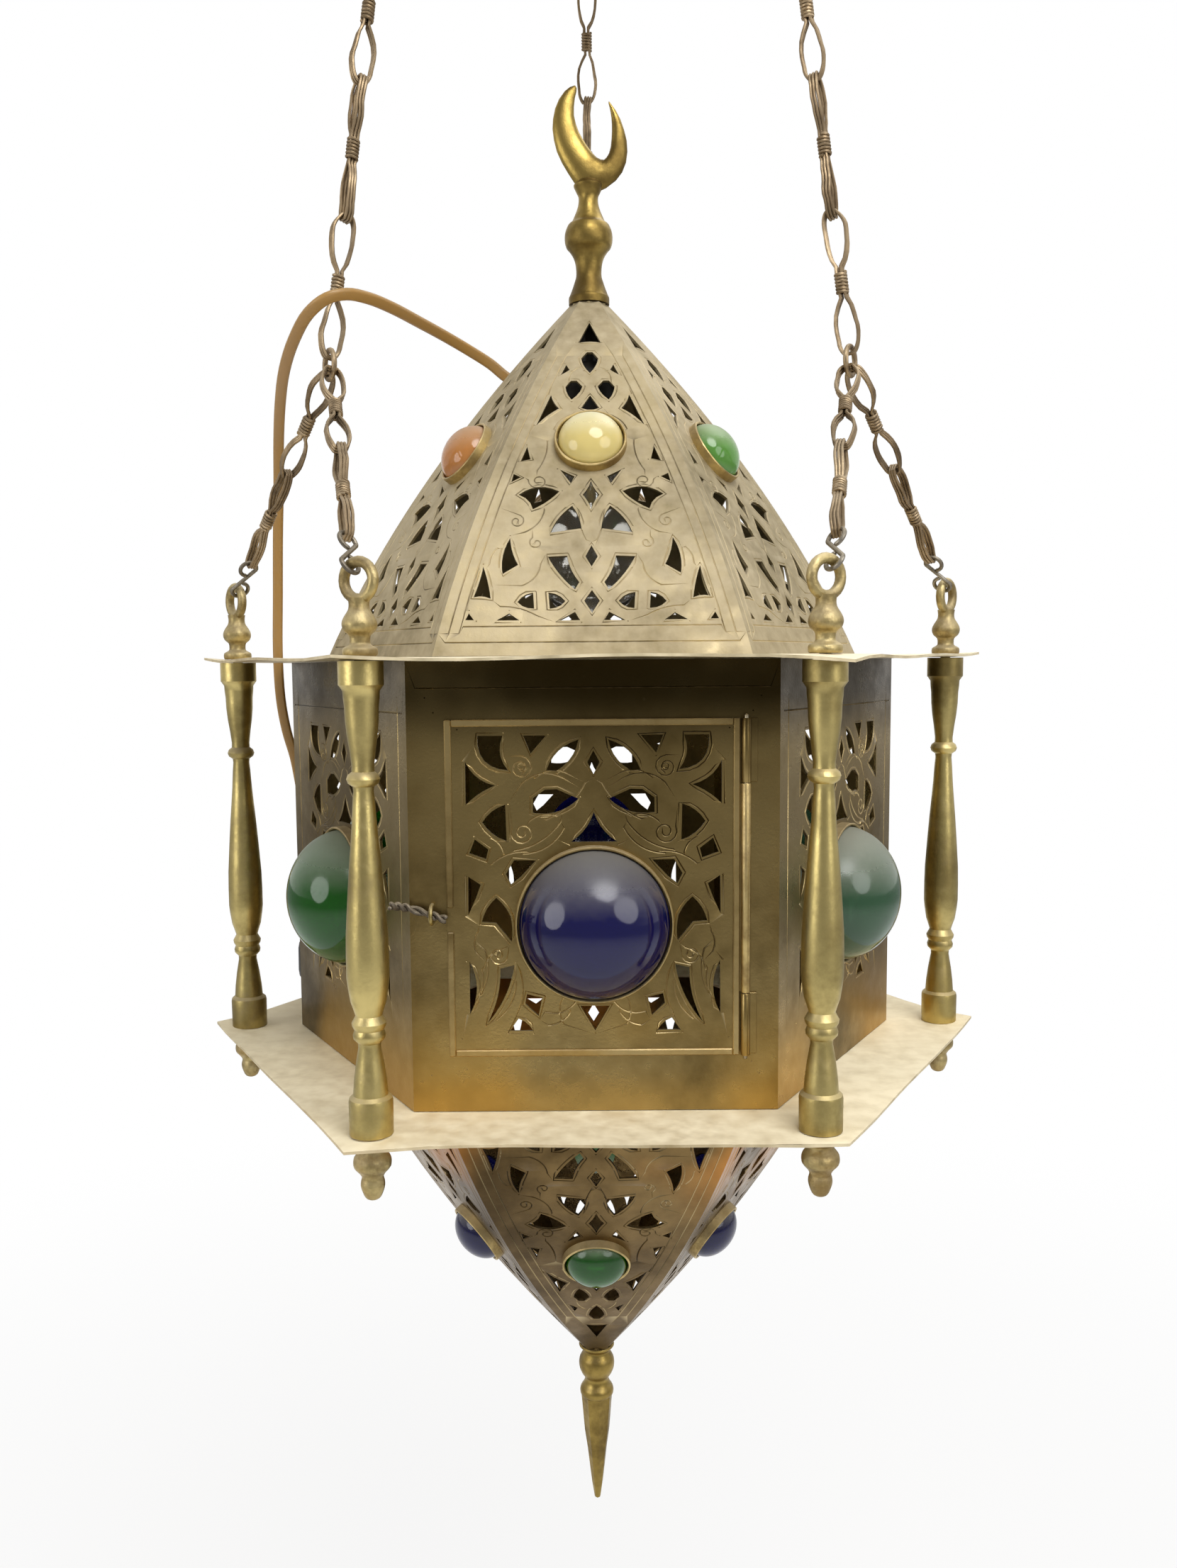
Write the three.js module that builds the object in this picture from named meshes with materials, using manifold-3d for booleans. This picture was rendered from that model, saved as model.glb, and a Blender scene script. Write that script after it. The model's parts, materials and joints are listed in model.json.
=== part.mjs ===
// Pierced brass hanging lantern with glass cabochons.
// Millimetres, +Z up, front door facing -Y. The origin is the middle of the ceiling hook's
// flat base, so the whole lantern hangs below it. Azimuth 0 is the front and +90 the right.
import * as THREE from 'three';
import Module from 'manifold-3d';

const wasm = await Module();
wasm.setup();

// Driving dimensions

const SEAT = 0.3;                 // clearance between two pieces that seat on each other
const HANG = 0.45;                // clearance between two rings or hooks hung in each other
const SHEET = 1.2;                // wall of every sheet-brass piece

const COLUMN_CIRCLE = 185;        // radius on which the six columns stand
const COLUMN_RADIUS = 9.1;        // of a column's foot and head
const PLATE_CORNER = 202.6;       // centre to corner of the two gallery plates
const PLATE_OPENING = 118;        // centre to corner of the light opening in each plate
const GALLERY_HEIGHT = 194.1;     // clear height between the two plates

const DRUM_CORNER = 156.9;        // centre to corner of the six-sided drum
const WINDOW_SIDE_MARGIN = 3;     // from a doorway's side to the pierced field of its panel
const WINDOW_END_MARGIN = 3.5;    // the same above and below the field
const WINDOW_RISE = 1.75;         // how far the field sits above the drum's middle

const ROOF_CORNER = 137.9;        // centre to corner of a pyramid at its base
const ROOF_TIP_CORNER = 10.3;     // the same at its tip
const ROOF_HEIGHT = 178;
const ROOF_BOW = 11.8;            // how far the pyramid's edge bows out at half height
const ROOF_CREASES = [0, 0.3, 0.455, 0.742, 1];   // levels where its edge is creased

const DOOR_HALF_HEIGHT = 72;
const DOOR_LEFT = -62.4;
const DOOR_RIGHT = 61.5;
const DOOR_SIDE_LAP = 4.5;        // how far the door laps the drum beside its doorway
const DOOR_END_LAP = 5;           // the same above and below it
const HINGE_GAP = 0.5;            // between the door's edge and the hinge
const HINGE_PIN_RADIUS = 0.9;
const HINGE_BORE_CLEARANCE = 0.25;
const KNUCKLE_RADIUS = 2;
const KNUCKLE_LENGTH = 27;        // each of the two knuckles on the drum
const HINGE_LEAF = 9;             // width of the leaf that holds a drum knuckle

const STAPLE_OFFSET = 6.4;        // left of the door's edge
const STAPLE_BELOW_MIDDLE = 10.2;
const STAPLE_WIRE_RADIUS = 0.9;
const STAPLE_ARCH_RADIUS = 3.4;
const STAPLE_LEG = 3;             // straight part of each leg, off the drum
const LATCH_RADIUS = 1.6;
const LATCH_SLOPE = THREE.MathUtils.degToRad(18);
const LATCH_RIGHT_REACH = 5.9;    // along the wire, from the staple towards the door
const LATCH_LEFT_REACH = 17;

const LARGE_GLASS_RADIUS = 32;
const LARGE_GLASS_BULGE = 28;
const LARGE_GLASS_DROP = 16.5;    // below the middle of the pierced field
const SMALL_GLASS_RADIUS = 15.2;
const SMALL_GLASS_BULGE = 12;
const BEZEL_WALL = 1.3;
const LARGE_BEZEL_HEIGHT = 5;
const SMALL_BEZEL_HEIGHT = 4;
const GLASS_LEDGE = 3;            // how far the sheet reaches in behind a glass

const SHANK_RADIUS = 2.5;         // threaded shank of an eye or drop
const SHANK_REACH = 9;            // how far a shank goes into its column
const SHANK_CLEARANCE = 0.3;

const EYE_RING_RADIUS = 7.4;      // middle of the ring's wire
const EYE_WIRE_RADIUS = 2.25;
const EYE_RING_HEIGHT = 30.3;     // ring's middle above the plate

const JOIN_RADIUS = 138;          // where an upper chain splits in two
const JOIN_HEIGHT = 137.6;        // above the top plate
const CHAIN_WIRE = 2;             // width of the wire bundle in the plane of a link
const CHAIN_BUNDLE = 4;           // width of the wire bundle across a link
const LINK_HALF_WIDTH = 6;
const LINK_FUSE = 0.3;            // how far two taut links press into each other
const JOIN_RING_RADIUS = 6.5;     // ring that hangs two branch chains on an upper chain
const JOIN_WIRE_RADIUS = 1.25;
const UPPER_LINKS = 4;
const BRANCH_LINKS = 2;
const BINDING_RADIUS = 2.9;
const BINDING_LENGTH = 10;
const HOOK_WIRE_RADIUS = 1;       // S-hook
const HOOK_BEND_RADIUS = 4.2;
const HOOK_SPAN = 13.6;           // between the middles of an S-hook's two bends

const CROWN_HEIGHT = 404;         // crown plate above the top plate
const CROWN_CORNER = 101;         // the chains hang on three of its corners
const CROWN_RIM = 2.6;            // width of metal left outside a chain hole
const CROWN_SHEET = 2;
const CROWN_HOLE_RADIUS = 3;
const CROWN_EYE_RING_HEIGHT = 22;

const LINK_WIRE_RADIUS = 2;       // oval swing link between ceiling hook and crown
const SWING_LINK_BEND = 8;
const SWING_LINK_SPAN = 30;
const CEILING_WIRE_RADIUS = 2.5;
const CEILING_BEND_RADIUS = 12;
const CEILING_HOOK_DROP = 42;     // hook's lowest wire centre below the ceiling
const ROSE_RADIUS = 32;
const ROSE_THICKNESS = 4;

const HOLDER_TOP = 150;           // lampholder above the top plate
const HOLDER_LENGTH = 46;
const HOLDER_RADIUS = 17;
const HOLDER_SHOULDER = 20;       // length of its domed top
const NIPPLE_RADIUS = 5;
const FINIAL_SHANK_RADIUS = 3;
const GRIP_LENGTH = 14;           // tapered cord grip on the lampholder's side
const BULB_CAP_RADIUS = 13;
const BULB_CAP_LENGTH = 26;
const BULB_RADIUS = 28;
const BULB_LENGTH = 82;

const CORD_WIDTH = 5.6;
const CORD_THICKNESS = 3;
const COIL_MEAN_RADIUS = 30.8;
const COIL_TURNS = 5;             // half of them on each of two layers
const COIL_TURN_PITCH = 4.4;
const COIL_LAYER_PITCH = 6.5;
const COIL_STEPS = 24;            // to a turn
const COIL_TAIL = 22;             // straight end down to the plug
const COIL_MIDDLE = [-149.5, 120.5, -128];
const COIL_AZIMUTH = -120;
const PLUG_SLEEVE_RADIUS = 3.4;
const PLUG_SLEEVE_LENGTH = 14;
const PLUG_RADIUS = 9.5;
const PLUG_LENGTH = 42;
const BLADE_SPACING = 12.7;       // between the middles of the plug's two blades
const BLADE_WIDTH = 6.3;
const BLADE_THICKNESS = 1.5;
const BLADE_LENGTH = 16.5;

// Derived places, all above or below the top plate's upper face

const FLAT = Math.cos(Math.PI / 6);          // corner radius to flat radius of a hexagon
const DRUM_FLAT = DRUM_CORNER * FLAT;
const DRUM_MIDDLE = -SHEET - GALLERY_HEIGHT / 2;
const DRUM_HALF_HEIGHT = GALLERY_HEIGHT / 2 - SEAT;
const DOORWAY_HALF_WIDTH = DOOR_RIGHT - DOOR_SIDE_LAP;
const DOORWAY_HALF_HEIGHT = DOOR_HALF_HEIGHT - DOOR_END_LAP;
const WINDOW_HALF_WIDTH = DOORWAY_HALF_WIDTH - WINDOW_SIDE_MARGIN;
const WINDOW_HALF_HEIGHT = DOORWAY_HALF_HEIGHT - WINDOW_END_MARGIN;
const WINDOW_MIDDLE = DRUM_MIDDLE + WINDOW_RISE;
const HINGE_X = DOOR_RIGHT + HINGE_GAP + KNUCKLE_RADIUS;
const STAPLE_X = DOOR_LEFT - STAPLE_OFFSET;
const BOTTOM_PLATE_TOP = -SHEET - GALLERY_HEIGHT;
const BOTTOM_PLATE_UNDERSIDE = BOTTOM_PLATE_TOP - SHEET;
const ROOF_BASE = SEAT;
const COLUMN_LENGTH = GALLERY_HEIGHT - 2 * SEAT;
const CROWN_EYE_TOP = CROWN_HEIGHT + CROWN_SHEET + SEAT + CROWN_EYE_RING_HEIGHT + EYE_RING_RADIUS;
const CROWN_PIVOT = CROWN_EYE_TOP - EYE_WIRE_RADIUS - HANG - LINK_WIRE_RADIUS;
const HOOK_PIVOT = CROWN_PIVOT + SWING_LINK_SPAN + 2 * SWING_LINK_BEND
  - LINK_WIRE_RADIUS - HANG - CEILING_WIRE_RADIUS;
const CEILING = HOOK_PIVOT + CEILING_HOOK_DROP;

const COLUMN_AZIMUTHS = [
  ['front_left', -30], ['front_right', 30], ['right', 90],
  ['back_right', 150], ['back_left', -150], ['left', -90],
];
const EYE_FACINGS = { left: -50, right: 50 };       // the side eyes stand turned forward
const FACE_AZIMUTHS = [
  ['front', 0], ['front_right', 60], ['back_right', 120],
  ['back', 180], ['back_left', -120], ['front_left', -60],
];
const CHAINS = [
  ['left', -60, ['left', 'front_left']],
  ['right', 60, ['front_right', 'right']],
  ['back', 180, ['back_right', 'back_left']],
];

// Materials

const material = (color, roughness, metalness, extra = {}) =>
  new THREE.MeshStandardMaterial({ color, roughness, metalness, ...extra });
const BRASS_SHEET = material(0x8f8262, 0.55, 0.8);
const DUSTY_SHEET = material(0xb0a684, 0.7, 0.5);
const DRUM_BRASS = material(0x7a6440, 0.5, 0.8);
const CAST_BRASS = material(0x9c8a48, 0.4, 0.9);
const CHAIN_BRONZE = material(0x5f4f3a, 0.55, 0.8);
const DARK_WIRE = material(0x4a423a, 0.6, 0.7);
const STEEL = material(0x8a857a, 0.45, 0.9);
const BLACK_PLASTIC = material(0x1c1a18, 0.5, 0);
const CORD_PLASTIC = material(0x9a6a30, 0.45, 0);
const glass = (color) => material(color, 0.08, 0, { transparent: true, opacity: 0.6 });
const BLUE = glass(0x1c1c78);
const GREEN = glass(0x1e7a3a);
const TEAL = glass(0x47706a);
const AMBER = glass(0xc9875a);
const CLEAR = glass(0xf2e3a6);
const LARGE_GLASS_FINISH = {
  front: BLUE, front_left: GREEN, front_right: TEAL, back: BLUE, back_left: GREEN, back_right: TEAL,
};
const UPPER_GLASS_FINISH = {
  front: CLEAR, front_left: AMBER, front_right: GREEN, back: CLEAR, back_left: AMBER, back_right: GREEN,
};
const LOWER_GLASS_FINISH = {
  front: GREEN, front_left: BLUE, front_right: BLUE, back: GREEN, back_left: BLUE, back_right: BLUE,
};

// Geometry helpers

const WELD = 1e-4;                // corners closer than this are one

function closed(geometry) {
  // Welds shared corners, drops slivers with no area and turns the faces outward.
  const source = geometry.index ? geometry.toNonIndexed() : geometry;
  const point = source.getAttribute('position');
  const idOf = new Map();
  const position = [];
  const ids = [];
  for (let i = 0; i < point.count; i += 1) {
    const at = [point.getX(i), point.getY(i), point.getZ(i)];
    const key = at.map((value) => Math.round(value / WELD)).join();
    if (!idOf.has(key)) {
      idOf.set(key, position.length / 3);
      position.push(...at);
    }
    ids.push(idOf.get(key));
  }
  const corner = (id) => new THREE.Vector3().fromArray(position, 3 * id);
  const kept = [];
  let volume = 0;
  for (let i = 0; i < ids.length; i += 3) {
    const [a, b, c] = ids.slice(i, i + 3);
    if (a === b || b === c || c === a) continue;
    volume += corner(a).dot(corner(b).cross(corner(c)));
    kept.push(a, b, c);
  }
  if (volume < 0) kept.reverse();
  const shell = new THREE.BufferGeometry();
  shell.setAttribute('position', new THREE.Float32BufferAttribute(position, 3));
  shell.setIndex(kept);
  return shell;
}

function toManifold(geometry) {
  const shell = closed(geometry);
  return new wasm.Manifold(new wasm.Mesh({
    numProp: 3,
    vertProperties: new Float32Array(shell.getAttribute('position').array),
    triVerts: new Uint32Array(shell.index.array),
  }));
}

function fromManifold(body) {
  const mesh = body.getMesh();
  const geometry = new THREE.BufferGeometry();
  geometry.setAttribute('position', new THREE.BufferAttribute(mesh.vertProperties, 3));
  geometry.setIndex(new THREE.BufferAttribute(mesh.triVerts, 1));
  return geometry;
}

const joined = (...geometries) =>
  fromManifold(geometries.map(toManifold).reduce((sum, next) => sum.add(next)));

function cut(geometry, ...tools) {
  return fromManifold(tools.map(toManifold).reduce((rest, tool) => rest.subtract(tool),
    toManifold(geometry)));
}

function turned(profile, sides, turn = Math.PI / sides) {
  // Revolves [radius, height] pairs about the vertical axis.
  const points = profile.map(([radius, height]) => new THREE.Vector2(radius, height));
  return new THREE.LatheGeometry(points, sides, turn).rotateX(Math.PI / 2);
}

const hexagonal = (profile) => turned(profile, 6, Math.PI / 6);

function polar(azimuthDegrees, radius, height = 0) {
  const azimuth = THREE.MathUtils.degToRad(azimuthDegrees);
  return new THREE.Vector3(radius * Math.sin(azimuth), -radius * Math.cos(azimuth), height);
}

function hexagonOutline(corner, firstAzimuth = 30) {
  return Array.from({ length: 6 }, (_, i) => {
    const at = polar(firstAzimuth + 60 * i, corner);
    return new THREE.Vector2(at.x, at.y);
  });
}

function circlePath(x, y, radius, sides) {
  const points = Array.from({ length: sides }, (_, i) => {
    const angle = (i + 0.5) / sides * 2 * Math.PI;
    return new THREE.Vector2(x + radius * Math.cos(angle), y + radius * Math.sin(angle));
  });
  return new THREE.Path(points);
}

function extruded(shape, depth, from = 0) {
  const geometry = new THREE.ExtrudeGeometry(shape, { depth, bevelEnabled: false });
  return geometry.translate(0, 0, from);
}

// Radius of a many-sided hole whose flats are `radius` from its middle.
const around = (radius, sides) => radius / Math.cos(Math.PI / sides);

const hole = (x, y, radius, sides) => circlePath(x, y, around(radius, sides), sides);

const rectangle = (left, right, low, high) => new THREE.Shape([
  new THREE.Vector2(left, low), new THREE.Vector2(right, low),
  new THREE.Vector2(right, high), new THREE.Vector2(left, high),
]);

const ellipse = (halfWidth, halfThickness, sides) => Array.from({ length: sides }, (_, k) => {
  const angle = (k + 0.5) / sides * 2 * Math.PI;
  return [halfWidth * Math.cos(angle), halfThickness * Math.sin(angle)];
});

// A bar bent through points of one plane. `sectionAt` gives its section there as
// [in the plane, along the plane's normal] pairs; a ring's last point leads to its first.
function bentBar(points, normal, sectionAt, isRing = false) {
  const count = points.length;
  const sides = sectionAt(0).length;
  const position = [];
  const index = [];
  points.forEach((point, i) => {
    const before = points[isRing ? (i + count - 1) % count : Math.max(i - 1, 0)];
    const after = points[isRing ? (i + 1) % count : Math.min(i + 1, count - 1)];
    const along = after.clone().sub(before).normalize();
    const side = new THREE.Vector3().crossVectors(normal, along).normalize();
    sectionAt(i).forEach(([inPlane, across]) => {
      const at = point.clone().addScaledVector(side, inPlane).addScaledVector(normal, across);
      position.push(at.x, at.y, at.z);
    });
  });
  for (let i = 0; i < (isRing ? count : count - 1); i += 1) {
    const next = (i + 1) % count;
    for (let k = 0; k < sides; k += 1) {
      const turn = (k + 1) % sides;
      const [a, b] = [i * sides + k, i * sides + turn];
      const [c, d] = [next * sides + turn, next * sides + k];
      index.push(a, b, c, a, c, d);
    }
  }
  const last = (count - 1) * sides;
  for (let k = 1; !isRing && k + 1 < sides; k += 1) {
    index.push(0, k + 1, k, last, last + k, last + k + 1);
  }
  const geometry = new THREE.BufferGeometry();
  geometry.setAttribute('position', new THREE.Float32BufferAttribute(position, 3));
  geometry.setIndex(index);
  return geometry;
}

const wire = (points, normal, radius, sides, isRing = false) =>
  bentBar(points, normal, () => ellipse(radius, radius, sides), isRing);

const X_AXIS = new THREE.Vector3(1, 0, 0);
const Y_AXIS = new THREE.Vector3(0, 1, 0);
const Z_AXIS = new THREE.Vector3(0, 0, 1);

// Points of an arc in the plane of two axes, `steps` steps from one angle to another.
function arc(middle, radius, xAxis, yAxis, fromDegrees, toDegrees, steps) {
  return Array.from({ length: steps + 1 }, (_, i) => {
    const angle = THREE.MathUtils.degToRad(fromDegrees + (toDegrees - fromDegrees) * i / steps);
    return middle.clone().addScaledVector(xAxis, radius * Math.cos(angle))
      .addScaledVector(yAxis, radius * Math.sin(angle));
  });
}

// Places a piece drawn on the front face (x right, y up, z out of the face) on another face.
const onFace = (geometry, azimuthDegrees, flat, middle, lean = 0) => geometry
  .rotateX(Math.PI / 2 - lean)
  .translate(0, -flat, middle)
  .rotateZ(THREE.MathUtils.degToRad(azimuthDegrees));

// Fretwork. An opening is a ring of corners [x, y, bow]. The bow is how far the side that
// leaves that corner swells out of the opening (or into it, when negative).

function openingPoints(corners, stretchX, stretchY) {
  return corners.flatMap(([x, y, bow = 0], i) => {
    const [nextX, nextY] = corners[(i + 1) % corners.length];
    const length = Math.hypot(nextX - x, nextY - y);
    const along = bow === 0 ? [0] : (bow < 4 ? [0, 0.5] : [0, 1 / 3, 2 / 3]);
    return along.map((t) => {
      const swell = 4 * bow * t * (1 - t) / length;
      return new THREE.Vector2(
        (x + (nextX - x) * t - (nextY - y) * swell) * stretchX,
        (y + (nextY - y) * t + (nextX - x) * swell) * stretchY,
      );
    });
  });
}

// All openings of a field as clockwise rings of points, moved up by `rise`.
function fretwork(middles, pairs, [stretchX, stretchY], rise) {
  const right = [...middles, ...pairs].map((each) => openingPoints(each, stretchX, stretchY));
  const left = right.slice(middles.length).map((ring) =>
    ring.map((point) => new THREE.Vector2(-point.x, point.y)).reverse());
  return [...right, ...left].map((ring) =>
    ring.map((point) => point.setY(point.y + rise)));
}

// Openings of a drum panel about the middle of its pierced field, drawn clockwise. Those in
// a PAIRS list stand on the right and are mirrored to the left.
const PANEL_FIELD = [54, 63.5];                 // half width and half height they are drawn for
const PANEL_MIDDLES = [
  [[0, 57.1], [2.6, 52.2], [0, 47.1], [-2.6, 52.2]],
  [[0, 31.1], [9.9, 18.5], [-9.9, 18.5]],
  [[-6.3, -51.6], [6.3, -51.6], [0, -62.6]],
];
const PANEL_PAIRS = [
  [[6.2, 61.7, 2.4], [19.8, 48.8], [14, 47]],
  [[38, 63.5], [48.5, 63.3, 4.8], [35.8, 48.9]],
  [[41.4, 42.6], [53.6, 52.7], [53.6, 34.5]],
  [[6.4, 36.8], [15.5, 40.9], [25.5, 37.2], [25.6, 30.9, 2.6]],
  [[37.2, 34.5], [47, 27], [36.8, 19]],
  [[41.5, -5.1], [47.8, -15.5], [35.4, -24], [35.6, -13]],
  [[34.4, -34.4], [40.2, -35.6], [46, -59.4, 2]],
  [[53.2, -32.5], [53.4, -55.5, 3]],
  [[22.7, -47.6], [29, -46.4], [29.8, -51], [24.2, -56]],
];
const DOOR_EXTRA_PAIRS = [
  [[19.8, 63.1], [29.3, 62.9], [26.3, 56]],
  [[24.5, 10.7], [33.8, 10.9], [37.3, 4.9], [31.2, 3.8]],
  [[50.2, 19.9], [52.6, 13.9], [45.6, 11.4], [44.8, 15.6]],
  [[53.2, 3.5], [53.4, -12.5], [49.2, -3]],
  [[32.7, -57.4], [36.5, -62.1], [27.5, -62.3]],
];

// Openings of a pyramid face, measured up the slope from the base, drawn clockwise.
const FACE_FIELD = [68.95, 209.5];              // half base width and slope height
const FACE_PYRAMID = [137.9, 10.3, 11.8, 178];  // corner at base and tip, bow and height of
                                                // the pyramid that the field is laid out on
const FACE_GLASS = [0, 98];                     // across, and up from that pyramid's base
const FACE_MIDDLES = [
  [[0, 192.6], [5.5, 177.2], [-5.5, 177.2]],
  [[0, 155.5], [-4.1, 165.7, 5], [4.1, 165.8]],
  [[0, 87.9], [3.8, 80.2], [0, 72.1], [-3.8, 80.2]],
];
const FACE_PAIRS = [
  [[18.5, 140.6], [25.2, 121.1], [14.7, 131.8]],
  [[14.3, 82.1, 3.4], [32.7, 80.4], [26.2, 72.4]],
  [[8.5, 74.1], [18.3, 59.8], [4.4, 62]],
  [[10.8, 47.8], [19.3, 47.4], [7.4, 31], [5.5, 34.6]],
  [[47.7, 42.6], [51.7, 27.5], [44.2, 26.8]],
];
const UPPER_EXTRA_MIDDLES = [
  [[0, 140.2], [4.3, 131.5], [-4.3, 131.5]],
  [[0, 53.1], [2.7, 47.4], [0, 42.3], [-2.7, 47.4]],
  [[0, 30.7], [3.4, 25.5], [0, 19.7], [-3.4, 25.5]],
];
const UPPER_EXTRA_PAIRS = [
  [[8.8, 137.5], [3.6, 145.4, 3.4], [11.7, 145.2]],
  [[36.1, 57.1], [39.2, 38.9], [32.4, 43.4]],
  [[11.6, 25.4], [19, 29.6], [18.4, 21.8]],
  [[25.7, 29.6], [32.5, 25.2], [25.2, 21.8]],
];

// Turned brass: [distance down or up, radius]

const COLUMN_TURNING = [
  [0, 9.1], [10, 9.1], [12, 7.3], [43, 4.5], [47.5, 6.7], [51, 4.2], [108, 8.4],
  [130, 8.6], [145, 5.4], [150, 7], [157, 4.6], [179, 7.2], [181, 9], [193.5, 9],
];
const EYE_TURNING = [
  [0, 6.9], [3.2, 6.9], [4.6, 4.2], [8.2, 4.2], [11, 6.9], [14, 6.9], [18.4, 4.2],
];
const DROP_TURNING = [
  [0, 6.9], [3, 6.9], [5, 5.4], [9, 7.8], [12, 7.8], [16.5, 4.5], [20.5, 5], [25.5, 3.4],
];
const FINIAL_TURNING = [
  [0, 10.3], [4, 10.3], [9, 8.1], [16, 6.4], [22, 7.2], [26, 8.8], [30, 11.5], [35, 12],
  [40, 8.3], [48, 5.6], [53, 5.1], [57, 7],
];
const SPIKE_TURNING = [
  [0, 9.6], [3.5, 7.2], [7, 9], [11, 9.6], [15, 9], [19.5, 6.5], [26, 9.2], [30, 9],
];
const SPIKE_TAPER = [[28, 8.6], [90.5, 1.7]];

// Pear of the bulb: [radius, height] as shares of its radius
const BULB_PEAR = [[6 / 7, 11 / 7], [1, 1], [23 / 28, 5 / 14], [3 / 7, 1 / 14], [0, 0]];

// Crescent centreline: [x, height, half width in its plane, half thickness]
const CRESCENT = [
  [-7, 105, 0.6, 0.6], [-10.5, 99.4, 3.1, 2.2], [-12, 92.4, 5, 3.2], [-11.8, 85.9, 6.2, 3.8],
  [-9.2, 77, 7.4, 4.4], [-4.6, 69.3, 8, 4.8], [2.5, 63.6, 8, 5], [10.8, 65, 6.3, 4.6],
  [15.1, 72.5, 5, 3.8], [15.9, 82, 3.5, 3], [13.9, 90.5, 2.4, 2.1], [11.2, 97, 0.7, 0.7],
];

// Cord where it hangs free, chosen by hand, above the top plate
const CORD_ROUTE = [
  [-19.3, 11.2, 142.2], [-26, 15, 142.2], [-32.6, 18.8, 142.5], [-42.8, 20, 146.9],
  [-51.8, 17, 153.6], [-61.5, 10, 158.5], [-72.4, -4, 162.3], [-83.2, -26, 164],
  [-93.4, -50, 164.7], [-101.9, -67, 164.5], [-109.7, -77, 163.4], [-117.6, -81, 160.5],
  [-126.8, -76, 155.7], [-137.4, -60, 148.2], [-147.5, -38, 139.1], [-155.9, -13, 128],
  [-162.9, 11, 112.9], [-168.4, 31, 91.9], [-172.7, 44, 66.8], [-175.6, 52, 36.2],
  [-177.9, 57.5, 4.6], [-178.4, 63, -21.7], [-176.8, 68, -40.3], [-173.6, 73, -57.2],
  [-171.5, 79, -78], [-168, 85, -98], [-164.8, 87.7, -115.1], [-164.8, 87.7, -122.1],
];

// Turned pieces

function columnGeometry() {
  // A bore at each end takes the shank of the eye above or the drop below.
  const stretch = COLUMN_LENGTH / COLUMN_TURNING.at(-1)[0];
  const swell = COLUMN_RADIUS / COLUMN_TURNING[0][1];
  const bore = around(SHANK_RADIUS + SHANK_CLEARANCE, 7);
  const boreDepth = SHANK_REACH + SHANK_CLEARANCE;
  const top = -SHEET - SEAT;
  const foot = top - COLUMN_LENGTH;
  return turned([
    [0, top - boreDepth], [bore, top - boreDepth], [bore, top],
    ...COLUMN_TURNING.map(([down, radius]) => [radius * swell, top - down * stretch]),
    [bore, foot], [bore, foot + boreDepth], [0, foot + boreDepth],
  ], 7);
}

function eyeRing(height, facingDegrees) {
  return new THREE.TorusGeometry(EYE_RING_RADIUS, EYE_WIRE_RADIUS, 4, 8)
    .rotateX(Math.PI / 2)
    .rotateZ(THREE.MathUtils.degToRad(facingDegrees))
    .translate(0, 0, height);
}

function eyeGeometry(facingDegrees) {
  const neckTop = EYE_RING_HEIGHT - EYE_RING_RADIUS;
  const stem = turned([
    [0, -SHEET - SEAT - SHANK_REACH], [SHANK_RADIUS, -SHEET - SEAT - SHANK_REACH],
    [SHANK_RADIUS, SEAT],
    ...EYE_TURNING.map(([up, radius]) => [radius, SEAT + up]),
    [4.4, neckTop], [0, neckTop],
  ], 6);
  return joined(stem, eyeRing(EYE_RING_HEIGHT, facingDegrees));
}

function dropGeometry() {
  const plateUnderside = BOTTOM_PLATE_UNDERSIDE;
  const shankTop = BOTTOM_PLATE_TOP + SEAT + SHANK_REACH;
  return turned([
    [0, shankTop], [SHANK_RADIUS, shankTop], [SHANK_RADIUS, plateUnderside - SEAT],
    ...DROP_TURNING.map(([down, radius]) => [radius, plateUnderside - SEAT - down]),
    [0, plateUnderside - SEAT - DROP_TURNING.at(-1)[0] - 1.5],
  ], 6);
}

function crescentGeometry() {
  const middles = CRESCENT.map(([x, height]) => new THREE.Vector3(x, 0, height));
  return bentBar(middles, Y_AXIS, (i) => ellipse(CRESCENT[i][2], CRESCENT[i][3], 6));
}

function crescentFinialGeometry() {
  const shankEnd = -SHEET - SEAT - SHANK_REACH;
  const top = FINIAL_TURNING.at(-1)[0] + 4;
  const stem = turned([
    [0, shankEnd], [FINIAL_SHANK_RADIUS, shankEnd], [FINIAL_SHANK_RADIUS, SEAT],
    ...FINIAL_TURNING.map(([up, radius]) => [radius, SEAT + up]),
    [5, top], [0, top],
  ], 8);
  return joined(stem, crescentGeometry());
}

function spikeGeometry() {
  // A turned ball and shoulder, then a square taper filed down to the point.
  const shankEnd = SHEET + SEAT + SHANK_REACH;
  const turnedEnd = SPIKE_TURNING.at(-1)[0];
  const head = turned([
    [0, shankEnd], [FINIAL_SHANK_RADIUS, shankEnd], [FINIAL_SHANK_RADIUS, -SEAT],
    ...SPIKE_TURNING.map(([down, radius]) => [radius, -SEAT - down]),
    [0, -SEAT - turnedEnd],
  ], 8);
  const [[start, startRadius], [end, endRadius]] = SPIKE_TAPER;
  const taper = turned([
    [0, -start], [startRadius * Math.SQRT2 * 0.78, -start], [startRadius, -start - 8],
    [endRadius, -end], [0, -end],
  ], 4, THREE.MathUtils.degToRad(20));
  return joined(head, taper);
}

// Sheet pieces

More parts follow.
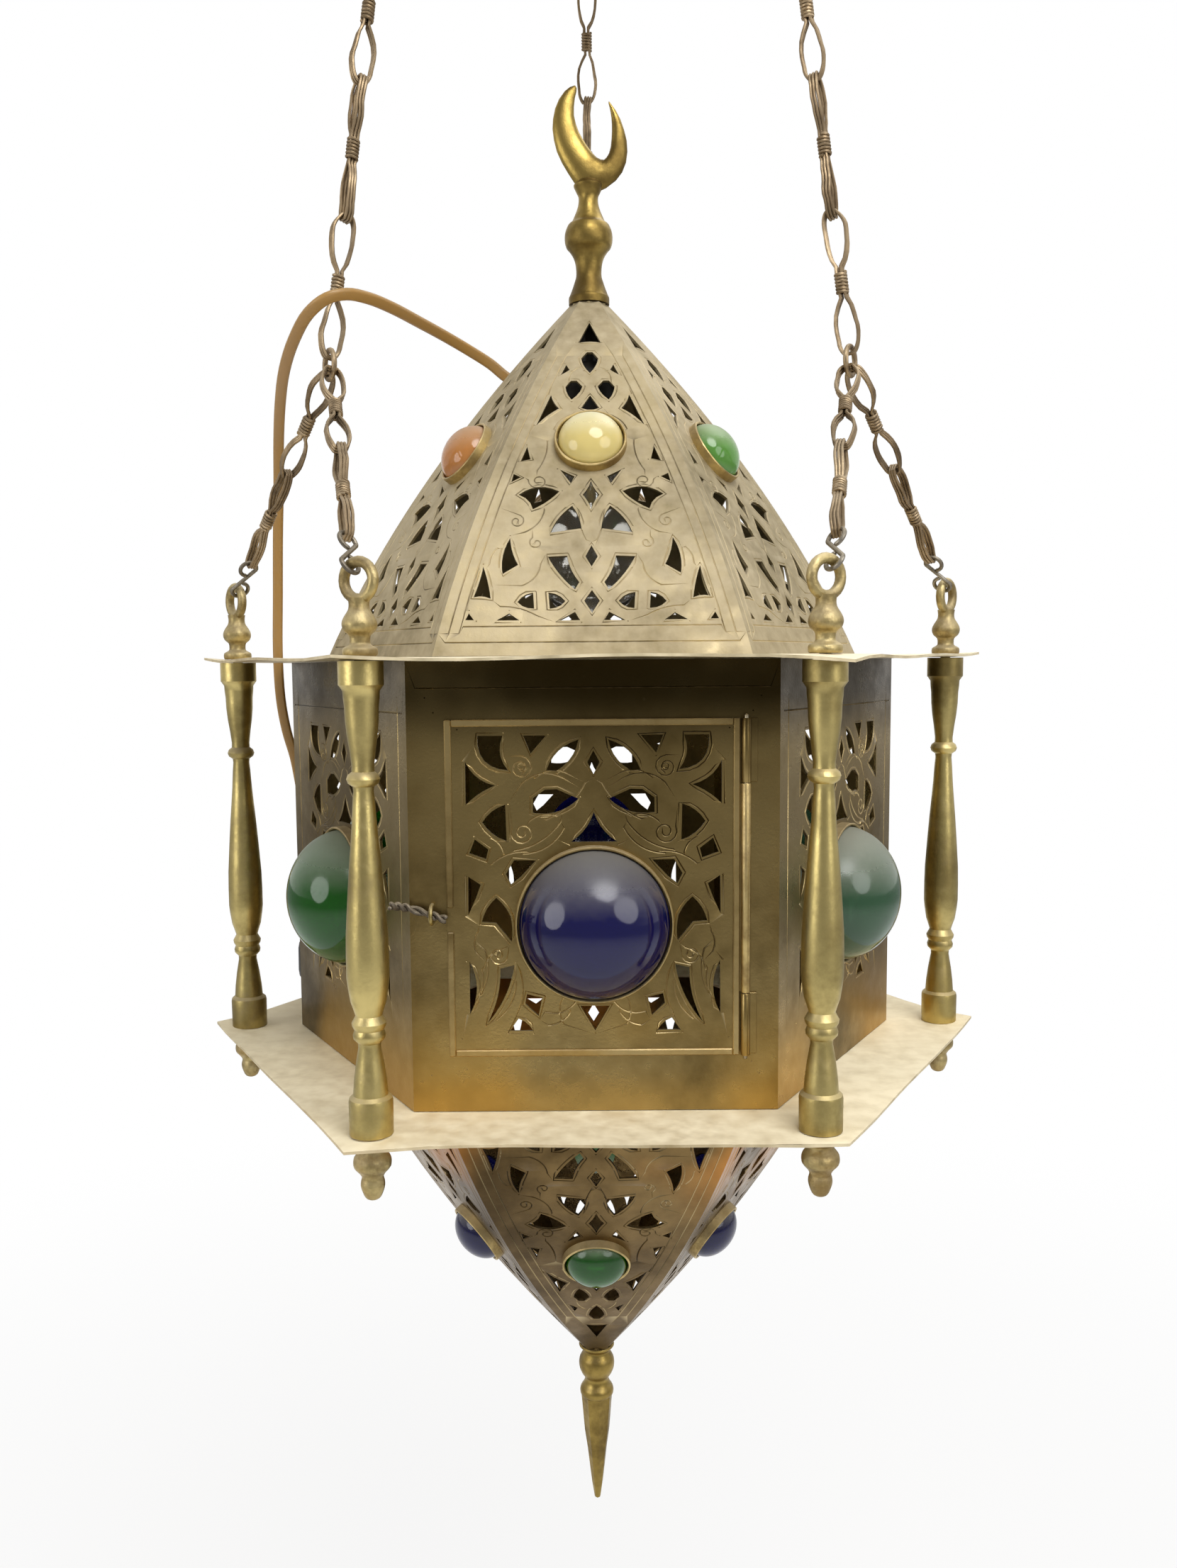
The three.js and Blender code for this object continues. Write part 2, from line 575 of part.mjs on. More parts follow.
function plateGeometry(top) {
  const shape = new THREE.Shape(hexagonOutline(PLATE_CORNER));
  shape.holes.push(new THREE.Path(hexagonOutline(PLATE_OPENING).reverse()));
  COLUMN_AZIMUTHS.forEach(([, azimuth]) => {
    const at = polar(azimuth, COLUMN_CIRCLE);
    shape.holes.push(hole(at.x, at.y, SHANK_RADIUS + SHANK_CLEARANCE, 6));
  });
  return extruded(shape, SHEET, top - SHEET);
}

const glassSides = (radius) => (radius > SMALL_GLASS_RADIUS ? 12 : 8);

const bezelGeometry = (radius, height) => {
  const inner = radius + SEAT;
  const outer = inner + BEZEL_WALL;
  const sides = glassSides(radius);
  const ring = new THREE.Shape(circlePath(0, 0, outer, sides).getPoints());
  ring.holes.push(circlePath(0, 0, inner, sides));
  return extruded(ring, height + SHEET / 2, -SHEET / 2);
};

// A dome of glass, flat behind; its bulge is cut into as many bands as its size deserves.
function glassGeometry(radius, bulge) {
  const bands = 2;
  const profile = Array.from({ length: bands }, (_, i) => [
    radius * Math.cos(Math.PI / 2 * i / bands), bulge * Math.sin(Math.PI / 2 * i / bands),
  ]);
  const sides = glassSides(radius);
  return turned([[0, 0], ...profile, [0, bulge]], sides, -Math.PI / 2 + Math.PI / sides);
}

const glassHole = (radius, rise) =>
  circlePath(0, rise, radius - GLASS_LEDGE, glassSides(radius)).getPoints().reverse();

const panelStretch = [WINDOW_HALF_WIDTH / PANEL_FIELD[0], WINDOW_HALF_HEIGHT / PANEL_FIELD[1]];
const largeGlassDrop = LARGE_GLASS_DROP * panelStretch[1];

// Openings of one panel, with the middle of its pierced field at height `rise`.
const panelOpenings = (rise, extraPairs = []) => [
  ...fretwork(PANEL_MIDDLES, [...PANEL_PAIRS, ...extraPairs], panelStretch, rise),
  glassHole(LARGE_GLASS_RADIUS, rise - largeGlassDrop),
];

// A six-sided sheet-metal shell. Its rings are [corner radius, height] pairs from the foot
// up; its openings are clockwise rings of [across, up the slope] points, each inside a band.
function piercedShell(rings, openingsOf) {
  const lean = Math.atan2((rings[0][0] - rings.at(-1)[0]) * FLAT, rings.at(-1)[1] - rings[0][1]);
  const wall = SHEET / Math.cos(lean);
  const triangles = [];
  FACE_AZIMUTHS.forEach(([name, azimuth]) => {
    const openings = openingsOf(name);
    let climbed = 0;
    for (let i = 0; i + 1 < rings.length; i += 1) {
      const [low, high] = [rings[i], rings[i + 1]];
      const length = Math.hypot((low[0] - high[0]) * FLAT, high[1] - low[1]);
      const onSheet = (across, up, depth, corner) => {
        const t = up / length;
        const radius = THREE.MathUtils.lerp(low[0], high[0], t);
        const narrowed = corner ? across * (1 - depth / FLAT / radius) : across;
        return new THREE.Vector3(narrowed, depth - radius * FLAT,
          THREE.MathUtils.lerp(low[1], high[1], t))
          .applyAxisAngle(Z_AXIS, THREE.MathUtils.degToRad(azimuth));
      };
      const contour = [
        new THREE.Vector2(-low[0] / 2, 0), new THREE.Vector2(low[0] / 2, 0),
        new THREE.Vector2(high[0] / 2, length), new THREE.Vector2(-high[0] / 2, length),
      ];
      const from = climbed;
      const holes = openings
        .filter((ring) => ring[0].y > from && ring[0].y < from + length)
        .map((ring) => ring.map((point) => new THREE.Vector2(point.x, point.y - from)));
      const flatPoints = [...contour, ...holes.flat()];
      const outer = flatPoints.map((point, k) => onSheet(point.x, point.y, 0, k < 4));
      const inner = flatPoints.map((point, k) => onSheet(point.x, point.y, wall, k < 4));
      THREE.ShapeUtils.triangulateShape(contour, holes).forEach((face) => {
        const area = THREE.ShapeUtils.area(face.map((k) => flatPoints[k]));
        const [a, b, c] = area > 0 ? face : face.toReversed();
        triangles.push(outer[a], outer[b], outer[c], inner[a], inner[c], inner[b]);
      });
      const edges = [];
      if (i === 0) edges.push([0, 1]);
      if (i + 2 === rings.length) edges.push([2, 3]);
      let first = contour.length;
      holes.forEach((ring) => {
        ring.forEach((_, k) => edges.push([first + k, first + (k + 1) % ring.length]));
        first += ring.length;
      });
      edges.forEach(([a, b]) => triangles.push(
        outer[b], outer[a], inner[a], outer[b], inner[a], inner[b]));
      climbed += length;
    }
  });
  return new THREE.BufferGeometry().setFromPoints(triangles);
}

function staplePiece() {
  const bend = arc(new THREE.Vector3(0, 0, STAPLE_LEG), STAPLE_ARCH_RADIUS, Z_AXIS, Y_AXIS, 90, -90, 6);
  const foot = new THREE.Vector3(0, STAPLE_ARCH_RADIUS, -SHEET / 2);
  return wire([foot, ...bend, foot.clone().setY(-STAPLE_ARCH_RADIUS)], X_AXIS,
    STAPLE_WIRE_RADIUS, 5);
}

function drumGeometry() {
  const foot = DRUM_MIDDLE - DRUM_HALF_HEIGHT;
  const doorway = rectangle(-DOORWAY_HALF_WIDTH, DOORWAY_HALF_WIDTH,
    DRUM_HALF_HEIGHT - DOORWAY_HALF_HEIGHT, DRUM_HALF_HEIGHT + DOORWAY_HALF_HEIGHT)
    .getPoints().reverse();
  const rings = [[DRUM_CORNER, foot], [DRUM_CORNER, DRUM_MIDDLE + DRUM_HALF_HEIGHT]];
  const shell = piercedShell(rings, (face) =>
    (face === 'front' ? [doorway] : panelOpenings(WINDOW_MIDDLE - foot)));
  const bezels = FACE_AZIMUTHS.filter(([face]) => face !== 'front').map(([, azimuth]) => onFace(
    bezelGeometry(LARGE_GLASS_RADIUS, LARGE_BEZEL_HEIGHT), azimuth, DRUM_FLAT,
    WINDOW_MIDDLE - largeGlassDrop));
  const knuckles = [1, -1].map((side) => onFace(drumKnuckle(side), 0, DRUM_FLAT, DRUM_MIDDLE));
  const staple = onFace(staplePiece(), 0, DRUM_FLAT, DRUM_MIDDLE - STAPLE_BELOW_MIDDLE)
    .translate(STAPLE_X, 0, 0);
  return joined(shell, ...bezels, ...knuckles, staple);
}

// Hinge. Knuckles are drawn in plan, with x to the right and y into the drum.

const HINGE_STANDOFF = SEAT + KNUCKLE_RADIUS;
const KNUCKLE_BORE = HINGE_PIN_RADIUS + HINGE_BORE_CLEARANCE;

function knuckleTube(length) {
  const ring = new THREE.Shape(circlePath(HINGE_X, -HINGE_STANDOFF, KNUCKLE_RADIUS, 10)
    .getPoints());
  return extruded(ring, length);
}

const knuckleBore = (length) => extruded(
  new THREE.Shape(hole(HINGE_X, -HINGE_STANDOFF, KNUCKLE_BORE, 8).getPoints()),
  length + 2, -1);

function drumKnuckle(side) {
  // A short tube with a leaf on its right, soldered to the drum.
  const leaf = extruded(rectangle(HINGE_X + 0.6, HINGE_X + HINGE_LEAF, -1, SHEET / 2),
    KNUCKLE_LENGTH);
  const tube = cut(joined(knuckleTube(KNUCKLE_LENGTH), leaf), knuckleBore(KNUCKLE_LENGTH));
  const low = side > 0 ? DOOR_HALF_HEIGHT - KNUCKLE_LENGTH : -DOOR_HALF_HEIGHT;
  return tube.translate(0, 0, low).rotateX(-Math.PI / 2);
}

function doorGeometry() {
  const middleLength = 2 * (DOOR_HALF_HEIGHT - KNUCKLE_LENGTH - SEAT);
  const tabEdge = HINGE_X - HINGE_PIN_RADIUS;
  const outline = new THREE.Shape([
    [DOOR_LEFT, -DOOR_HALF_HEIGHT], [DOOR_RIGHT, -DOOR_HALF_HEIGHT],
    [DOOR_RIGHT, -middleLength / 2], [tabEdge, -middleLength / 2],
    [tabEdge, middleLength / 2], [DOOR_RIGHT, middleLength / 2],
    [DOOR_RIGHT, DOOR_HALF_HEIGHT], [DOOR_LEFT, DOOR_HALF_HEIGHT],
  ].map(([x, y]) => new THREE.Vector2(x, y)));
  outline.holes = panelOpenings(WINDOW_RISE, DOOR_EXTRA_PAIRS)
    .map((ring) => new THREE.Path(ring));
  const bezel = bezelGeometry(LARGE_GLASS_RADIUS, LARGE_BEZEL_HEIGHT)
    .translate(0, WINDOW_RISE - largeGlassDrop, SEAT + SHEET);
  const knuckle = knuckleTube(middleLength).translate(0, 0, -middleLength / 2);
  const bore = knuckleBore(middleLength).translate(0, 0, -middleLength / 2);
  const door = joined(extruded(outline, SHEET, SEAT), bezel, knuckle.rotateX(-Math.PI / 2));
  return onFace(cut(door, bore.rotateX(-Math.PI / 2)), 0, DRUM_FLAT, DRUM_MIDDLE);
}

function hingePinGeometry() {
  const half = DOOR_HALF_HEIGHT + SEAT;
  return turned([
    [0, -half - 1.5], [KNUCKLE_RADIUS - 0.4, -half - 1.5], [KNUCKLE_RADIUS - 0.4, -half],
    [HINGE_PIN_RADIUS, -half], [HINGE_PIN_RADIUS, half], [KNUCKLE_RADIUS - 0.4, half],
    [KNUCKLE_RADIUS - 0.4, half + 1.5], [0, half + 1.5],
  ], 8).translate(HINGE_X, -DRUM_FLAT - HINGE_STANDOFF, DRUM_MIDDLE);
}

function latchGeometry() {
  // A doubled wire that slides through the staple, clear of the door's front. Its left end
  // bends forward as a finger pull.
  const along = new THREE.Vector3(Math.cos(LATCH_SLOPE), 0, -Math.sin(LATCH_SLOPE));
  const middle = new THREE.Vector3(STAPLE_X, -DRUM_FLAT - 2 * SEAT - SHEET - LATCH_RADIUS,
    DRUM_MIDDLE - STAPLE_BELOW_MIDDLE);
  const at = (reach, out) => middle.clone().addScaledVector(along, reach)
    .addScaledVector(Y_AXIS, -out);
  const points = [
    at(LATCH_RIGHT_REACH, 0), at(-LATCH_LEFT_REACH * 0.55, 0), at(-LATCH_LEFT_REACH * 0.8, 2),
    at(-LATCH_LEFT_REACH, 6),
  ];
  return wire(points, new THREE.Vector3().crossVectors(along, Y_AXIS), LATCH_RADIUS, 8);
}

// Pyramids

// A creased pyramid: its rings of [corner radius, height], the facets between them and the
// whole way up its slope.
function roofProfile(corner, tipCorner, bow, height) {
  const rings = ROOF_CREASES.map((t) => [
    corner + (tipCorner - corner) * t + 4 * bow * t * (1 - t),
    height * t,
  ]);
  const bands = rings.slice(1).map((high, i) => {
    const low = rings[i];
    const run = (low[0] - high[0]) * FLAT;
    return { lean: Math.atan2(run, high[1] - low[1]), length: Math.hypot(run, high[1] - low[1]) };
  });
  return { rings, bands, slope: bands.reduce((sum, band) => sum + band.length, 0) };
}

const roof = roofProfile(ROOF_CORNER, ROOF_TIP_CORNER, ROOF_BOW, ROOF_HEIGHT);
const drawnRoof = roofProfile(...FACE_PYRAMID);
const smallGlassRise = FACE_GLASS[1] * ROOF_HEIGHT / FACE_PYRAMID.at(-1);

// Moves a point drawn on the field to the same place of the same facet here.
function ontoRoof(point) {
  let up = point.y * drawnRoof.slope / FACE_FIELD[1];
  let climbed = 0;
  let i = 0;
  while (i + 1 < roof.bands.length && up > drawnRoof.bands[i].length) {
    up -= drawnRoof.bands[i].length;
    climbed += roof.bands[i].length;
    i += 1;
  }
  const t = up / drawnRoof.bands[i].length;
  const [here, there] = [roof, drawnRoof].map(({ rings }) =>
    THREE.MathUtils.lerp(rings[i][0], rings[i + 1][0], t));
  return new THREE.Vector2(point.x * here / there, climbed + t * roof.bands[i].length);
}

function smallGlassSeat() {
  // The facet that carries the glass: its lean, the flat radius there and the way up to it.
  const above = roof.rings.findIndex(([, height]) => height > smallGlassRise);
  const [low, high] = [roof.rings[above - 1], roof.rings[above]];
  const { lean } = roof.bands[above - 1];
  const below = roof.bands.slice(0, above - 1).reduce((sum, band) => sum + band.length, 0);
  const corner = THREE.MathUtils.mapLinear(smallGlassRise, low[1], high[1], low[0], high[0]);
  return { lean, flat: corner * FLAT, up: below + (smallGlassRise - low[1]) / Math.cos(lean) };
}

function pyramidGeometry(extraMiddles = [], extraPairs = []) {
  const { lean, flat, up } = smallGlassSeat();
  const openings = fretwork(
    [...FACE_MIDDLES, ...extraMiddles], [...FACE_PAIRS, ...extraPairs], [1, 1], 0,
  ).map((ring) => ring.map(ontoRoof));
  const shell = piercedShell(roof.rings, () =>
    [...openings, glassHole(SMALL_GLASS_RADIUS, up)]);
  const opening = around(FINIAL_SHANK_RADIUS + SHANK_CLEARANCE, 6);
  const tip = hexagonal([
    [opening, ROOF_HEIGHT - SHEET], [ROOF_TIP_CORNER - SHEET / 2, ROOF_HEIGHT - SHEET],
    [ROOF_TIP_CORNER - SHEET / 2, ROOF_HEIGHT], [opening, ROOF_HEIGHT],
    [opening, ROOF_HEIGHT - SHEET],
  ]);
  const bezels = FACE_AZIMUTHS.map(([, azimuth]) => onFace(
    bezelGeometry(SMALL_GLASS_RADIUS, SMALL_BEZEL_HEIGHT), azimuth, flat,
    smallGlassRise, lean));
  return joined(shell, tip, ...bezels);
}

// Chains

function linkGeometry(length) {
  // A figure of eight of parallel wires, bound at the waist; drawn along y.
  const half = length / 2;
  const end = half - CHAIN_WIRE;
  const quarter = [
    [BINDING_RADIUS, BINDING_LENGTH / 2], [LINK_HALF_WIDTH, half * 0.7], [3.4, half],
  ];
  const corner = (sx, sy) => ([x, y]) => new THREE.Vector2(sx * x, sy * y);
  const shape = new THREE.Shape([
    ...quarter.map(corner(1, 1)), ...quarter.map(corner(-1, 1)).reverse(),
    ...quarter.map(corner(-1, -1)), ...quarter.map(corner(1, -1)).reverse(),
  ]);
  const eye = [
    [0, BINDING_LENGTH / 2 + CHAIN_WIRE], [LINK_HALF_WIDTH - CHAIN_WIRE, half * 0.7],
    [2.6, end], [-2.6, end], [CHAIN_WIRE - LINK_HALF_WIDTH, half * 0.7],
  ];
  shape.holes = [1, -1].map((side) => new THREE.Path(eye.map(corner(1, side))));
  return extruded(shape, CHAIN_BUNDLE, -CHAIN_BUNDLE / 2);
}

function sHookGeometry() {
  // Drawn up the y axis in the xy plane, from the lower bend's middle at the origin.
  const steps = 5;
  const radius = around(HOOK_BEND_RADIUS, 360 / 210 * steps);
  const points = [
    ...arc(new THREE.Vector3(), radius, X_AXIS, Y_AXIS, 150, 360, steps),
    ...arc(new THREE.Vector3(0, HOOK_SPAN, 0), radius, X_AXIS, Y_AXIS, 180, -30, steps),
  ];
  return wire(points, Z_AXIS, HOOK_WIRE_RADIUS, 5);
}

// Lays a piece drawn up the y axis from one point towards another, its x axis near `side`.
function laidAlong(geometry, from, towards, side) {
  const y = towards.clone().sub(from).normalize();
  const z = new THREE.Vector3().crossVectors(side, y).normalize();
  const x = new THREE.Vector3().crossVectors(y, z);
  return geometry.applyMatrix4(new THREE.Matrix4().makeBasis(x, y, z))
    .translate(from.x, from.y, from.z);
}

// Links from `start` to `end`, both taken at the middle of an end wire. The last link's end
// wires run along `side`, and each link is turned a quarter from the one before.
function chainPieces(start, end, count, side) {
  const overlap = CHAIN_WIRE - LINK_FUSE;
  const reach = (start.distanceTo(end) + overlap * (count - 1)) / count;
  const direction = end.clone().sub(start).normalize();
  const turnedSide = new THREE.Vector3().crossVectors(direction, side).normalize();
  return Array.from({ length: count }, (_, i) => {
    const middle = start.clone().addScaledVector(direction, reach / 2 + i * (reach - overlap));
    const across = (count - 1 - i) % 2 === 0 ? side : turnedSide;
    return laidAlong(linkGeometry(reach + CHAIN_WIRE), middle, middle.clone().add(direction),
      across);
  });
}

// Where the first link's end wire sits in the far bend of an S-hook.
const hookReach = HOOK_SPAN + HOOK_BEND_RADIUS - HOOK_WIRE_RADIUS - CHAIN_WIRE / 2 + LINK_FUSE;

// The middle of the end wire on which a join ring hangs.
const joinPoint = (azimuth) => polar(azimuth, JOIN_RADIUS, JOIN_HEIGHT);

function joinRingMiddle(azimuth) {
  const inner = JOIN_RING_RADIUS - JOIN_WIRE_RADIUS - HANG;
  const reach = Math.sqrt(inner * inner - CHAIN_BUNDLE * CHAIN_BUNDLE / 4);
  return joinPoint(azimuth).addScaledVector(Z_AXIS, CHAIN_WIRE / 2 - reach);
}

function branchPieces(chainAzimuth, columnAzimuth, facing) {
  const ring = joinRingMiddle(chainAzimuth);
  const out = polar(chainAzimuth, 1);
  const ringNormal = polar(facing, 1);
  const eye = polar(columnAzimuth, COLUMN_CIRCLE, EYE_RING_HEIGHT);
  const inEye = ring.clone().sub(eye).projectOnPlane(ringNormal).normalize();
  const contact = eye.addScaledVector(inEye, EYE_RING_RADIUS);
  const inRing = contact.clone().sub(ring).projectOnPlane(out).normalize();
  const end = ring.clone().addScaledVector(inRing,
    JOIN_RING_RADIUS - JOIN_WIRE_RADIUS + LINK_FUSE - CHAIN_WIRE / 2);
  const direction = end.clone().sub(contact).normalize();
  const lower = contact.addScaledVector(direction,
    HOOK_BEND_RADIUS - EYE_WIRE_RADIUS - HOOK_WIRE_RADIUS - HANG);
  const start = lower.clone().addScaledVector(direction, hookReach);
  return [
    laidAlong(sHookGeometry(), lower, end, ringNormal),
    ...chainPieces(start, end, BRANCH_LINKS, out),
  ];
}

function branchPairGeometry(chainAzimuth, names) {
  const branches = names.flatMap((name) => {
    const [, columnAzimuth] = COLUMN_AZIMUTHS.find(([each]) => each === name);
    return branchPieces(chainAzimuth, columnAzimuth, EYE_FACINGS[name] ?? columnAzimuth);
  });
  const out = polar(chainAzimuth, 1);
  const across = new THREE.Vector3().crossVectors(Z_AXIS, out);
  const ring = arc(joinRingMiddle(chainAzimuth), JOIN_RING_RADIUS, across, Z_AXIS, 90, 414, 9);
  return joined(wire(ring, out, JOIN_WIRE_RADIUS, 5, true), ...branches);
}

function crownHookPoint(azimuth) {
  const half = CROWN_RIM / 2;
  const inner = HOOK_BEND_RADIUS - HOOK_WIRE_RADIUS - HANG;
  const drop = Math.sqrt(inner * inner - half * half);
  return polar(azimuth, CROWN_CORNER - half, CROWN_HEIGHT + CROWN_SHEET - drop);
}

function upperChainGeometry(azimuth) {
  const join = joinPoint(azimuth);
  const rim = crownHookPoint(azimuth);
  const down = join.clone().sub(rim).normalize();
  const out = polar(azimuth, 1);
  const hook = laidAlong(sHookGeometry(), rim, join, out);
  const start = rim.clone().addScaledVector(down, hookReach);
  return joined(hook, ...chainPieces(start, join, UPPER_LINKS, out));
}

// Crown, swing link and ceiling hook

function crownGeometry() {
  const shape = new THREE.Shape(hexagonOutline(CROWN_CORNER, 0));
  CHAINS.forEach(([, azimuth]) => {
    const at = polar(azimuth, CROWN_CORNER - CROWN_RIM - CROWN_HOLE_RADIUS);
    shape.holes.push(circlePath(at.x, at.y, CROWN_HOLE_RADIUS, 8));
  });
  const plate = extruded(shape, CROWN_SHEET, CROWN_HEIGHT);
  const base = CROWN_HEIGHT + CROWN_SHEET - 0.2;
  const ringMiddle = CROWN_EYE_TOP - EYE_RING_RADIUS;
  const stem = turned([
    [0, base], [9, base], [9, base + 3.5], [4.6, base + 5], [4.6, base + 7],
    [7, base + 9.5], [7, base + 11], [4.2, ringMiddle - EYE_RING_RADIUS],
    [0, ringMiddle - EYE_RING_RADIUS],
  ], 8);
  return joined(plate, stem, eyeRing(ringMiddle, 90));
}

function swingLinkGeometry() {
  // An oval ring of wire in the xz plane, hung between the two pivots.
  const low = new THREE.Vector3(0, 0, CROWN_PIVOT + SWING_LINK_BEND);
  const high = low.clone().addScaledVector(Z_AXIS, SWING_LINK_SPAN);
  const points = [
    ...arc(high, SWING_LINK_BEND, X_AXIS, Z_AXIS, 0, 180, 4),
    ...arc(low, SWING_LINK_BEND, X_AXIS, Z_AXIS, 180, 360, 4),
  ];
  return wire(points, Y_AXIS, LINK_WIRE_RADIUS, 6, true);
}

function ceilingHookGeometry() {
  const rose = turned([
    [0, CEILING], [ROSE_RADIUS, CEILING], [ROSE_RADIUS, CEILING - ROSE_THICKNESS],
    [12, CEILING - ROSE_THICKNESS - 4], [0, CEILING - ROSE_THICKNESS - 4],
  ], 14);
  const bend = new THREE.Vector3(0, 0, HOOK_PIVOT + CEILING_BEND_RADIUS);
  const points = [
    new THREE.Vector3(0, 0, CEILING - ROSE_THICKNESS - 1),
    new THREE.Vector3(0, 0, bend.z + CEILING_BEND_RADIUS + 6),
    ...arc(bend, CEILING_BEND_RADIUS, Y_AXIS, Z_AXIS, 60, -210, 9),
  ];
  return joined(rose, wire(points, X_AXIS, CEILING_WIRE_RADIUS, 7));
}

// Lamp

function lampholderGeometry() {
  const nippleTop = ROOF_BASE + ROOF_HEIGHT - SHEET - SEAT;
  const bore = around(FINIAL_SHANK_RADIUS + SHANK_CLEARANCE, 10);
  const foot = HOLDER_TOP - HOLDER_LENGTH;
  const socket = around(BULB_CAP_RADIUS + SEAT, 10);
  const ceiling = foot + BULB_CAP_LENGTH;
  const body = turned([
    [0, nippleTop - SHANK_REACH - 3], [bore, nippleTop - SHANK_REACH - 3], [bore, nippleTop],
    [NIPPLE_RADIUS, nippleTop], [NIPPLE_RADIUS, HOLDER_TOP],
    [NIPPLE_RADIUS + 4, HOLDER_TOP - 0.1 * HOLDER_SHOULDER],
    [HOLDER_RADIUS - 2, HOLDER_TOP - 0.6 * HOLDER_SHOULDER],
    [HOLDER_RADIUS, HOLDER_TOP - HOLDER_SHOULDER],
    [HOLDER_RADIUS, foot], [socket, foot], [socket, ceiling], [0, ceiling],
  ], 10);
  const [start, next] = CORD_ROUTE.slice(0, 2).map((point) => new THREE.Vector3(...point));
  const grip = laidAlong(turned([
    [0, SEAT], [CORD_WIDTH / 2 + 0.8, SEAT], [CORD_WIDTH / 2 + 2.4, GRIP_LENGTH], [0, GRIP_LENGTH],
  ], 8).rotateX(-Math.PI / 2), start, start.clone().multiplyScalar(2).sub(next), Z_AXIS);
  return joined(body, grip);
}

function bulbGeometry() {
  // A screw cap inside the socket, a neck, and a pear of glass below.
  const socketFoot = HOLDER_TOP - HOLDER_LENGTH;
  const foot = socketFoot - BULB_LENGTH;
  return turned([
    [0, socketFoot + BULB_CAP_LENGTH - SEAT], [BULB_CAP_RADIUS, socketFoot + BULB_CAP_LENGTH - SEAT],
    [BULB_CAP_RADIUS, socketFoot - 1], [BULB_CAP_RADIUS + 2, socketFoot - 7],
    ...BULB_PEAR.map(([wide, up]) => [BULB_RADIUS * wide, foot + BULB_RADIUS * up]),
  ], 10);
}

// Cord

function flatSection(sides) {
  // An oval as wide and as thick as the cord, measured over its corners.
  const ring = ellipse(1, 1, sides);
  const [wide, high] = [0, 1].map((k) => Math.max(...ring.map((corner) => corner[k])));
  return ring.map(([x, y]) => [x / wide * CORD_THICKNESS / 2, y / high * CORD_WIDTH / 2]);
}

function cordTubeGeometry() {
  // The section is rolled so that the cord's width stands upright where it leaves its grip.
  const steps = 40;
  const curve = new THREE.CatmullRomCurve3(
    CORD_ROUTE.map((point) => new THREE.Vector3(...point)), false, 'centripetal');
  const { normals, binormals } = curve.computeFrenetFrames(steps, false);
  const roll = Math.atan2(binormals[0].z, normals[0].z) - Math.PI / 2;
  const section = new THREE.Shape(flatSection(8).map(([x, y]) =>
    new THREE.Vector2(x, y).rotateAround(new THREE.Vector2(), roll)));
  return new THREE.ExtrudeGeometry(section, { steps, bevelEnabled: false, extrudePath: curve });
}

// The coil hangs behind the back-left face in a frame of its own: x along the face, y out
// of it and z up, with its middle at the origin. It winds in on one layer and out on the
// other, changing over in a third of a turn.
function coilPoint(turn) {
  const half = COIL_TURNS / 2;
  const inward = Math.min(turn, COIL_TURNS - turn);
  const radius = COIL_MEAN_RADIUS + COIL_TURN_PITCH * (half / 2 - inward);
  const climb = THREE.MathUtils.smoothstep(turn, half - 0.15, half + 0.15) - 0.5;
  const angle = Math.PI + turn * 2 * Math.PI;
  return new THREE.Vector3(radius * Math.cos(angle), climb * COIL_LAYER_PITCH,
    radius * Math.sin(angle));
}

function coilCentreline() {
  const turns = Array.from({ length: COIL_TURNS * COIL_STEPS + 1 }, (_, i) =>
    coilPoint(i / COIL_STEPS));
  const lead = turns[0].clone().addScaledVector(Z_AXIS, CORD_WIDTH);
  const tail = turns.at(-1).clone().addScaledVector(Z_AXIS, -COIL_TAIL);
  return [lead, ...turns, tail];
}

// Smallest clearance between two lengths of the coil that lie at least half a turn apart.
function coilClearance(line) {
  let least = Infinity;
  line.forEach((point, i) => {
    const out = point.clone().setY(0).normalize();
    const along = new THREE.Vector3().crossVectors(Y_AXIS, out);
    line.slice(i + COIL_STEPS / 2).forEach((other) => {
      const apart = other.clone().sub(point);
      const beside = Math.abs(apart.dot(out)) - CORD_THICKNESS;
      const above = Math.abs(apart.y) - CORD_WIDTH;
      const ahead = Math.abs(apart.dot(along)) - CORD_WIDTH;
      least = Math.min(least, Math.hypot(...[beside, above, ahead].map((gap) =>
        Math.max(gap, 0))));
    });
  });
  return least;
}

const coilGeometry = () =>
  bentBar(coilCentreline(), Y_AXIS, () => flatSection(6));

console.log(`cord_coil: least gap between turns ${coilClearance(coilCentreline()).toFixed(2)} mm`);

function plugGeometry() {
  const body = turned([
    [0, 0], [PLUG_SLEEVE_RADIUS, 0], [PLUG_SLEEVE_RADIUS + 1.2, -PLUG_SLEEVE_LENGTH],
    [PLUG_RADIUS - 0.5, -PLUG_SLEEVE_LENGTH - 6], [PLUG_RADIUS, 4 - PLUG_LENGTH],
    [PLUG_RADIUS - 1.5, -PLUG_LENGTH], [0, -PLUG_LENGTH],
  ], 10);
  const root = 0.5;
  const blades = [-1, 1].map((side) =>
    new THREE.BoxGeometry(BLADE_THICKNESS, BLADE_WIDTH, BLADE_LENGTH + root)
      .translate(side * BLADE_SPACING / 2, 0, -PLUG_LENGTH + (root - BLADE_LENGTH) / 2));
  return joined(body, ...blades);
}

// Assembly

const lantern = new THREE.Group();
lantern.position.z = -CEILING;
const group = new THREE.Group();
group.add(lantern);

function place(name, geometry, finish, parent = lantern) {
  const mesh = new THREE.Mesh(closed(geometry), finish);
  mesh.name = name;
  parent.add(mesh);
  return mesh;
}

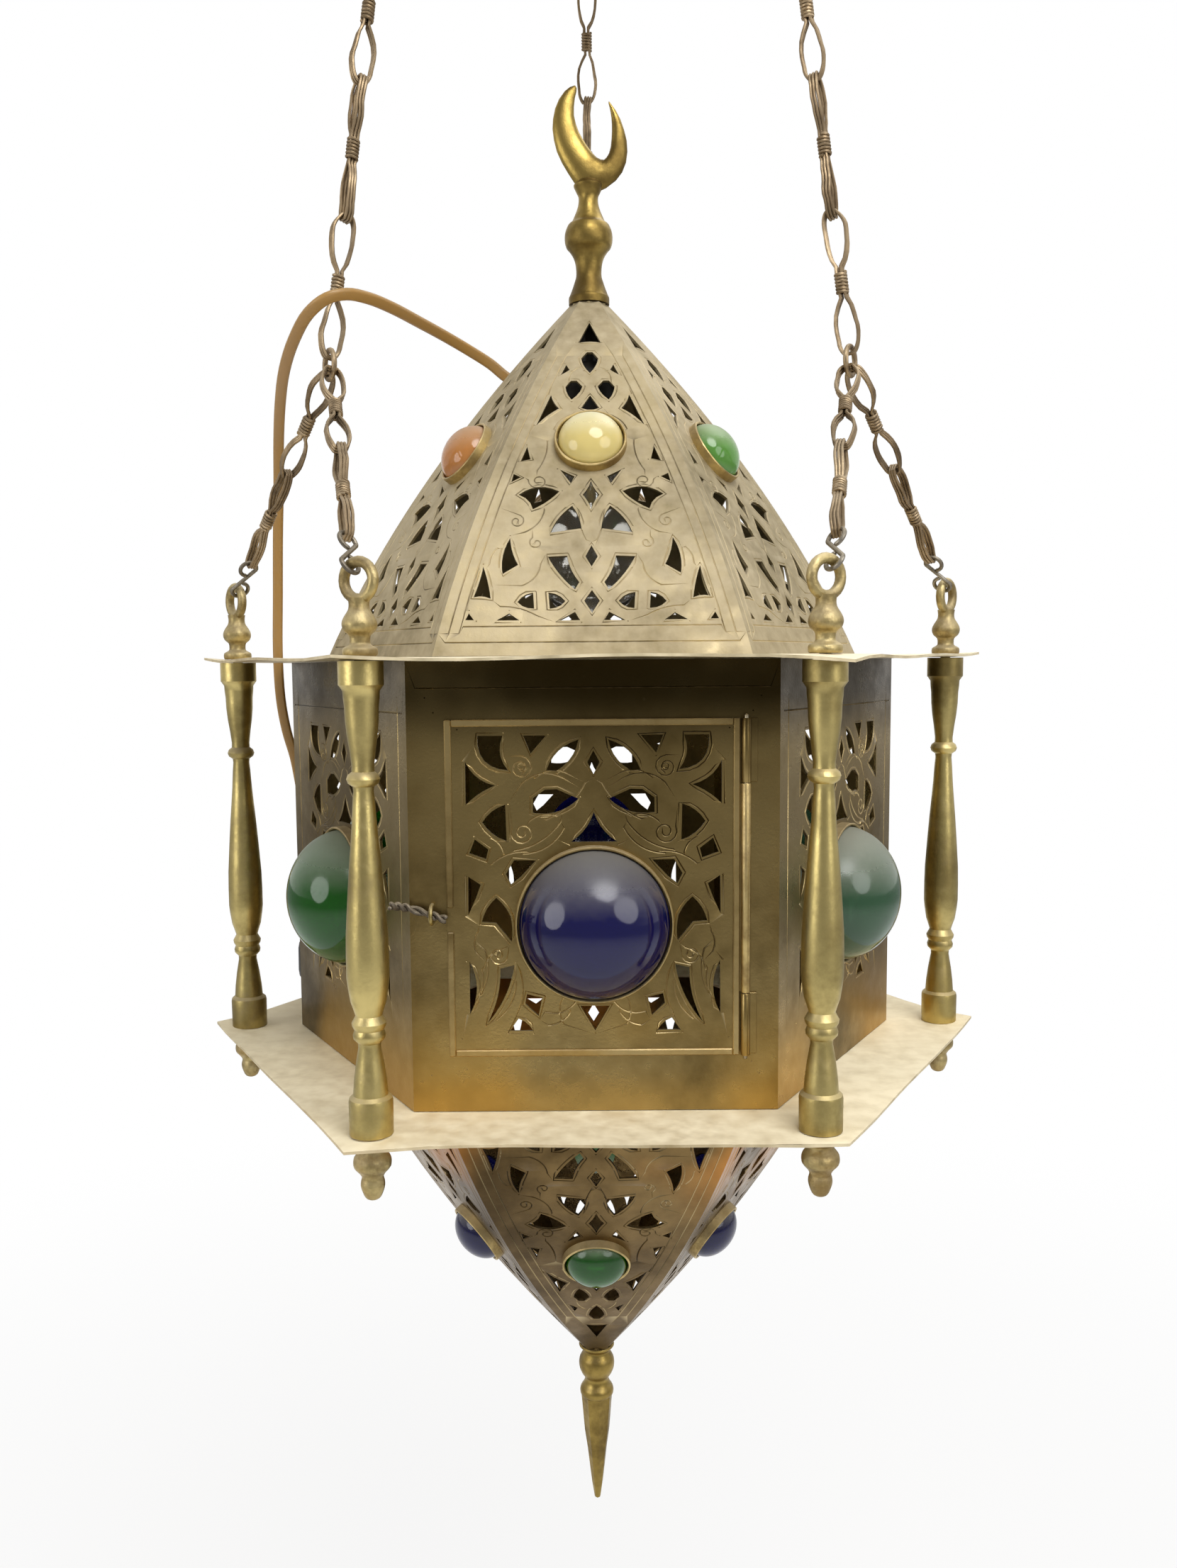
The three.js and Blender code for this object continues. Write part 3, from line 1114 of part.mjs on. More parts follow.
place('ceiling_hook', ceilingHookGeometry(), DARK_WIRE);
place('swing_link', swingLinkGeometry(), DARK_WIRE);
place('crown', crownGeometry(), CAST_BRASS);
CHAINS.forEach(([name, azimuth, columns]) => {
  place(`${name}_upper_chain`, upperChainGeometry(azimuth), CHAIN_BRONZE);
  place(`${name}_branch_chains`, branchPairGeometry(azimuth, columns), CHAIN_BRONZE);
});

place('top_plate', plateGeometry(0), DUSTY_SHEET);
place('bottom_plate', plateGeometry(BOTTOM_PLATE_TOP), DUSTY_SHEET);
COLUMN_AZIMUTHS.forEach(([name, azimuth]) => {
  const stand = polar(azimuth, COLUMN_CIRCLE);
  place(`column_${name}`, columnGeometry(), CAST_BRASS).position.copy(stand);
  place(`eye_${name}`, eyeGeometry(EYE_FACINGS[name] ?? azimuth), CAST_BRASS)
    .position.copy(stand);
  place(`drop_${name}`, dropGeometry(), CAST_BRASS).position.copy(stand);
});

place('drum', drumGeometry(), DRUM_BRASS);
place('door', doorGeometry(), DRUM_BRASS);
place('hinge_pin', hingePinGeometry(), STEEL);
place('latch_wire', latchGeometry(), DARK_WIRE);

place('upper_pyramid', pyramidGeometry(UPPER_EXTRA_MIDDLES, UPPER_EXTRA_PAIRS), BRASS_SHEET)
 .position.z = ROOF_BASE;
const lower = place('lower_pyramid', pyramidGeometry(), DRUM_BRASS);
lower.rotation.y = Math.PI;
lower.position.z = BOTTOM_PLATE_UNDERSIDE - SEAT;

place('crescent_finial', crescentFinialGeometry(), CAST_BRASS)
  .position.z = ROOF_BASE + ROOF_HEIGHT;
place('bottom_spike', spikeGeometry(), CAST_BRASS)
  .position.z = BOTTOM_PLATE_UNDERSIDE - SEAT - ROOF_HEIGHT;

const SMALL_SEAT = smallGlassSeat();
FACE_AZIMUTHS.forEach(([name, azimuth]) => {
  const standOff = name === 'front' ? 2 * SEAT + SHEET : SEAT;
  const large = onFace(glassGeometry(LARGE_GLASS_RADIUS, LARGE_GLASS_BULGE)
    .translate(0, 0, standOff), azimuth, DRUM_FLAT, WINDOW_MIDDLE - largeGlassDrop);
  place(name === 'front' ? 'door_glass' : `drum_glass_${name}`, large, LARGE_GLASS_FINISH[name]);

  const small = () => onFace(glassGeometry(SMALL_GLASS_RADIUS, SMALL_GLASS_BULGE)
    .translate(0, 0, SEAT), azimuth, SMALL_SEAT.flat, smallGlassRise, SMALL_SEAT.lean);
  place(`upper_glass_${name}`, small(), UPPER_GLASS_FINISH[name]).position.z = ROOF_BASE;
  const under = place(`lower_glass_${name}`, small().scale(1, 1, -1), LOWER_GLASS_FINISH[name]);
  under.position.z = BOTTOM_PLATE_UNDERSIDE - SEAT;
});

place('lampholder', lampholderGeometry(), BLACK_PLASTIC);
place('bulb', bulbGeometry(), CLEAR);
place('cord', cordTubeGeometry(), CORD_PLASTIC);
const coil = place('cord_coil', coilGeometry(), CORD_PLASTIC);
coil.position.set(...COIL_MIDDLE);
coil.rotation.z = THREE.MathUtils.degToRad(COIL_AZIMUTH + 180);
const plug = place('plug', plugGeometry(), BLACK_PLASTIC);
plug.position.copy(coilCentreline().at(-1)).addScaledVector(Z_AXIS, -SEAT)
  .applyEuler(coil.rotation).add(coil.position);
plug.rotation.z = coil.rotation.z;

export default group;
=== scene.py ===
"""Pierced brass hanging lantern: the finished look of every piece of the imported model.

The lantern hangs from its ceiling hook at the origin, with its door towards -Y. Sizes in the
classes are millimetres, measured from the top plate's upper face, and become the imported
model's metres when a piece is made.
"""

import json
import logging
import math
from collections.abc import Callable, Sequence
from dataclasses import dataclass, field
from enum import Enum

import bmesh
import bpy
from mathutils import Matrix, Vector
from mathutils.geometry import delaunay_2d_cdt

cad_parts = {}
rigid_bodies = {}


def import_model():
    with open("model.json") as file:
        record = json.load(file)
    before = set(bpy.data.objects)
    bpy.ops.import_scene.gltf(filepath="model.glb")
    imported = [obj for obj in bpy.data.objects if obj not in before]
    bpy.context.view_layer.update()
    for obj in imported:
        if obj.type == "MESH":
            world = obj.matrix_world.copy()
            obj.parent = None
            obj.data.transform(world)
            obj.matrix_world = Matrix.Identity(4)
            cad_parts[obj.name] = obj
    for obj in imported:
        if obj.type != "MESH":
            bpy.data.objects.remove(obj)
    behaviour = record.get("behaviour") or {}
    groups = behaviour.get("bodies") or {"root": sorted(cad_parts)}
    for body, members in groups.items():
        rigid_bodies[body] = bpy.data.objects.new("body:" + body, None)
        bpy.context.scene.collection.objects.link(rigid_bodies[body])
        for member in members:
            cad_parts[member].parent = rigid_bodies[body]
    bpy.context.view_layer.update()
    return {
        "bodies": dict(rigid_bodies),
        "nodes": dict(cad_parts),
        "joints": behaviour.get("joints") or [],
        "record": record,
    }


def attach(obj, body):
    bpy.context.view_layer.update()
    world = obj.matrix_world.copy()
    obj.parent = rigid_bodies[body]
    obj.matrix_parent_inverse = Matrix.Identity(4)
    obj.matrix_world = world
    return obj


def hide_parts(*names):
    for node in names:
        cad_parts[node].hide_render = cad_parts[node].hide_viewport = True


LOG = logging.getLogger("lantern")

Port = bpy.types.NodeSocket
Ports = bpy.types.bpy_prop_collection
Colour = tuple[float, float, float]
Flat = tuple[float, float]
Corner = tuple[float, ...]
Profile = Sequence[Flat]

MILLIMETRE = 0.001
CEILING = 514.05
SHEET = 1.2
SEAT = 0.3
HANG = 0.45
GROOVE = 0.35
FLAT_TO_CORNER = math.cos(math.pi / 6)
TAN_30 = math.tan(math.pi / 6)

DRUM_CORNER = 156.9
DRUM_FLAT = DRUM_CORNER * FLAT_TO_CORNER
GALLERY_HEIGHT = 194.1
DRUM_MIDDLE = -SHEET - GALLERY_HEIGHT / 2
PANEL_MIDDLE = DRUM_MIDDLE + 1.75
BOTTOM_PLATE_TOP = -SHEET - GALLERY_HEIGHT
BOTTOM_PLATE_UNDERSIDE = BOTTOM_PLATE_TOP - SHEET
COLUMN_CIRCLE = 185.0
LARGE_GLASS_MIDDLE = PANEL_MIDDLE - 16.5
SMALL_GLASS_RISE = 98.0

TINY = 1e-6
WELD = 2e-6
SLIVER = 1e-7
CROSSING = 1e-5
EDGE_GAP = 1e-3
ARC_PIECE = 3
BEND_STEP = 15
DOME_ANGLES = (math.pi / 6, math.pi / 3, math.pi * 0.47)

X = Vector((1, 0, 0))
Y = Vector((0, 1, 0))
Z = Vector((0, 0, 1))

LANTERN = "lantern"
DOOR = "door"
LATCH = "latch"


class Side(Enum):
    """The six faces of the lantern, with the way each one looks."""

    FRONT = ("front", 0)
    FRONT_RIGHT = ("front_right", 60)
    BACK_RIGHT = ("back_right", 120)
    BACK = ("back", 180)
    BACK_LEFT = ("back_left", -120)
    FRONT_LEFT = ("front_left", -60)

    def __init__(self, word: str, azimuth: float) -> None:
        self.word = word
        self.azimuth = azimuth


class Post(Enum):
    """The six columns: name, azimuth, and the way the ring above it faces."""

    FRONT_LEFT = ("front_left", -30, -30)
    FRONT_RIGHT = ("front_right", 30, 30)
    RIGHT = ("right", 90, 50)
    BACK_RIGHT = ("back_right", 150, 150)
    BACK_LEFT = ("back_left", -150, -150)
    LEFT = ("left", -90, -50)

    def __init__(self, word: str, azimuth: float, facing: float) -> None:
        self.word = word
        self.azimuth = azimuth
        self.facing = facing


class Chain(Enum):
    """The three chains, with the azimuth and the two columns that each one carries."""

    LEFT = ("left", -60, (Post.LEFT, Post.FRONT_LEFT))
    RIGHT = ("right", 60, (Post.FRONT_RIGHT, Post.RIGHT))
    BACK = ("back", 180, (Post.BACK_RIGHT, Post.BACK_LEFT))

    def __init__(self, word: str, azimuth: float, posts: tuple[Post, Post]) -> None:
        self.word = word
        self.azimuth = azimuth
        self.posts = posts


# Places and plain shapes


def polar(azimuth: float, radius: float, height: float = 0.0) -> Vector:
    """Finds a point round the lantern's axis.

    Args:
        azimuth: Degrees from the front, towards the right.
        radius: Distance from the axis.
        height: Height above the top plate.

    Returns:
        The point in lantern millimetres.
    """
    angle = math.radians(azimuth)
    return Vector((radius * math.sin(angle), -radius * math.cos(angle), height))


def facing(azimuth: float) -> Matrix:
    """Returns the turn that brings something made at the front round to that azimuth."""
    return Matrix.Rotation(math.radians(azimuth), 4, "Z")


def on_face(azimuth: float, flat: float, middle: float, lean: float = 0.0) -> Matrix:
    """Places something drawn about +Z on a face of the lantern.

    Args:
        azimuth: The face's azimuth.
        flat: Distance of the face from the axis.
        middle: Height of the place on the face.
        lean: How far the face leans back, in radians.

    Returns:
        The matrix that takes x across, y up and z outwards.
    """
    lay = Matrix.Rotation(math.pi / 2 - lean, 4, "X")
    return facing(azimuth) @ Matrix.Translation((0, -flat, middle)) @ lay


def in_basis(origin: Vector, along: Vector, side: Vector) -> Matrix:
    """Returns the matrix that lays y along a direction and z across it, away from side."""
    y_axis = along.normalized()
    z_axis = side.cross(y_axis).normalized()
    x_axis = y_axis.cross(z_axis)
    turn = Matrix((x_axis, y_axis, z_axis)).transposed().to_4x4()
    return Matrix.Translation(origin) @ turn


def to_frame(point: Vector) -> Vector:
    """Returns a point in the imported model's metres."""
    return (point - Vector((0, 0, CEILING))) * MILLIMETRE


@dataclass
class Form:
    """A closed shape that is still in lantern millimetres, with a mark at each point."""

    points: list[Vector] = field(default_factory=list)
    faces: list[tuple[int, ...]] = field(default_factory=list)
    marks: list[float] = field(default_factory=list)

    def join(self, other: "Form", matrix: Matrix | None = None) -> "Form":
        """Adds another form to this one.

        Args:
            other: The form to add.
            matrix: Where it goes, or None to leave it where it is.

        Returns:
            This form.
        """
        start = len(self.points)
        self.points += [matrix @ p if matrix else p.copy() for p in other.points]
        self.faces += [tuple(start + i for i in face) for face in other.faces]
        self.marks += other.marks or [0.0] * len(other.points)
        return self

    def at(self, matrix: Matrix) -> "Form":
        """Returns a copy of the form, moved by the matrix."""
        return Form().join(self, matrix)


def round_about(radius: float, angle: float, height: float = 0.0) -> Vector:
    """Returns a point at an angle about the Z axis."""
    return Vector((radius * math.cos(angle), radius * math.sin(angle), height))


def lathe(profile: Profile, sides: int = 40, turn: float = 0.0) -> Form:
    """Turns a profile about the Z axis.

    Args:
        profile: (radius, height) pairs, from one end to the other.
        sides: Facets round the axis.
        turn: Azimuth of the first facet's corner, in radians.

    Returns:
        The turned form, closed at both ends.
    """
    form = Form()
    rings = []
    for radius, height in profile:
        count = sides if radius > TINY else 1
        rings.append((len(form.points), count))
        angles = (turn + 2 * math.pi * i / sides for i in range(count))
        form.points += [round_about(radius, angle, height) for angle in angles]
    for (low, low_count), (high, high_count) in zip(rings, rings[1:]):
        if low_count == high_count == 1:
            continue
        for i in range(sides):
            j = (i + 1) % sides
            corners = (low + i % low_count, low + j % low_count,
                       high + j % high_count, high + i % high_count)
            form.faces.append(tuple(dict.fromkeys(corners)))
    for start, count in (rings[0], rings[-1]):
        if count > 1:
            form.faces.append(tuple(range(start, start + count)))
    return form


def ring_lathe(profile: Profile, sides: int) -> Form:
    """Turns a closed profile that stays off the axis into a ring."""
    form = Form()
    count = len(profile)
    for i in range(sides):
        angle = 2 * math.pi * i / sides
        form.points += [round_about(radius, angle, height) for radius, height in profile]
        low, high = i * count, (i + 1) % sides * count
        for k in range(count):
            j = (k + 1) % count
            form.faces.append((low + k, high + k, high + j, low + j))
    return form


def smooth_profile(profile: Profile, steps: int = 3) -> list[Flat]:
    """Rounds a measured profile with a curve through its points, with steps between two."""
    points = [Vector((x, y, 0)) for x, y in profile]
    return [(max(p.x, 0.0), p.y) for p in curve_through(points, steps)]


def curve_through(points: Sequence[Vector], steps: int) -> list[Vector]:
    """Runs a centripetal Catmull-Rom curve through points.

    Args:
        points: The points to pass through.
        steps: Pieces between two points.

    Returns:
        The points of the curve, both ends included.
    """
    ends = [2 * points[0] - points[1], *points, 2 * points[-1] - points[-2]]
    found = []
    for p0, p1, p2, p3 in zip(ends, ends[1:], ends[2:], ends[3:]):
        t1 = max((p1 - p0).length, TINY) ** 0.5
        t2 = t1 + max((p2 - p1).length, TINY) ** 0.5
        t3 = t2 + max((p3 - p2).length, TINY) ** 0.5
        for k in range(steps):
            t = t1 + (t2 - t1) * k / steps
            a1 = p0 * (t1 - t) / t1 + p1 * t / t1
            a2 = p1 * (t2 - t) / (t2 - t1) + p2 * (t - t1) / (t2 - t1)
            a3 = p2 * (t3 - t) / (t3 - t2) + p3 * (t - t2) / (t3 - t2)
            b1 = a1 * (t2 - t) / t2 + a2 * t / t2
            b2 = a2 * (t3 - t) / (t3 - t1) + a3 * (t - t1) / (t3 - t1)
            found.append(b1 * (t2 - t) / (t2 - t1) + b2 * (t - t1) / (t2 - t1))
    return [*found, points[-1].copy()]


def rail(points: Sequence[Vector], hint: Vector, ring: bool) -> list[Matrix]:
    """Carries a frame along a line without twisting it.

    Args:
        points: The line.
        hint: Rough direction of the section's y axis at the start.
        ring: Whether the line closes on itself.

    Returns:
        One matrix for each point, with z along the line.
    """
    count = len(points)
    frames = []
    up = hint.normalized()
    for i, point in enumerate(points):
        before = points[i - 1] if i or ring else point
        after = points[(i + 1) % count] if i + 1 < count or ring else point
        along = (after - before).normalized()
        up = (up - along * up.dot(along)).normalized()
        turn = Matrix((up.cross(along), up, along)).transposed().to_4x4()
        frames.append(Matrix.Translation(point) @ turn)
    return frames


def circle(radius: float, sides: int) -> list[Flat]:
    """Returns the corners of a round section."""
    angles = [2 * math.pi * i / sides for i in range(sides)]
    return [(radius * math.cos(a), radius * math.sin(a)) for a in angles]


def skin(loops: Sequence[Sequence[Vector]], ring: bool = False) -> Form:
    """Covers a row of loops with faces.

    Args:
        loops: Loops with the same number of points.
        ring: Whether the last loop joins the first; if not, both ends are closed.

    Returns:
        The closed form.
    """
    sides = len(loops[0])
    form = Form([p for loop in loops for p in loop])
    for i in range(len(loops) if ring else len(loops) - 1):
        low, high = i * sides, (i + 1) % len(loops) * sides
        for k in range(sides):
            j = (k + 1) % sides
            form.faces.append((low + k, low + j, high + j, high + k))
    if not ring:
        form.faces.append(tuple(range(sides)))
        form.faces.append(tuple(range((len(loops) - 1) * sides, len(loops) * sides)))
    return form


def swept(
    points: Sequence[Vector], section: Callable[[float], Sequence[Flat]], hint: Vector,
    ring: bool = False, dome: float = 0.0,
) -> Form:
    """Sweeps a section along a line.

    Args:
        points: The line.
        section: Gives the section at a share of the way, from 0 to 1.
        hint: Rough direction of the section's y axis at the start.
        ring: Whether the line closes on itself.
        dome: How far each end is rounded beyond the line.

    Returns:
        The swept form, closed.
    """
    frames = rail(points, hint, ring)
    last = len(points) - 1
    loops = [
        [frame @ Vector((x, y, 0)) for x, y in section(i / last)]
        for i, frame in enumerate(frames)
    ]
    if dome and not ring:
        for end, sign in ((0, -1), (-1, 1)):
            rounded = []
            for angle in DOME_ANGLES:
                shrink, out = math.cos(angle), sign * dome * math.sin(angle)
                corners = section(0.0 if end == 0 else 1.0)
                rounded.append(
                    [frames[end] @ Vector((x * shrink, y * shrink, out)) for x, y in corners]
                )
            loops = rounded[::-1] + loops if end == 0 else loops + rounded
    return skin(loops, ring)


def wire(points: Sequence[Vector], radius: float, hint: Vector) -> Form:
    """Returns round wire along a line, with rounded ends."""
    return swept(points, lambda _: circle(radius, 10), hint, False, radius)


def bend(
    middle: Vector, radius: float, x: Vector, y: Vector, start: float, end: float
) -> list[Vector]:
    """Returns the points of an arc about a middle, from start to end in degrees."""
    steps = max(int(abs(end - start) / BEND_STEP), 4)
    angles = [math.radians(start + (end - start) * i / steps) for i in range(steps + 1)]
    return [middle + radius * (x * math.cos(a) + y * math.sin(a)) for a in angles]


def slab(low: Sequence[float], high: Sequence[float], ease: float = 0.25) -> Form:
    """Returns a rectangular plate between two corners, with its edges eased."""
    box = bmesh.new()
    bmesh.ops.create_cube(box, size=1.0)
    for vertex in box.verts:
        for k in range(3):
            vertex.co[k] = low[k] if vertex.co[k] < 0 else high[k]
    bmesh.ops.bevel(box, geom=list(box.edges), offset=ease, segments=1, affect="EDGES")
    box.verts.index_update()
    form = Form([v.co.copy() for v in box.verts])
    form.faces = [tuple(v.index for v in face.verts) for face in box.faces]
    box.free()
    return form


# Node trees


Given = dict[str | int, object]


@dataclass
class Wiring:
    """Lays out the nodes of one shader or geometry tree."""

    tree: bpy.types.NodeTree

    def feed(self, node: bpy.types.Node, values: Given) -> bpy.types.Node:
        """Fills a node's sockets.

        Args:
            node: The node.
            values: What goes into each socket: a constant or another node's output.

        Returns:
            The node.
        """
        for key, value in values.items():
            socket = node.inputs[key]
            if isinstance(value, Port):
                self.tree.links.new(value, socket)
            elif isinstance(value, tuple) and socket.type == "RGBA":
                socket.default_value = (*value, 1.0)[:4]
            else:
                socket.default_value = value
        return node

    def node(self, kind: str, values: Given | None = None, **settings: object) -> bpy.types.Node:
        """Adds a node.

        Args:
            kind: The node's type.
            values: What goes into its sockets.
            settings: The node's own settings.

        Returns:
            The node.
        """
        made = self.tree.nodes.new(kind)
        for name, value in settings.items():
            setattr(made, name, value)
        return self.feed(made, values or {})

    def math(self, operation: str, *values: object) -> Port:
        """Returns the result of a Math node on sockets or numbers."""
        found = self.node("ShaderNodeMath", dict(enumerate(values)), operation=operation)
        return found.outputs[0]

    def times(self, first: object, second: object) -> Port:
        """Returns a product."""
        return self.math("MULTIPLY", first, second)

    def plus(self, first: object, second: object) -> Port:
        """Returns a sum."""
        return self.math("ADD", first, second)

    def less(self, first: object, second: object) -> Port:
        """Returns a difference."""
        return self.math("SUBTRACT", first, second)

    def vector(self, operation: str, values: Given) -> Port:
        """Returns the result of a Vector Math node; only a distance is a plain number."""
        found = self.node("ShaderNodeVectorMath", values, operation=operation)
        return found.outputs["Value" if operation == "DISTANCE" else "Vector"]

    def span(
        self, value: object, low: float, high: float, start: object = 0.0, end: object = 1.0
    ) -> Port:
        """Returns a value eased from low..high to start..end."""
        values = {0: value, 1: low, 2: high, 3: start, 4: end}
        found = self.node("ShaderNodeMapRange", values, interpolation_type="SMOOTHSTEP")
        return found.outputs[0]

    def blend(self, share: object, first: object, second: object) -> Port:
        """Returns two colours blended by a share."""
        return self.node(
            "ShaderNodeMix", {0: share, 6: first, 7: second}, data_type="RGBA"
        ).outputs[2]

    def noise(
        self, vector: object, scale: object, detail: float = 3.0, rough: float = 0.55
    ) -> Port:
        """Returns a cloudy value between 0 and 1."""
        return self.node(
            "ShaderNodeTexNoise",
            {"Vector": vector, "Scale": scale, "Detail": detail, "Roughness": rough},
        ).outputs[0]


Drawn = dict[str, Port]
COLOURS = ("Color", "Bright", "Dark", "Warm")
VECTORS = ("Vector", "Normal")


@dataclass
class EffectGroup:
    """A shader group that several finishes share, built once.

    Its first input is the place; the kind of each socket goes by its name.
    """

    name: str
    takes: tuple[str, ...]
    gives: tuple[str, ...]
    draw: Callable[[Wiring, Ports], Drawn]

    def tree(self) -> bpy.types.NodeTree:
        """Returns the group's tree, made the first time it is asked for."""
        found = bpy.data.node_groups.get(self.name)
        if found:
            return found
        tree = bpy.data.node_groups.new(self.name, "ShaderNodeTree")
        for way, names in (("INPUT", ("Vector", *self.takes)), ("OUTPUT", self.gives)):
            for name in names:
                kind = "Color" if name in COLOURS else "Vector" if name in VECTORS else "Float"
                tree.interface.new_socket(name, in_out=way, socket_type=f"NodeSocket{kind}")
        w = Wiring(tree)
        w.node("NodeGroupOutput", self.draw(w, w.node("NodeGroupInput").outputs))
        return tree

    def place(self, w: Wiring, values: Given) -> Ports:
        """Puts the group into a material.

        Args:
            w: The material's tree.
            values: The group's inputs, by name.

        Returns:
            The group's outputs.
        """
        return w.feed(w.node("ShaderNodeGroup", node_tree=self.tree()), values).outputs


SCRIBE_DARK = (0.03, 0.02, 0.008)
# A painted highlight, as if the scribed lines caught the light.
SCRIBE_HIGHLIGHT = (0.62, 0.5, 0.28)
SCRIBE_STRENGTH = 0.8
# Painted shade under the overhanging top plate, growing between these two heights in metres.
PAINTED_SHADE_COLOUR = (0.02, 0.013, 0.004)
PAINTED_SHADE_FOOT = -0.56
PAINTED_SHADE_HEAD = -0.528
# Painted warm reflection of the bottom plate, in patches, around this height in metres.
REFLECTION_HEIGHT = -0.722
REFLECTION_CORE = 0.02
REFLECTION_REACH = 0.075
# Shifts the noise that places the painted warm reflection and the painted scribe highlight.
PAINTED_LIGHT_SHIFT = (0.37, 0.11, 0.73)


def draw_tarnish_and_painted_light(w: Wiring, take: Ports) -> Drawn:
    """Draws old brass: bright metal and brown patches, a painted warm reflection near the bottom plate,
    painted shade under the top plate, and scribed lines, dark in places and with a painted highlight in
    others.

    Args:
        w: The group's tree.
        take: Its inputs.

    Returns:
        The metal's colour, and a mask of how rough it is.
    """
    spot, scale = take["Vector"], take["Patch Scale"]
    broad = w.noise(spot, scale, 4.0, 0.6)
    fine = w.noise(spot, w.times(scale, 9.0), 3.0, 0.6)
    # This noise places the painted warm reflection and picks which scribed lines take the painted
    # highlight.
    painted_reflection = w.noise(w.vector("ADD", {0: spot, 1: PAINTED_LIGHT_SHIFT}), w.times(scale, 0.7), 2.0)
    brown = w.span(w.plus(broad, w.times(fine, 0.25)), 0.42, 0.85)
    metal = w.blend(brown, take["Bright"], take["Dark"])
    # Painted warm reflection in patches, strongest at the height of the bottom plate.
    height = w.node("ShaderNodeSeparateXYZ", {0: spot}).outputs[2]
    away = w.math("ABSOLUTE", w.less(height, REFLECTION_HEIGHT))
    near = w.span(away, REFLECTION_CORE, REFLECTION_REACH, 1.0, 0.0)
    warm = w.times(w.span(painted_reflection, 0.46, 0.58), w.times(near, take["Painted Reflection"]))
    metal = w.blend(warm, metal, take["Warm"])
    # Scribed lines are dark in some places and carry a painted highlight in others.
    line = w.blend(w.span(painted_reflection, 0.4, 0.5), SCRIBE_DARK, SCRIBE_HIGHLIGHT)
    metal = w.blend(w.times(take["Scribe"], SCRIBE_STRENGTH), metal, line)
    # Painted shade under the top plate: darker towards the top of the drum, a little uneven.
    painted_shade_mask = w.times(w.span(height, PAINTED_SHADE_FOOT, PAINTED_SHADE_HEAD), w.span(broad, 0.2, 0.5, 0.7, 1.0))
    metal = w.blend(w.times(painted_shade_mask, take["Painted Shade"]), metal, PAINTED_SHADE_COLOUR)
    return {"Color": metal, "Mask": w.plus(w.times(brown, 0.5), w.times(fine, 0.5))}


def draw_dust(w: Wiring, take: Ports) -> Drawn:
    """Draws dust that lies thickest on what faces up, broken by wiped and grainy places.

    Args:
        w: The group's tree.
        take: Its inputs.

    Returns:
        The mask of the dust.
    """
    normal = w.node("ShaderNodeNewGeometry").outputs["Normal"]
    up = w.node("ShaderNodeSeparateXYZ", {0: normal}).outputs[2]
    cloud = w.noise(take["Vector"], take["Scale"], 5.0, 0.65)
    grain = w.noise(take["Vector"], w.times(take["Scale"], 22.0), 2.0)
    broken = w.times(w.plus(w.less(cloud, 0.5), w.less(grain, 0.5)), take["Broken"])
    total = w.plus(w.plus(w.times(up, take["Upward"]), broken), take["Amount"])
    return {"Mask": w.node("ShaderNodeClamp", {0: total}).outputs[0]}


def draw_surface(w: Wiring, take: Ports) -> Drawn:
    """Draws the bumps of hand-worked metal: soft dents, pits and fine grain.

    Args:
        w: The group's tree.
        take: Its inputs.

    Returns:
        The bumped normal.
    """
    dents = w.noise(take["Vector"], take["Dent Scale"], 2.0, 0.4)
    grain = w.noise(take["Vector"], take["Grain Scale"], 3.0, 0.7)
    soft = {"Strength": take["Dents"], "Distance": 0.002, "Height": dents}
    fine = {"Strength": take["Grain"], "Distance": 0.0003, "Height": grain}
    fine["Normal"] = w.node("ShaderNodeBump", soft).outputs[0]
    return {"Normal": w.node("ShaderNodeBump", fine).outputs[0]}


TARNISH_AND_PAINTED_LIGHT = EffectGroup(
    "tarnish and painted light", ("Bright", "Dark", "Warm", "Patch Scale", "Painted Reflection", "Scribe", "Painted Shade"),
    ("Color", "Mask"), draw_tarnish_and_painted_light,
)
DUST = EffectGroup("settled dust", ("Scale", "Amount", "Upward", "Broken"), ("Mask",), draw_dust)
WORKED = EffectGroup(
    "worked surface", ("Dent Scale", "Dents", "Grain Scale", "Grain"), ("Normal",), draw_surface
)


# Finishes


@dataclass(frozen=True)
class Finish:
    """What a surface is like."""

    name: str
    slot: str

    def material(self) -> bpy.types.Material:
        """Returns the finish's material, made the first time it is asked for."""
        found = bpy.data.materials.get(self.name)
        if found:
            return found
        material = bpy.data.materials.new(self.name)
        material.use_nodes = True
        w = Wiring(material.node_tree)
        spot = w.node("ShaderNodeTexCoord").outputs["Object"]
        w.feed(material.node_tree.nodes["Principled BSDF"], self.shading(w, spot))
        return material

    def shading(self, w: Wiring, spot: Port) -> Given:
        """Draws the finish.

        Args:
            w: The material's tree.
            spot: The place on the object.

        Returns:
            What goes into the sockets of the Principled shader.
        """
        raise NotImplementedError

    def dusted(self, w: Wiring, spot: Port, *sizes: float) -> Port:
        """Returns the mask of the dust, from its scale, amount, upward share and brokenness."""
        return DUST.place(w, {"Vector": spot, **dict(zip(DUST.takes, sizes))})["Mask"]

    def worked(self, w: Wiring, spot: Port, *sizes: float) -> Port:
        """Returns the bumped normal, from the scale and depth of the dents and the grain."""
        return WORKED.place(w, {"Vector": spot, **dict(zip(WORKED.takes, sizes))})["Normal"]


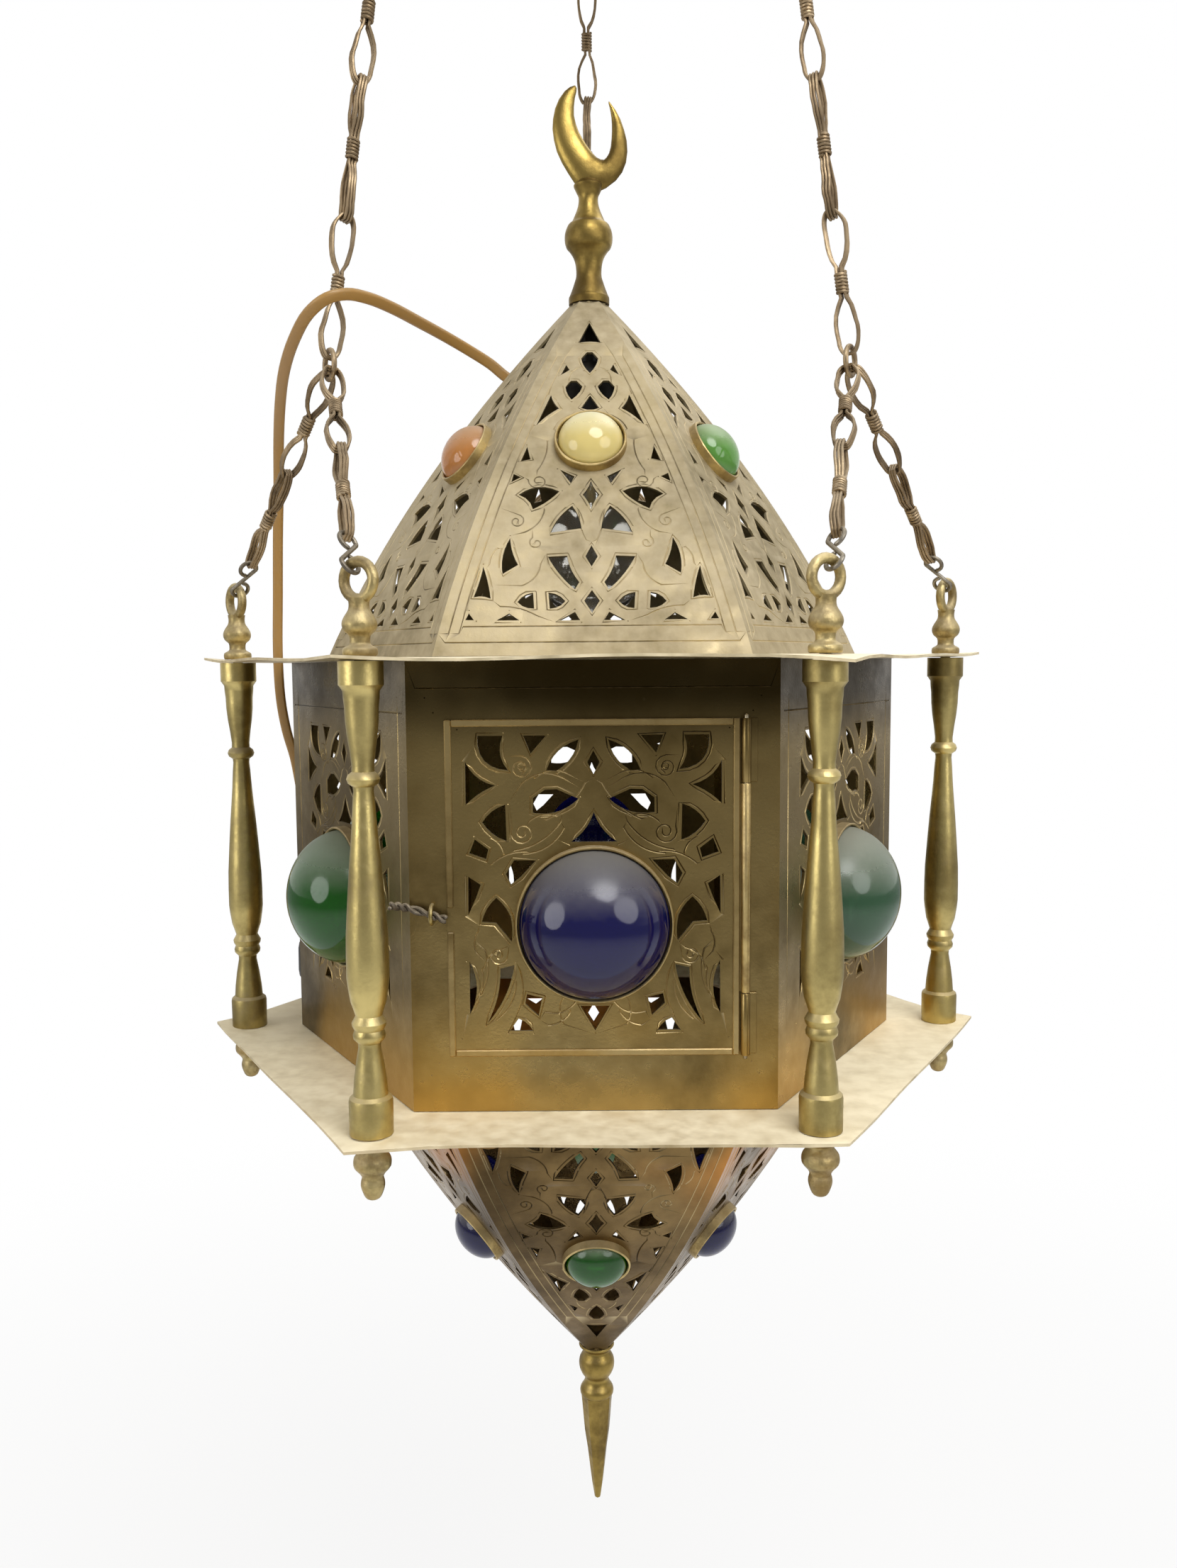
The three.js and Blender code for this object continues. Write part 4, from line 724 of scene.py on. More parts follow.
@dataclass(frozen=True)
class MetalFinish(Finish):
    """Old brass, bronze or iron, tarnished and with the dust on it, and with painted light: a warm
    reflection near the bottom plate and shade under the top plate.
    """

    bright: Colour
    dark: Colour
    # Colour of the painted warm reflection near the bottom plate.
    warm: Colour
    patch_scale: float = 18.0
    # Strength of the painted warm reflection near the bottom plate.
    painted_reflection: float = 0.3
    # Strength of the painted shade under the top plate.
    painted_shade: float = 0.0
    rough_low: float = 0.3
    rough_high: float = 0.5
    dust: Colour = (0.55, 0.46, 0.31)
    dust_scale: float = 9.0
    dust_amount: float = 0.1
    dust_upward: float = 0.3
    dust_broken: float = 0.5
    dust_rough: float = 0.35
    dent_scale: float = 14.0
    dents: float = 0.15
    grain_scale: float = 700.0
    grain: float = 0.25

    def shading(self, w: Wiring, spot: Port) -> Given:
        """Draws tarnished metal with its painted light; where dust lies it is neither metallic nor
        smooth.
        """
        scribe = w.node("ShaderNodeAttribute", attribute_type="GEOMETRY", attribute_name="scribe")
        metal = TARNISH_AND_PAINTED_LIGHT.place(w, {
            "Vector": spot, "Bright": self.bright, "Dark": self.dark, "Warm": self.warm,
            "Patch Scale": self.patch_scale, "Painted Reflection": self.painted_reflection,
            "Scribe": scribe.outputs["Fac"], "Painted Shade": self.painted_shade,
        })
        mask = self.dusted(
            w, spot, self.dust_scale, self.dust_amount, self.dust_upward, self.dust_broken
        )
        rough = w.span(metal["Mask"], 0.1, 0.8, self.rough_low, self.rough_high)
        return {
            "Base Color": w.blend(mask, metal["Color"], self.dust),
            "Roughness": w.plus(rough, w.times(mask, self.dust_rough)),
            "Metallic": w.less(1.0, mask),
            "Normal": self.worked(
                w, spot, self.dent_scale, self.dents, self.grain_scale, self.grain
            ),
        }


@dataclass(frozen=True)
class GlassFinish(Finish):
    """Blown coloured glass with a film of dust on its upper part."""

    tint: Colour
    film: Colour = (0.45, 0.46, 0.42)
    film_amount: float = -0.2
    film_upward: float = 1.2
    film_rough: float = 0.55
    film_scale: float = 22.0
    film_broken: float = 0.14
    ripples: Corner = (60.0, 0.12, 420.0, 0.05)
    clear: float = 0.6
    rough: float = 0.08
    bending: float = 1.5

    def shading(self, w: Wiring, spot: Port) -> Given:
        """Draws glass that lets light through, with a milky film over it."""
        film = (self.film_scale, self.film_amount, self.film_upward, self.film_broken)
        mask = self.dusted(w, spot, *film)
        return {
            "Base Color": w.blend(mask, self.tint, self.film),
            "Roughness": w.span(mask, 0.0, 1.0, self.rough, self.film_rough),
            "Normal": self.worked(w, spot, *self.ripples),
            "Transmission Weight": self.clear, "IOR": self.bending,
        }


@dataclass(frozen=True)
class MouldedFinish(Finish):
    """Plain moulded plastic, slightly soiled."""

    colour: Colour
    soiled: Colour
    rough: float = 0.4
    dulled: float = 0.25
    soiling: Corner = (30.0, 0.1, 0.2, 0.8)
    skin: Corner = (50.0, 0.05, 900.0, 0.1)

    def shading(self, w: Wiring, spot: Port) -> Given:
        """Draws plastic with paler dirt on it."""
        mask = self.dusted(w, spot, *self.soiling)
        return {
            "Base Color": w.blend(mask, self.colour, self.soiled),
            "Roughness": w.span(mask, 0.0, 1.0, self.rough, self.rough + self.dulled),
            "Normal": self.worked(w, spot, *self.skin),
        }


# The drum takes painted shade under the top plate and a painted warm reflection near the bottom plate.
DRUM_BRASS = MetalFinish(
    "brown drum brass", "drum_sheet", (0.4, 0.29, 0.115), (0.11, 0.075, 0.025), (0.56, 0.34, 0.08),
    patch_scale=9.0, painted_reflection=0.65, painted_shade=0.92, rough_low=0.22, rough_high=0.42,
    dust=(0.42, 0.34, 0.2), dust_amount=-0.1, dust_upward=0.4, dust_broken=0.4,
)
ROOF_BRASS = MetalFinish(
    "dusty roof brass", "roof_sheet", (0.42, 0.34, 0.19), (0.17, 0.135, 0.065), (0.42, 0.36, 0.17),
    patch_scale=10.0, painted_reflection=0.25, rough_low=0.36, rough_high=0.58,
    dust=(0.5, 0.42, 0.28), dust_amount=0.22, dust_upward=0.45, dust_broken=0.8,
)
# Its top takes a strong painted warm reflection near the bottom plate.
LOWER_BRASS = MetalFinish(
    "coppery lower brass", "drum_sheet", (0.25, 0.165, 0.065), (0.07, 0.043, 0.015), (0.68, 0.27, 0.05),
    patch_scale=9.0, painted_reflection=0.8, rough_low=0.24, rough_high=0.44,
    dust=(0.4, 0.31, 0.18), dust_amount=-0.1, dust_upward=0.3, dust_broken=0.4,
)
PLATE_BRASS = MetalFinish(
    "pale dusty plate", "plate_sheet", (0.72, 0.62, 0.4), (0.4, 0.3, 0.15), (0.6, 0.42, 0.2),
    patch_scale=7.0, painted_reflection=0.4, rough_low=0.3, rough_high=0.55,
    dust=(0.95, 0.85, 0.62), dust_amount=0.3, dust_scale=5.0, dust_upward=0.6, dust_broken=0.85,
)
COLUMN_BRASS = MetalFinish(
    "turned column brass", "cast_brass", (0.62, 0.5, 0.2), (0.23, 0.175, 0.065), (0.45, 0.33, 0.1),
    patch_scale=22.0, painted_reflection=0.3, rough_low=0.3, rough_high=0.46,
    dust_amount=-0.05, dust_upward=0.5, dust_broken=0.35, dents=0.1,
)
PITTED_BRASS = MetalFinish(
    "pitted cast brass", "cast_brass", (0.48, 0.38, 0.17), (0.22, 0.16, 0.07), (0.42, 0.27, 0.09),
    patch_scale=60.0, painted_reflection=0.3, rough_low=0.36, rough_high=0.56,
    dust=(0.66, 0.56, 0.36), dust_amount=0.05, dust_upward=0.4, dust_broken=0.4,
    dent_scale=160.0, dents=0.5, grain_scale=900.0, grain=0.5,
)
FINIAL_BRASS = MetalFinish(
    "golden finial brass", "cast_brass", (0.38, 0.27, 0.075), (0.13, 0.085, 0.024),
    (0.38, 0.22, 0.045), patch_scale=26.0, painted_reflection=0.35, rough_low=0.32, rough_high=0.48,
    dust_amount=-0.12, dust_upward=0.3, dust_broken=0.3, dents=0.12,
)
CHAIN_BRONZE = MetalFinish(
    "dark chain bronze", "chain_bronze", (0.4, 0.3, 0.185), (0.16, 0.112, 0.066), (0.4, 0.24, 0.1),
    patch_scale=30.0, painted_reflection=0.2, rough_low=0.4, rough_high=0.6,
    dust_amount=-0.05, dust_upward=0.35, dust_broken=0.4, dents=0.05, grain=0.05,
)
DARK_IRON = MetalFinish(
    "dull iron wire", "dark_wire", (0.23, 0.2, 0.16), (0.1, 0.08, 0.06), (0.25, 0.15, 0.08),
    patch_scale=60.0, painted_reflection=0.4, rough_low=0.45, rough_high=0.65,
    dust_amount=0.05, dust_upward=0.3, dust_broken=0.4,
)
HOOK_WIRE = MetalFinish(
    "bent hook wire", "dark_wire", (0.3, 0.27, 0.22), (0.12, 0.1, 0.075), (0.24, 0.17, 0.1),
    patch_scale=60.0, rough_low=0.35, rough_high=0.55, dust_amount=-0.05,
)
HINGE_STEEL = MetalFinish(
    "worn hinge steel", "hinge_steel", (0.45, 0.4, 0.3), (0.25, 0.2, 0.13), (0.35, 0.2, 0.1),
    patch_scale=60.0,
)
# Brighter than the drum brass: a painted highlight along the door's raised edge.
DOOR_EDGE_HIGHLIT_BRASS = MetalFinish(
    "door edge brass with painted highlight", "drum_sheet", (0.5, 0.37, 0.16), (0.16, 0.11, 0.04), (0.66, 0.4, 0.1),
    patch_scale=14.0, painted_reflection=0.5, dust_amount=-0.05, dust_upward=0.4, dust_broken=0.3,
)
RIM_BRASS = MetalFinish(
    "thin gilt rim", "drum_sheet", (0.6, 0.46, 0.2), (0.26, 0.18, 0.075), (0.6, 0.36, 0.1),
    patch_scale=50.0, dust_amount=0.0, dust_upward=0.45, dust_broken=0.4,
)
BLUE_GLASS = GlassFinish(
    "cobalt glass", "blue_glass", (0.006, 0.006, 0.085), film=(0.28, 0.27, 0.25), clear=0.45
)
GREEN_GLASS = GlassFinish(
    "bottle green glass", "green_glass", (0.008, 0.15, 0.002), film=(0.55, 0.58, 0.48), clear=0.6
)
TEAL_GLASS = GlassFinish(
    "grey green glass", "teal_glass", (0.06, 0.16, 0.08), film=(0.62, 0.62, 0.52),
    film_amount=-0.1, clear=0.6,
)
LEAF_GLASS = GlassFinish(
    "leaf green glass", "green_glass", (0.16, 0.42, 0.08), film=(0.5, 0.58, 0.36), clear=0.5
)
PALE_GLASS = GlassFinish(
    "pale cream glass", "pale_glass", (0.9, 0.75, 0.3), film=(0.99, 0.97, 0.72),
    film_amount=-0.3, clear=0.45,
)
AMBER_GLASS = GlassFinish(
    "brown amber glass", "amber_glass", (0.62, 0.27, 0.075), film=(0.62, 0.42, 0.25), clear=0.4
)
BULB_GLASS = GlassFinish(
    "clear bulb glass", "pale_glass", (0.95, 0.94, 0.9), film_amount=-1.2, rough=0.03, clear=0.9
)
BLACK_PLASTIC = MouldedFinish(
    "black moulded plastic", "black_plastic", (0.02, 0.018, 0.016), (0.08, 0.07, 0.055)
)
FLEX_PLASTIC = MouldedFinish(
    "gold brown flex", "cord_plastic", (0.36, 0.2, 0.055), (0.3, 0.22, 0.12), rough=0.35
)
TIE_PLASTIC = MouldedFinish(
    "cable tie plastic", "cord_plastic", (0.5, 0.46, 0.38), (0.4, 0.34, 0.25)
)

GlassSet = dict[Side, GlassFinish]


def matched(middle: GlassFinish, left: GlassFinish, right: GlassFinish) -> GlassSet:
    """Returns the glass of each face: front and back, the two left ones, the two right ones."""
    return {
        side: middle if side.azimuth % 180 == 0 else right if side.azimuth > 0 else left
        for side in Side
    }


LARGE_GLASSES = matched(BLUE_GLASS, GREEN_GLASS, TEAL_GLASS)
UPPER_GLASSES = matched(PALE_GLASS, AMBER_GLASS, LEAF_GLASS)
LOWER_GLASSES = matched(GREEN_GLASS, BLUE_GLASS, BLUE_GLASS)


# Making pieces


def placed(name: str, data: bpy.types.ID) -> bpy.types.Object:
    """Returns a new object of the scene that shows the data."""
    made = bpy.data.objects.new(name, data)
    bpy.context.scene.collection.objects.link(made)
    return made


def finished(
    name: str, form: Form, finish: Finish, stands_for: Sequence[str] = (),
    body: str = LANTERN, crease: float = 35.0,
) -> bpy.types.Object:
    """Makes one piece of the lantern from a form.

    Args:
        name: The piece's name.
        form: Its shape in lantern millimetres.
        finish: What its surface is like.
        stands_for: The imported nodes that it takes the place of.
        body: The body that it moves with.
        crease: Edges sharper than this many degrees stay sharp.

    Returns:
        The piece.
    """
    mesh = bpy.data.meshes.new(name)
    mesh.from_pydata([to_frame(p) for p in form.points], [], form.faces)
    if any(form.marks):
        layer = mesh.attributes.new("scribe", "FLOAT", "POINT")
        layer.data.foreach_set("value", form.marks)
    work = bmesh.new()
    work.from_mesh(mesh)
    bmesh.ops.remove_doubles(work, verts=work.verts, dist=WELD)
    bmesh.ops.dissolve_degenerate(work, edges=work.edges, dist=SLIVER)
    bmesh.ops.recalc_face_normals(work, faces=work.faces)
    work.to_mesh(mesh)
    work.free()
    mesh.shade_smooth()
    mesh.set_sharp_from_angle(angle=math.radians(crease))
    mesh.materials.append(finish.material())
    piece = placed(name, mesh)
    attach(piece, body)
    if stands_for:
        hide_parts(*stands_for)
    LOG.info("%s: %d faces", name, len(mesh.polygons))
    return piece


def dress(nodes: dict[str, bpy.types.Object], name: str, finish: Finish) -> None:
    """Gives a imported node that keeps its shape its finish."""
    mesh = nodes[name].data
    mesh.materials.clear()
    mesh.materials.append(finish.material())
    LOG.info("%s: keeps its packed shape", name)


# Pierced sheet work


def arched(start: Flat, end: Flat, bow: float, steps: int = 8) -> list[Flat]:
    """Returns a line between two points that swells to its left by a bow."""
    (x, y), (end_x, end_y) = start, end
    dx, dy = end_x - x, end_y - y
    length = math.hypot(dx, dy)
    line = []
    for k in range(steps + 1):
        t = k / steps
        out = 4 * bow * t * (1 - t) / length
        line.append((x + dx * t - dy * out, y + dy * t + dx * out))
    return line


def swung(corners: Sequence[Corner]) -> list[Flat]:
    """Draws an opening whose sides swell or hollow between its corners.

    Args:
        corners: (x, y, bow) going clockwise; the bow swells the side that follows.

    Returns:
        The points of the outline.
    """
    outline = []
    for (*start, bow), (*end, _) in following([(*each, 0.0)[:3] for each in corners]):
        steps = max(2, round(math.dist(start, end) / ARC_PIECE)) if bow else 1
        outline += arched(start, end, bow, steps)[:-1]
    return outline


def following(loop: Sequence[object]) -> list[tuple[object, object]]:
    """Returns each item of a closed loop with the one after it."""
    return list(zip(loop, [*loop[1:], loop[0]]))


def both_sides(
    middles: Sequence[Sequence[Corner]], pairs: Sequence[Sequence[Corner]]
) -> list[list[Flat]]:
    """Returns the outlines of the middle openings and of the right ones with their mirrors."""
    right = [swung(each) for each in [*middles, *pairs]]
    left = [[(-x, y) for x, y in reversed(each)] for each in right[len(middles):]]
    return [*right, *left]


def raised(lines: Sequence[Sequence[Flat]], rise: float) -> list[list[Flat]]:
    """Returns lines moved up by a rise."""
    return [[(x, y + rise) for x, y in line] for line in lines]


def mirrored(lines: Sequence[Sequence[Flat]]) -> list[list[Flat]]:
    """Returns the lines and their mirrors on the left."""
    right = [list(line) for line in lines]
    return right + [[(-x, y) for x, y in line] for line in right]


def spiral(x: float, y: float, radius: float, turns: float, start: float) -> list[Flat]:
    """Returns a small scribed volute.

    Args:
        x: Its middle, across.
        y: Its middle, up.
        radius: Its outer radius.
        turns: How many turns it winds inwards; negative winds the other way.
        start: The direction of its outer end, in degrees.

    Returns:
        The line.
    """
    steps = max(10, round(abs(turns) * 12))
    line = []
    for i in range(steps + 1):
        share = i / steps
        angle = math.radians(start) + 2 * math.pi * turns * share
        reach = radius * (1 - 0.8 * share)
        line.append((x + reach * math.cos(angle), y + reach * math.sin(angle)))
    return line


def scrollwork(
    volutes: Sequence[tuple[float, ...]], veins: Sequence[tuple[Flat, Flat, float]]
) -> list[list[Flat]]:
    """Returns scribed volutes and veins with their mirrors on the left."""
    return mirrored([*(spiral(*each) for each in volutes), *(arched(*each) for each in veins)])


def turns_left(outline: Sequence[Flat]) -> bool:
    """Tells whether an outline runs anticlockwise."""
    return sum(a[0] * b[1] - b[0] * a[1] for a, b in following(outline)) > 0


def gap_to_segment(point: Vector, start: Flat, end: Flat) -> float:
    """Returns the distance from a flat point to a straight piece of line."""
    px, py = point.x - start[0], point.y - start[1]
    dx, dy = end[0] - start[0], end[1] - start[1]
    share = max(0.0, min(1.0, (px * dx + py * dy) / (dx * dx + dy * dy)))
    return math.hypot(px - share * dx, py - share * dy)


def beside(line: Sequence[Flat], offset: float) -> list[Flat]:
    """Returns a line moved sideways by an offset."""
    moved = []
    for i, (x, y) in enumerate(line):
        before, after = line[max(i - 1, 0)], line[min(i + 1, len(line) - 1)]
        dx, dy = after[0] - before[0], after[1] - before[1]
        length = math.hypot(dx, dy)
        moved.append((x - dy / length * offset, y + dx / length * offset))
    return moved


@dataclass
class CutSheet:
    """A flat sheet after cutting: its points, triangles and how deep each point is scribed."""

    points: list[Flat]
    triangles: list[tuple[int, int, int]]
    depths: list[float]


@dataclass
class SheetPattern:
    """What is cut and scribed in one flat sheet."""

    outline: list[Flat]
    openings: list[list[Flat]]
    guides: list[tuple[Flat, Flat]] = field(default_factory=list)
    scribes: list[list[Flat]] = field(default_factory=list)
    scribe_half_width: float = 0.42
    edging: float = 1.3

    def cut(self) -> CutSheet:
        """Cuts the openings and scribes the lines.

        Returns:
            The cut sheet.
        """
        points: list[Vector] = []
        edges: list[tuple[int, int]] = []
        grooves: set[int] = set()

        def lay(line: Sequence[Flat], closed: bool = False) -> list[int]:
            """Lays a line of points and returns their numbers."""
            numbers = list(range(len(points), len(points) + len(line)))
            points.extend(Vector(p) for p in line)
            edges.extend(zip(numbers, numbers[1:]))
            if closed:
                edges.append((numbers[-1], numbers[0]))
            return numbers

        lay(self.outline, True)
        for guide in self.guides:
            lay(guide)
        holes = [o if turns_left(o) else o[::-1] for o in self.openings]
        faces = [lay(hole, True) for hole in holes]
        for line in [*self.scribes, *(self.edged(hole) for hole in holes)]:
            for offset in (-self.scribe_half_width, self.scribe_half_width):
                lay(beside(line, offset))
            grooves.update(lay(line))
        found = delaunay_2d_cdt(points, edges, faces, 0, CROSSING)
        flat, triangles, laid, inside = found[0], found[2], found[3], found[5]
        kept = [
            tuple(face)
            for face, within in zip(triangles, inside)
            if not within and self.holds(sum((flat[i] for i in face), Vector((0, 0))) / 3)
        ]
        depths = [
            float(not grooves.isdisjoint(sources)) if sources else self.depth(point)
            for point, sources in zip(flat, laid)
        ]
        return CutSheet([tuple(p) for p in flat], kept, depths)

    def edged(self, hole: list[Flat]) -> list[Flat]:
        """Returns the line scribed round an opening, a little outside it."""
        wound = beside([hole[-1], *hole, hole[0]], -self.edging)[1:-1]
        return [*wound, wound[0]]

    def holds(self, point: Vector) -> bool:
        """Tells whether a point is inside the sheet's outline."""
        inside = False
        for (x1, y1), (x2, y2) in following(self.outline):
            if (y1 > point.y) != (y2 > point.y):
                if point.x < x1 + (x2 - x1) * (point.y - y1) / (y2 - y1):
                    inside = not inside
        return inside

    def depth(self, point: Vector) -> float:
        """Returns how deep a point lies in a scribed line, from 0 to 1."""
        nearest = self.scribe_half_width
        for line in self.scribes:
            for start, end in zip(line, line[1:]):
                nearest = min(nearest, gap_to_segment(point, start, end))
        return 1 - nearest / self.scribe_half_width


Fold = Callable[[float, float, float], Vector]


def folded(sheet: CutSheet, fold: Fold, joint: Callable[[Flat], bool] = lambda _: False) -> Form:
    """Gives a cut sheet its thickness and lays it on its surface.

    Args:
        sheet: The cut sheet.
        fold: Gives the place of (across, up, depth).
        joint: Tells the points where it meets the next sheet and stays open.

    Returns:
        The solid sheet.
    """
    form = Form()
    count = len(sheet.points)
    form.points += [fold(x, y, GROOVE * d) for (x, y), d in zip(sheet.points, sheet.depths)]
    form.points += [fold(x, y, SHEET) for x, y in sheet.points]
    form.marks = [*sheet.depths, *([0.0] * count)]
    sides: dict[tuple[int, int], int] = {}
    for a, b, c in sheet.triangles:
        form.faces.append((a, b, c))
        form.faces.append((count + c, count + b, count + a))
        for edge in ((a, b), (b, c), (c, a)):
            key = (min(edge), max(edge))
            sides[key] = sides.get(key, 0) + 1
    for (a, b), uses in sides.items():
        if uses == 1 and not (joint(sheet.points[a]) and joint(sheet.points[b])):
            form.faces.append((b, a, count + a, count + b))
    return form


PANEL_MIDDLES = [
    [(0, 57.1), (2.6, 52.2), (0, 47.1), (-2.6, 52.2)],
    [(0, 31.1, -1.5), (9.9, 18.5), (-9.9, 18.5, -1.5)], [(-6.3, -52), (6.3, -52), (0, -62.8)],
]
PANEL_PAIRS = [
    [(6.2, 61.7, 2.4), (19.8, 48.8), (15.5, 48.6, 1.8)], [(19.8, 63.5), (29.3, 63.5), (26.3, 56)],
    [(38, 63.5), (48.5, 63.5, 4.8), (35.8, 48.9, -2.2)],
    [(41.4, 42.6, -2), (53.8, 52.7), (53.8, 34.5, -0.8)],
    [(6.4, 36.8), (15.5, 40.9), (20.5, 40.7), (25.5, 37.2), (25.6, 30.9, 2.6)],
    [(37.2, 34.5, 1.2), (47, 27, 1.2), (36.8, 19)],
    [(50.2, 19.9), (52.6, 13.9), (45.6, 11.4), (44.6, 15.6)],
    [(24.5, 10.8), (33.8, 10.9), (37.3, 4.9), (35.2, 0.5), (31, 3.8)],
    [(41.5, -5.1, 1), (47.8, -15.5), (41.7, -16), (35.2, -24, 0.5), (35.6, -13, 0.6)],
    [(48, 0.5), (53.2, 4), (53.4, -12.5), (50.2, -5.4)],
    [(34.2, -34.2), (40.2, -35.6, -1.6), (46, -59.4, 2)], [(53.2, -32.5), (53.4, -55.5, 3)],
    [(22.5, -48.3), (29, -46.8), (29.8, -51), (24.2, -56.3)],
    [(26.5, -62.8, 0.8), (32.7, -57.4), (36.5, -62.8)],
]
ROOF_MIDDLES = [
    [(0, 192.6), (5.5, 177.2, -0.8), (-5.5, 177.2)],
    [(0, 155.5, 0.8), (-4.1, 165.8, 5), (4.1, 165.8, 0.8)],
    [(0, 140.2), (4.3, 132, 1.2), (-4.3, 132)],
    [(0, 87.9, -0.5), (3.8, 80.2, -0.5), (0, 72.1, -0.5), (-3.8, 80.2, -0.5)],
    [(0, 53.1), (2.7, 47.4), (0, 42.3), (-2.7, 47.4)],
    [(0, 30.7), (3.4, 25.5), (0, 19.7), (-3.4, 25.5)],
]
ROOF_PAIRS = [
    [(8.8, 137.5, 0.8), (3.6, 146.2, 4.6), (11.7, 146, 0.6)],
    [(18.5, 140.6), (25.2, 121.1, -0.7), (14.7, 131.8, -0.6)],
    [(14.3, 82.1, 3.4), (32.7, 80.4, -1.4), (26.2, 72.4, 0.8)],
    [(8.5, 74.1, 1.3), (18.3, 59.8), (4.4, 62, 0.8)],
    [(36.1, 57.1, 1.6), (39.2, 38.9), (32.4, 43.4, -0.8)],
    [(10.8, 47.8), (19.3, 47.4, 1), (7.4, 31), (5.5, 34.6, -0.9)],
    [(47.7, 42.6, -0.4), (51.7, 27.5, -0.8), (44.2, 26.8, 0.4)],
    [(11.6, 25.4, 1), (19, 29.6), (18.4, 21.8, 1)],
    [(25.7, 29.6, 1), (32.5, 25.1, 1), (25.2, 21.9)], [(31.6, 16.4), (36, 19.7), (41.5, 16.4)],
    [(5.2, 16.3), (7.4, 20.2), (14.5, 16.2)], [(11.3, 161.2), (13.9, 154.1), (9.7, 157.6)],
    [(29.2, 108), (32.1, 99.5), (27.6, 100.6)], [(35.2, 92.2), (36.2, 87.5), (31.8, 90.3)],
    [(14.1, 94.5), (9.1, 86.7), (7.4, 90.5)], [(51.3, 16.6), (53.5, 19.9), (55, 16.7)],
]
PANEL_VOLUTES = [
    (30.5, 50.0, 5.0, 1.6, 90), (30.5, 50.0, 2.4, -1.0, 250), (30.0, 22.5, 5.2, -1.6, 30),
    (41.0, -30.0, 4.0, 1.4, 200), (22.0, 33.5, 2.6, 1.2, 160),
]
PANEL_VEINS = [
    ((12.5, 45.5), (30.0, 43.5), 3.0), ((12.0, 48.0), (24.5, 45.5), 2.0),
    ((3.5, 43.5), (20.0, 28.0), -2.0), ((14.0, 27.0), (33.5, 15.0), -2.5),
    ((12.5, 24.5), (30.0, 13.5), -3.0), ((15.5, 29.5), (27.0, 27.5), 1.6),
    ((28.5, 14.5), (43.5, 9.0), 1.6), ((38.0, 13.5), (43.5, 20.5), 1.2),
    ((49.5, -20.0), (50.0, -29.0), 1.2), ((38.5, -27.0), (47.0, -36.0), 2.0),
    ((46.5, -27.5), (48.5, -47.0), -2.0), ((48.0, -36.0), (51.0, -50.0), -1.6),
    ((33.5, -41.0), (42.0, -58.0), -2.4), ((31.5, -37.0), (33.0, -55.0), -1.6),
    ((10.5, -54.5), (20.0, -60.5), -1.5), ((8.0, -50.0), (21.5, -54.5), -2.5),
    ((14.5, -50.5), (13.5, -60.0), 1.0),
]
ROOF_VOLUTES = [
    (24.0, 88.0, 4.6, -1.3, 10), (33.5, 66.0, 3.6, 1.2, 120), (24.5, 54.5, 3.4, -1.1, 60),
]
ROOF_VEINS = [
    ((8.5, 128.0), (17.0, 118.5), 1.5), ((20.0, 112.0), (24.5, 94.0), -1.5),
    ((5.5, 70.0), (2.5, 56.0), 0.8), ((21.0, 72.0), (30.0, 60.0), -2.0),
    ((22.5, 44.0), (30.5, 33.0), -2.0), ((41.5, 52.0), (45.0, 44.0), 1.0),
    ((24.0, 18.5), (40.0, 23.0), 1.2), ((10.0, 149.5), (6.5, 158.5), -1.2),
]


@dataclass
class Bezel:
    """A thin upright rim soldered round a glass."""

    glass_radius: float
    height: float
    wall: float = 1.3
    easing: float = 0.4
    draft: float = 0.1

    def form(self) -> Form:
        """Returns the rim, drawn about +Z from the sheet's face."""
        inner = self.glass_radius + SEAT
        outer = inner + self.wall
        foot, edge = -SHEET / 2, self.height - self.easing
        profile = [
            (inner, foot), (outer, foot), (outer, 0), (outer - self.draft, edge),
            (outer - self.easing, self.height), (inner + self.easing, self.height), (inner, edge),
        ]
        return ring_lathe(profile, 72)


@dataclass
class BlownGlass:
    """A hollow glass dome seated in its rim."""

    radius: float
    bulge: float
    wall: float
    rim_height: float
    ledge: float = 3.0

    def form(self) -> Form:
        """Returns the dome, drawn about +Z from its seat."""
        outer = self.arc(self.radius, self.bulge, 18)
        inner = self.arc(self.radius - self.wall, self.bulge - self.wall, 14)
        return lathe([*inner[::-1], *outer], 56)

    def arc(self, radius: float, bulge: float, steps: int) -> list[Flat]:
        """Returns half the dome's section, from its foot to its crown."""
        angles = [math.pi / 2 * i / steps for i in range(steps + 1)]
        arc = [(radius * math.cos(a), bulge * math.sin(a)) for a in angles]
        return [*arc[:-1], (0.0, bulge)]

    def rim(self) -> Form:
        """Returns the rim that holds the glass."""
        return Bezel(self.radius, self.rim_height).form()

    def hole(self, rise: float, sides: int) -> list[Flat]:
        """Returns the hole behind the glass, its middle up by a rise."""
        return [(x, y + rise) for x, y in circle(self.radius - self.ledge, sides)]


LARGE_GLASS = BlownGlass(32.0, 28.0, 2.4, 5.0)
SMALL_GLASS = BlownGlass(15.2, 12.0, 1.8, 4.0)


PANEL_HIGH = 66.2
PANEL_WIDE = 57.0


def framing(low: float, high: float, half: float) -> list[list[Flat]]:
    """Returns four scribed lines that frame a field, each as wide or high as the field."""
    return [
        [(-half, low), (half, low)], [(-half, high), (half, high)],
        [(-half, low), (-half, high)], [(half, low), (half, high)],
    ]


def panel_openings() -> list[list[Flat]]:
    """Returns the openings of a drum panel, which the door repeats."""
    drawn = raised(both_sides(PANEL_MIDDLES, PANEL_PAIRS), PANEL_MIDDLE)
    return [*drawn, LARGE_GLASS.hole(LARGE_GLASS_MIDDLE, 48)]


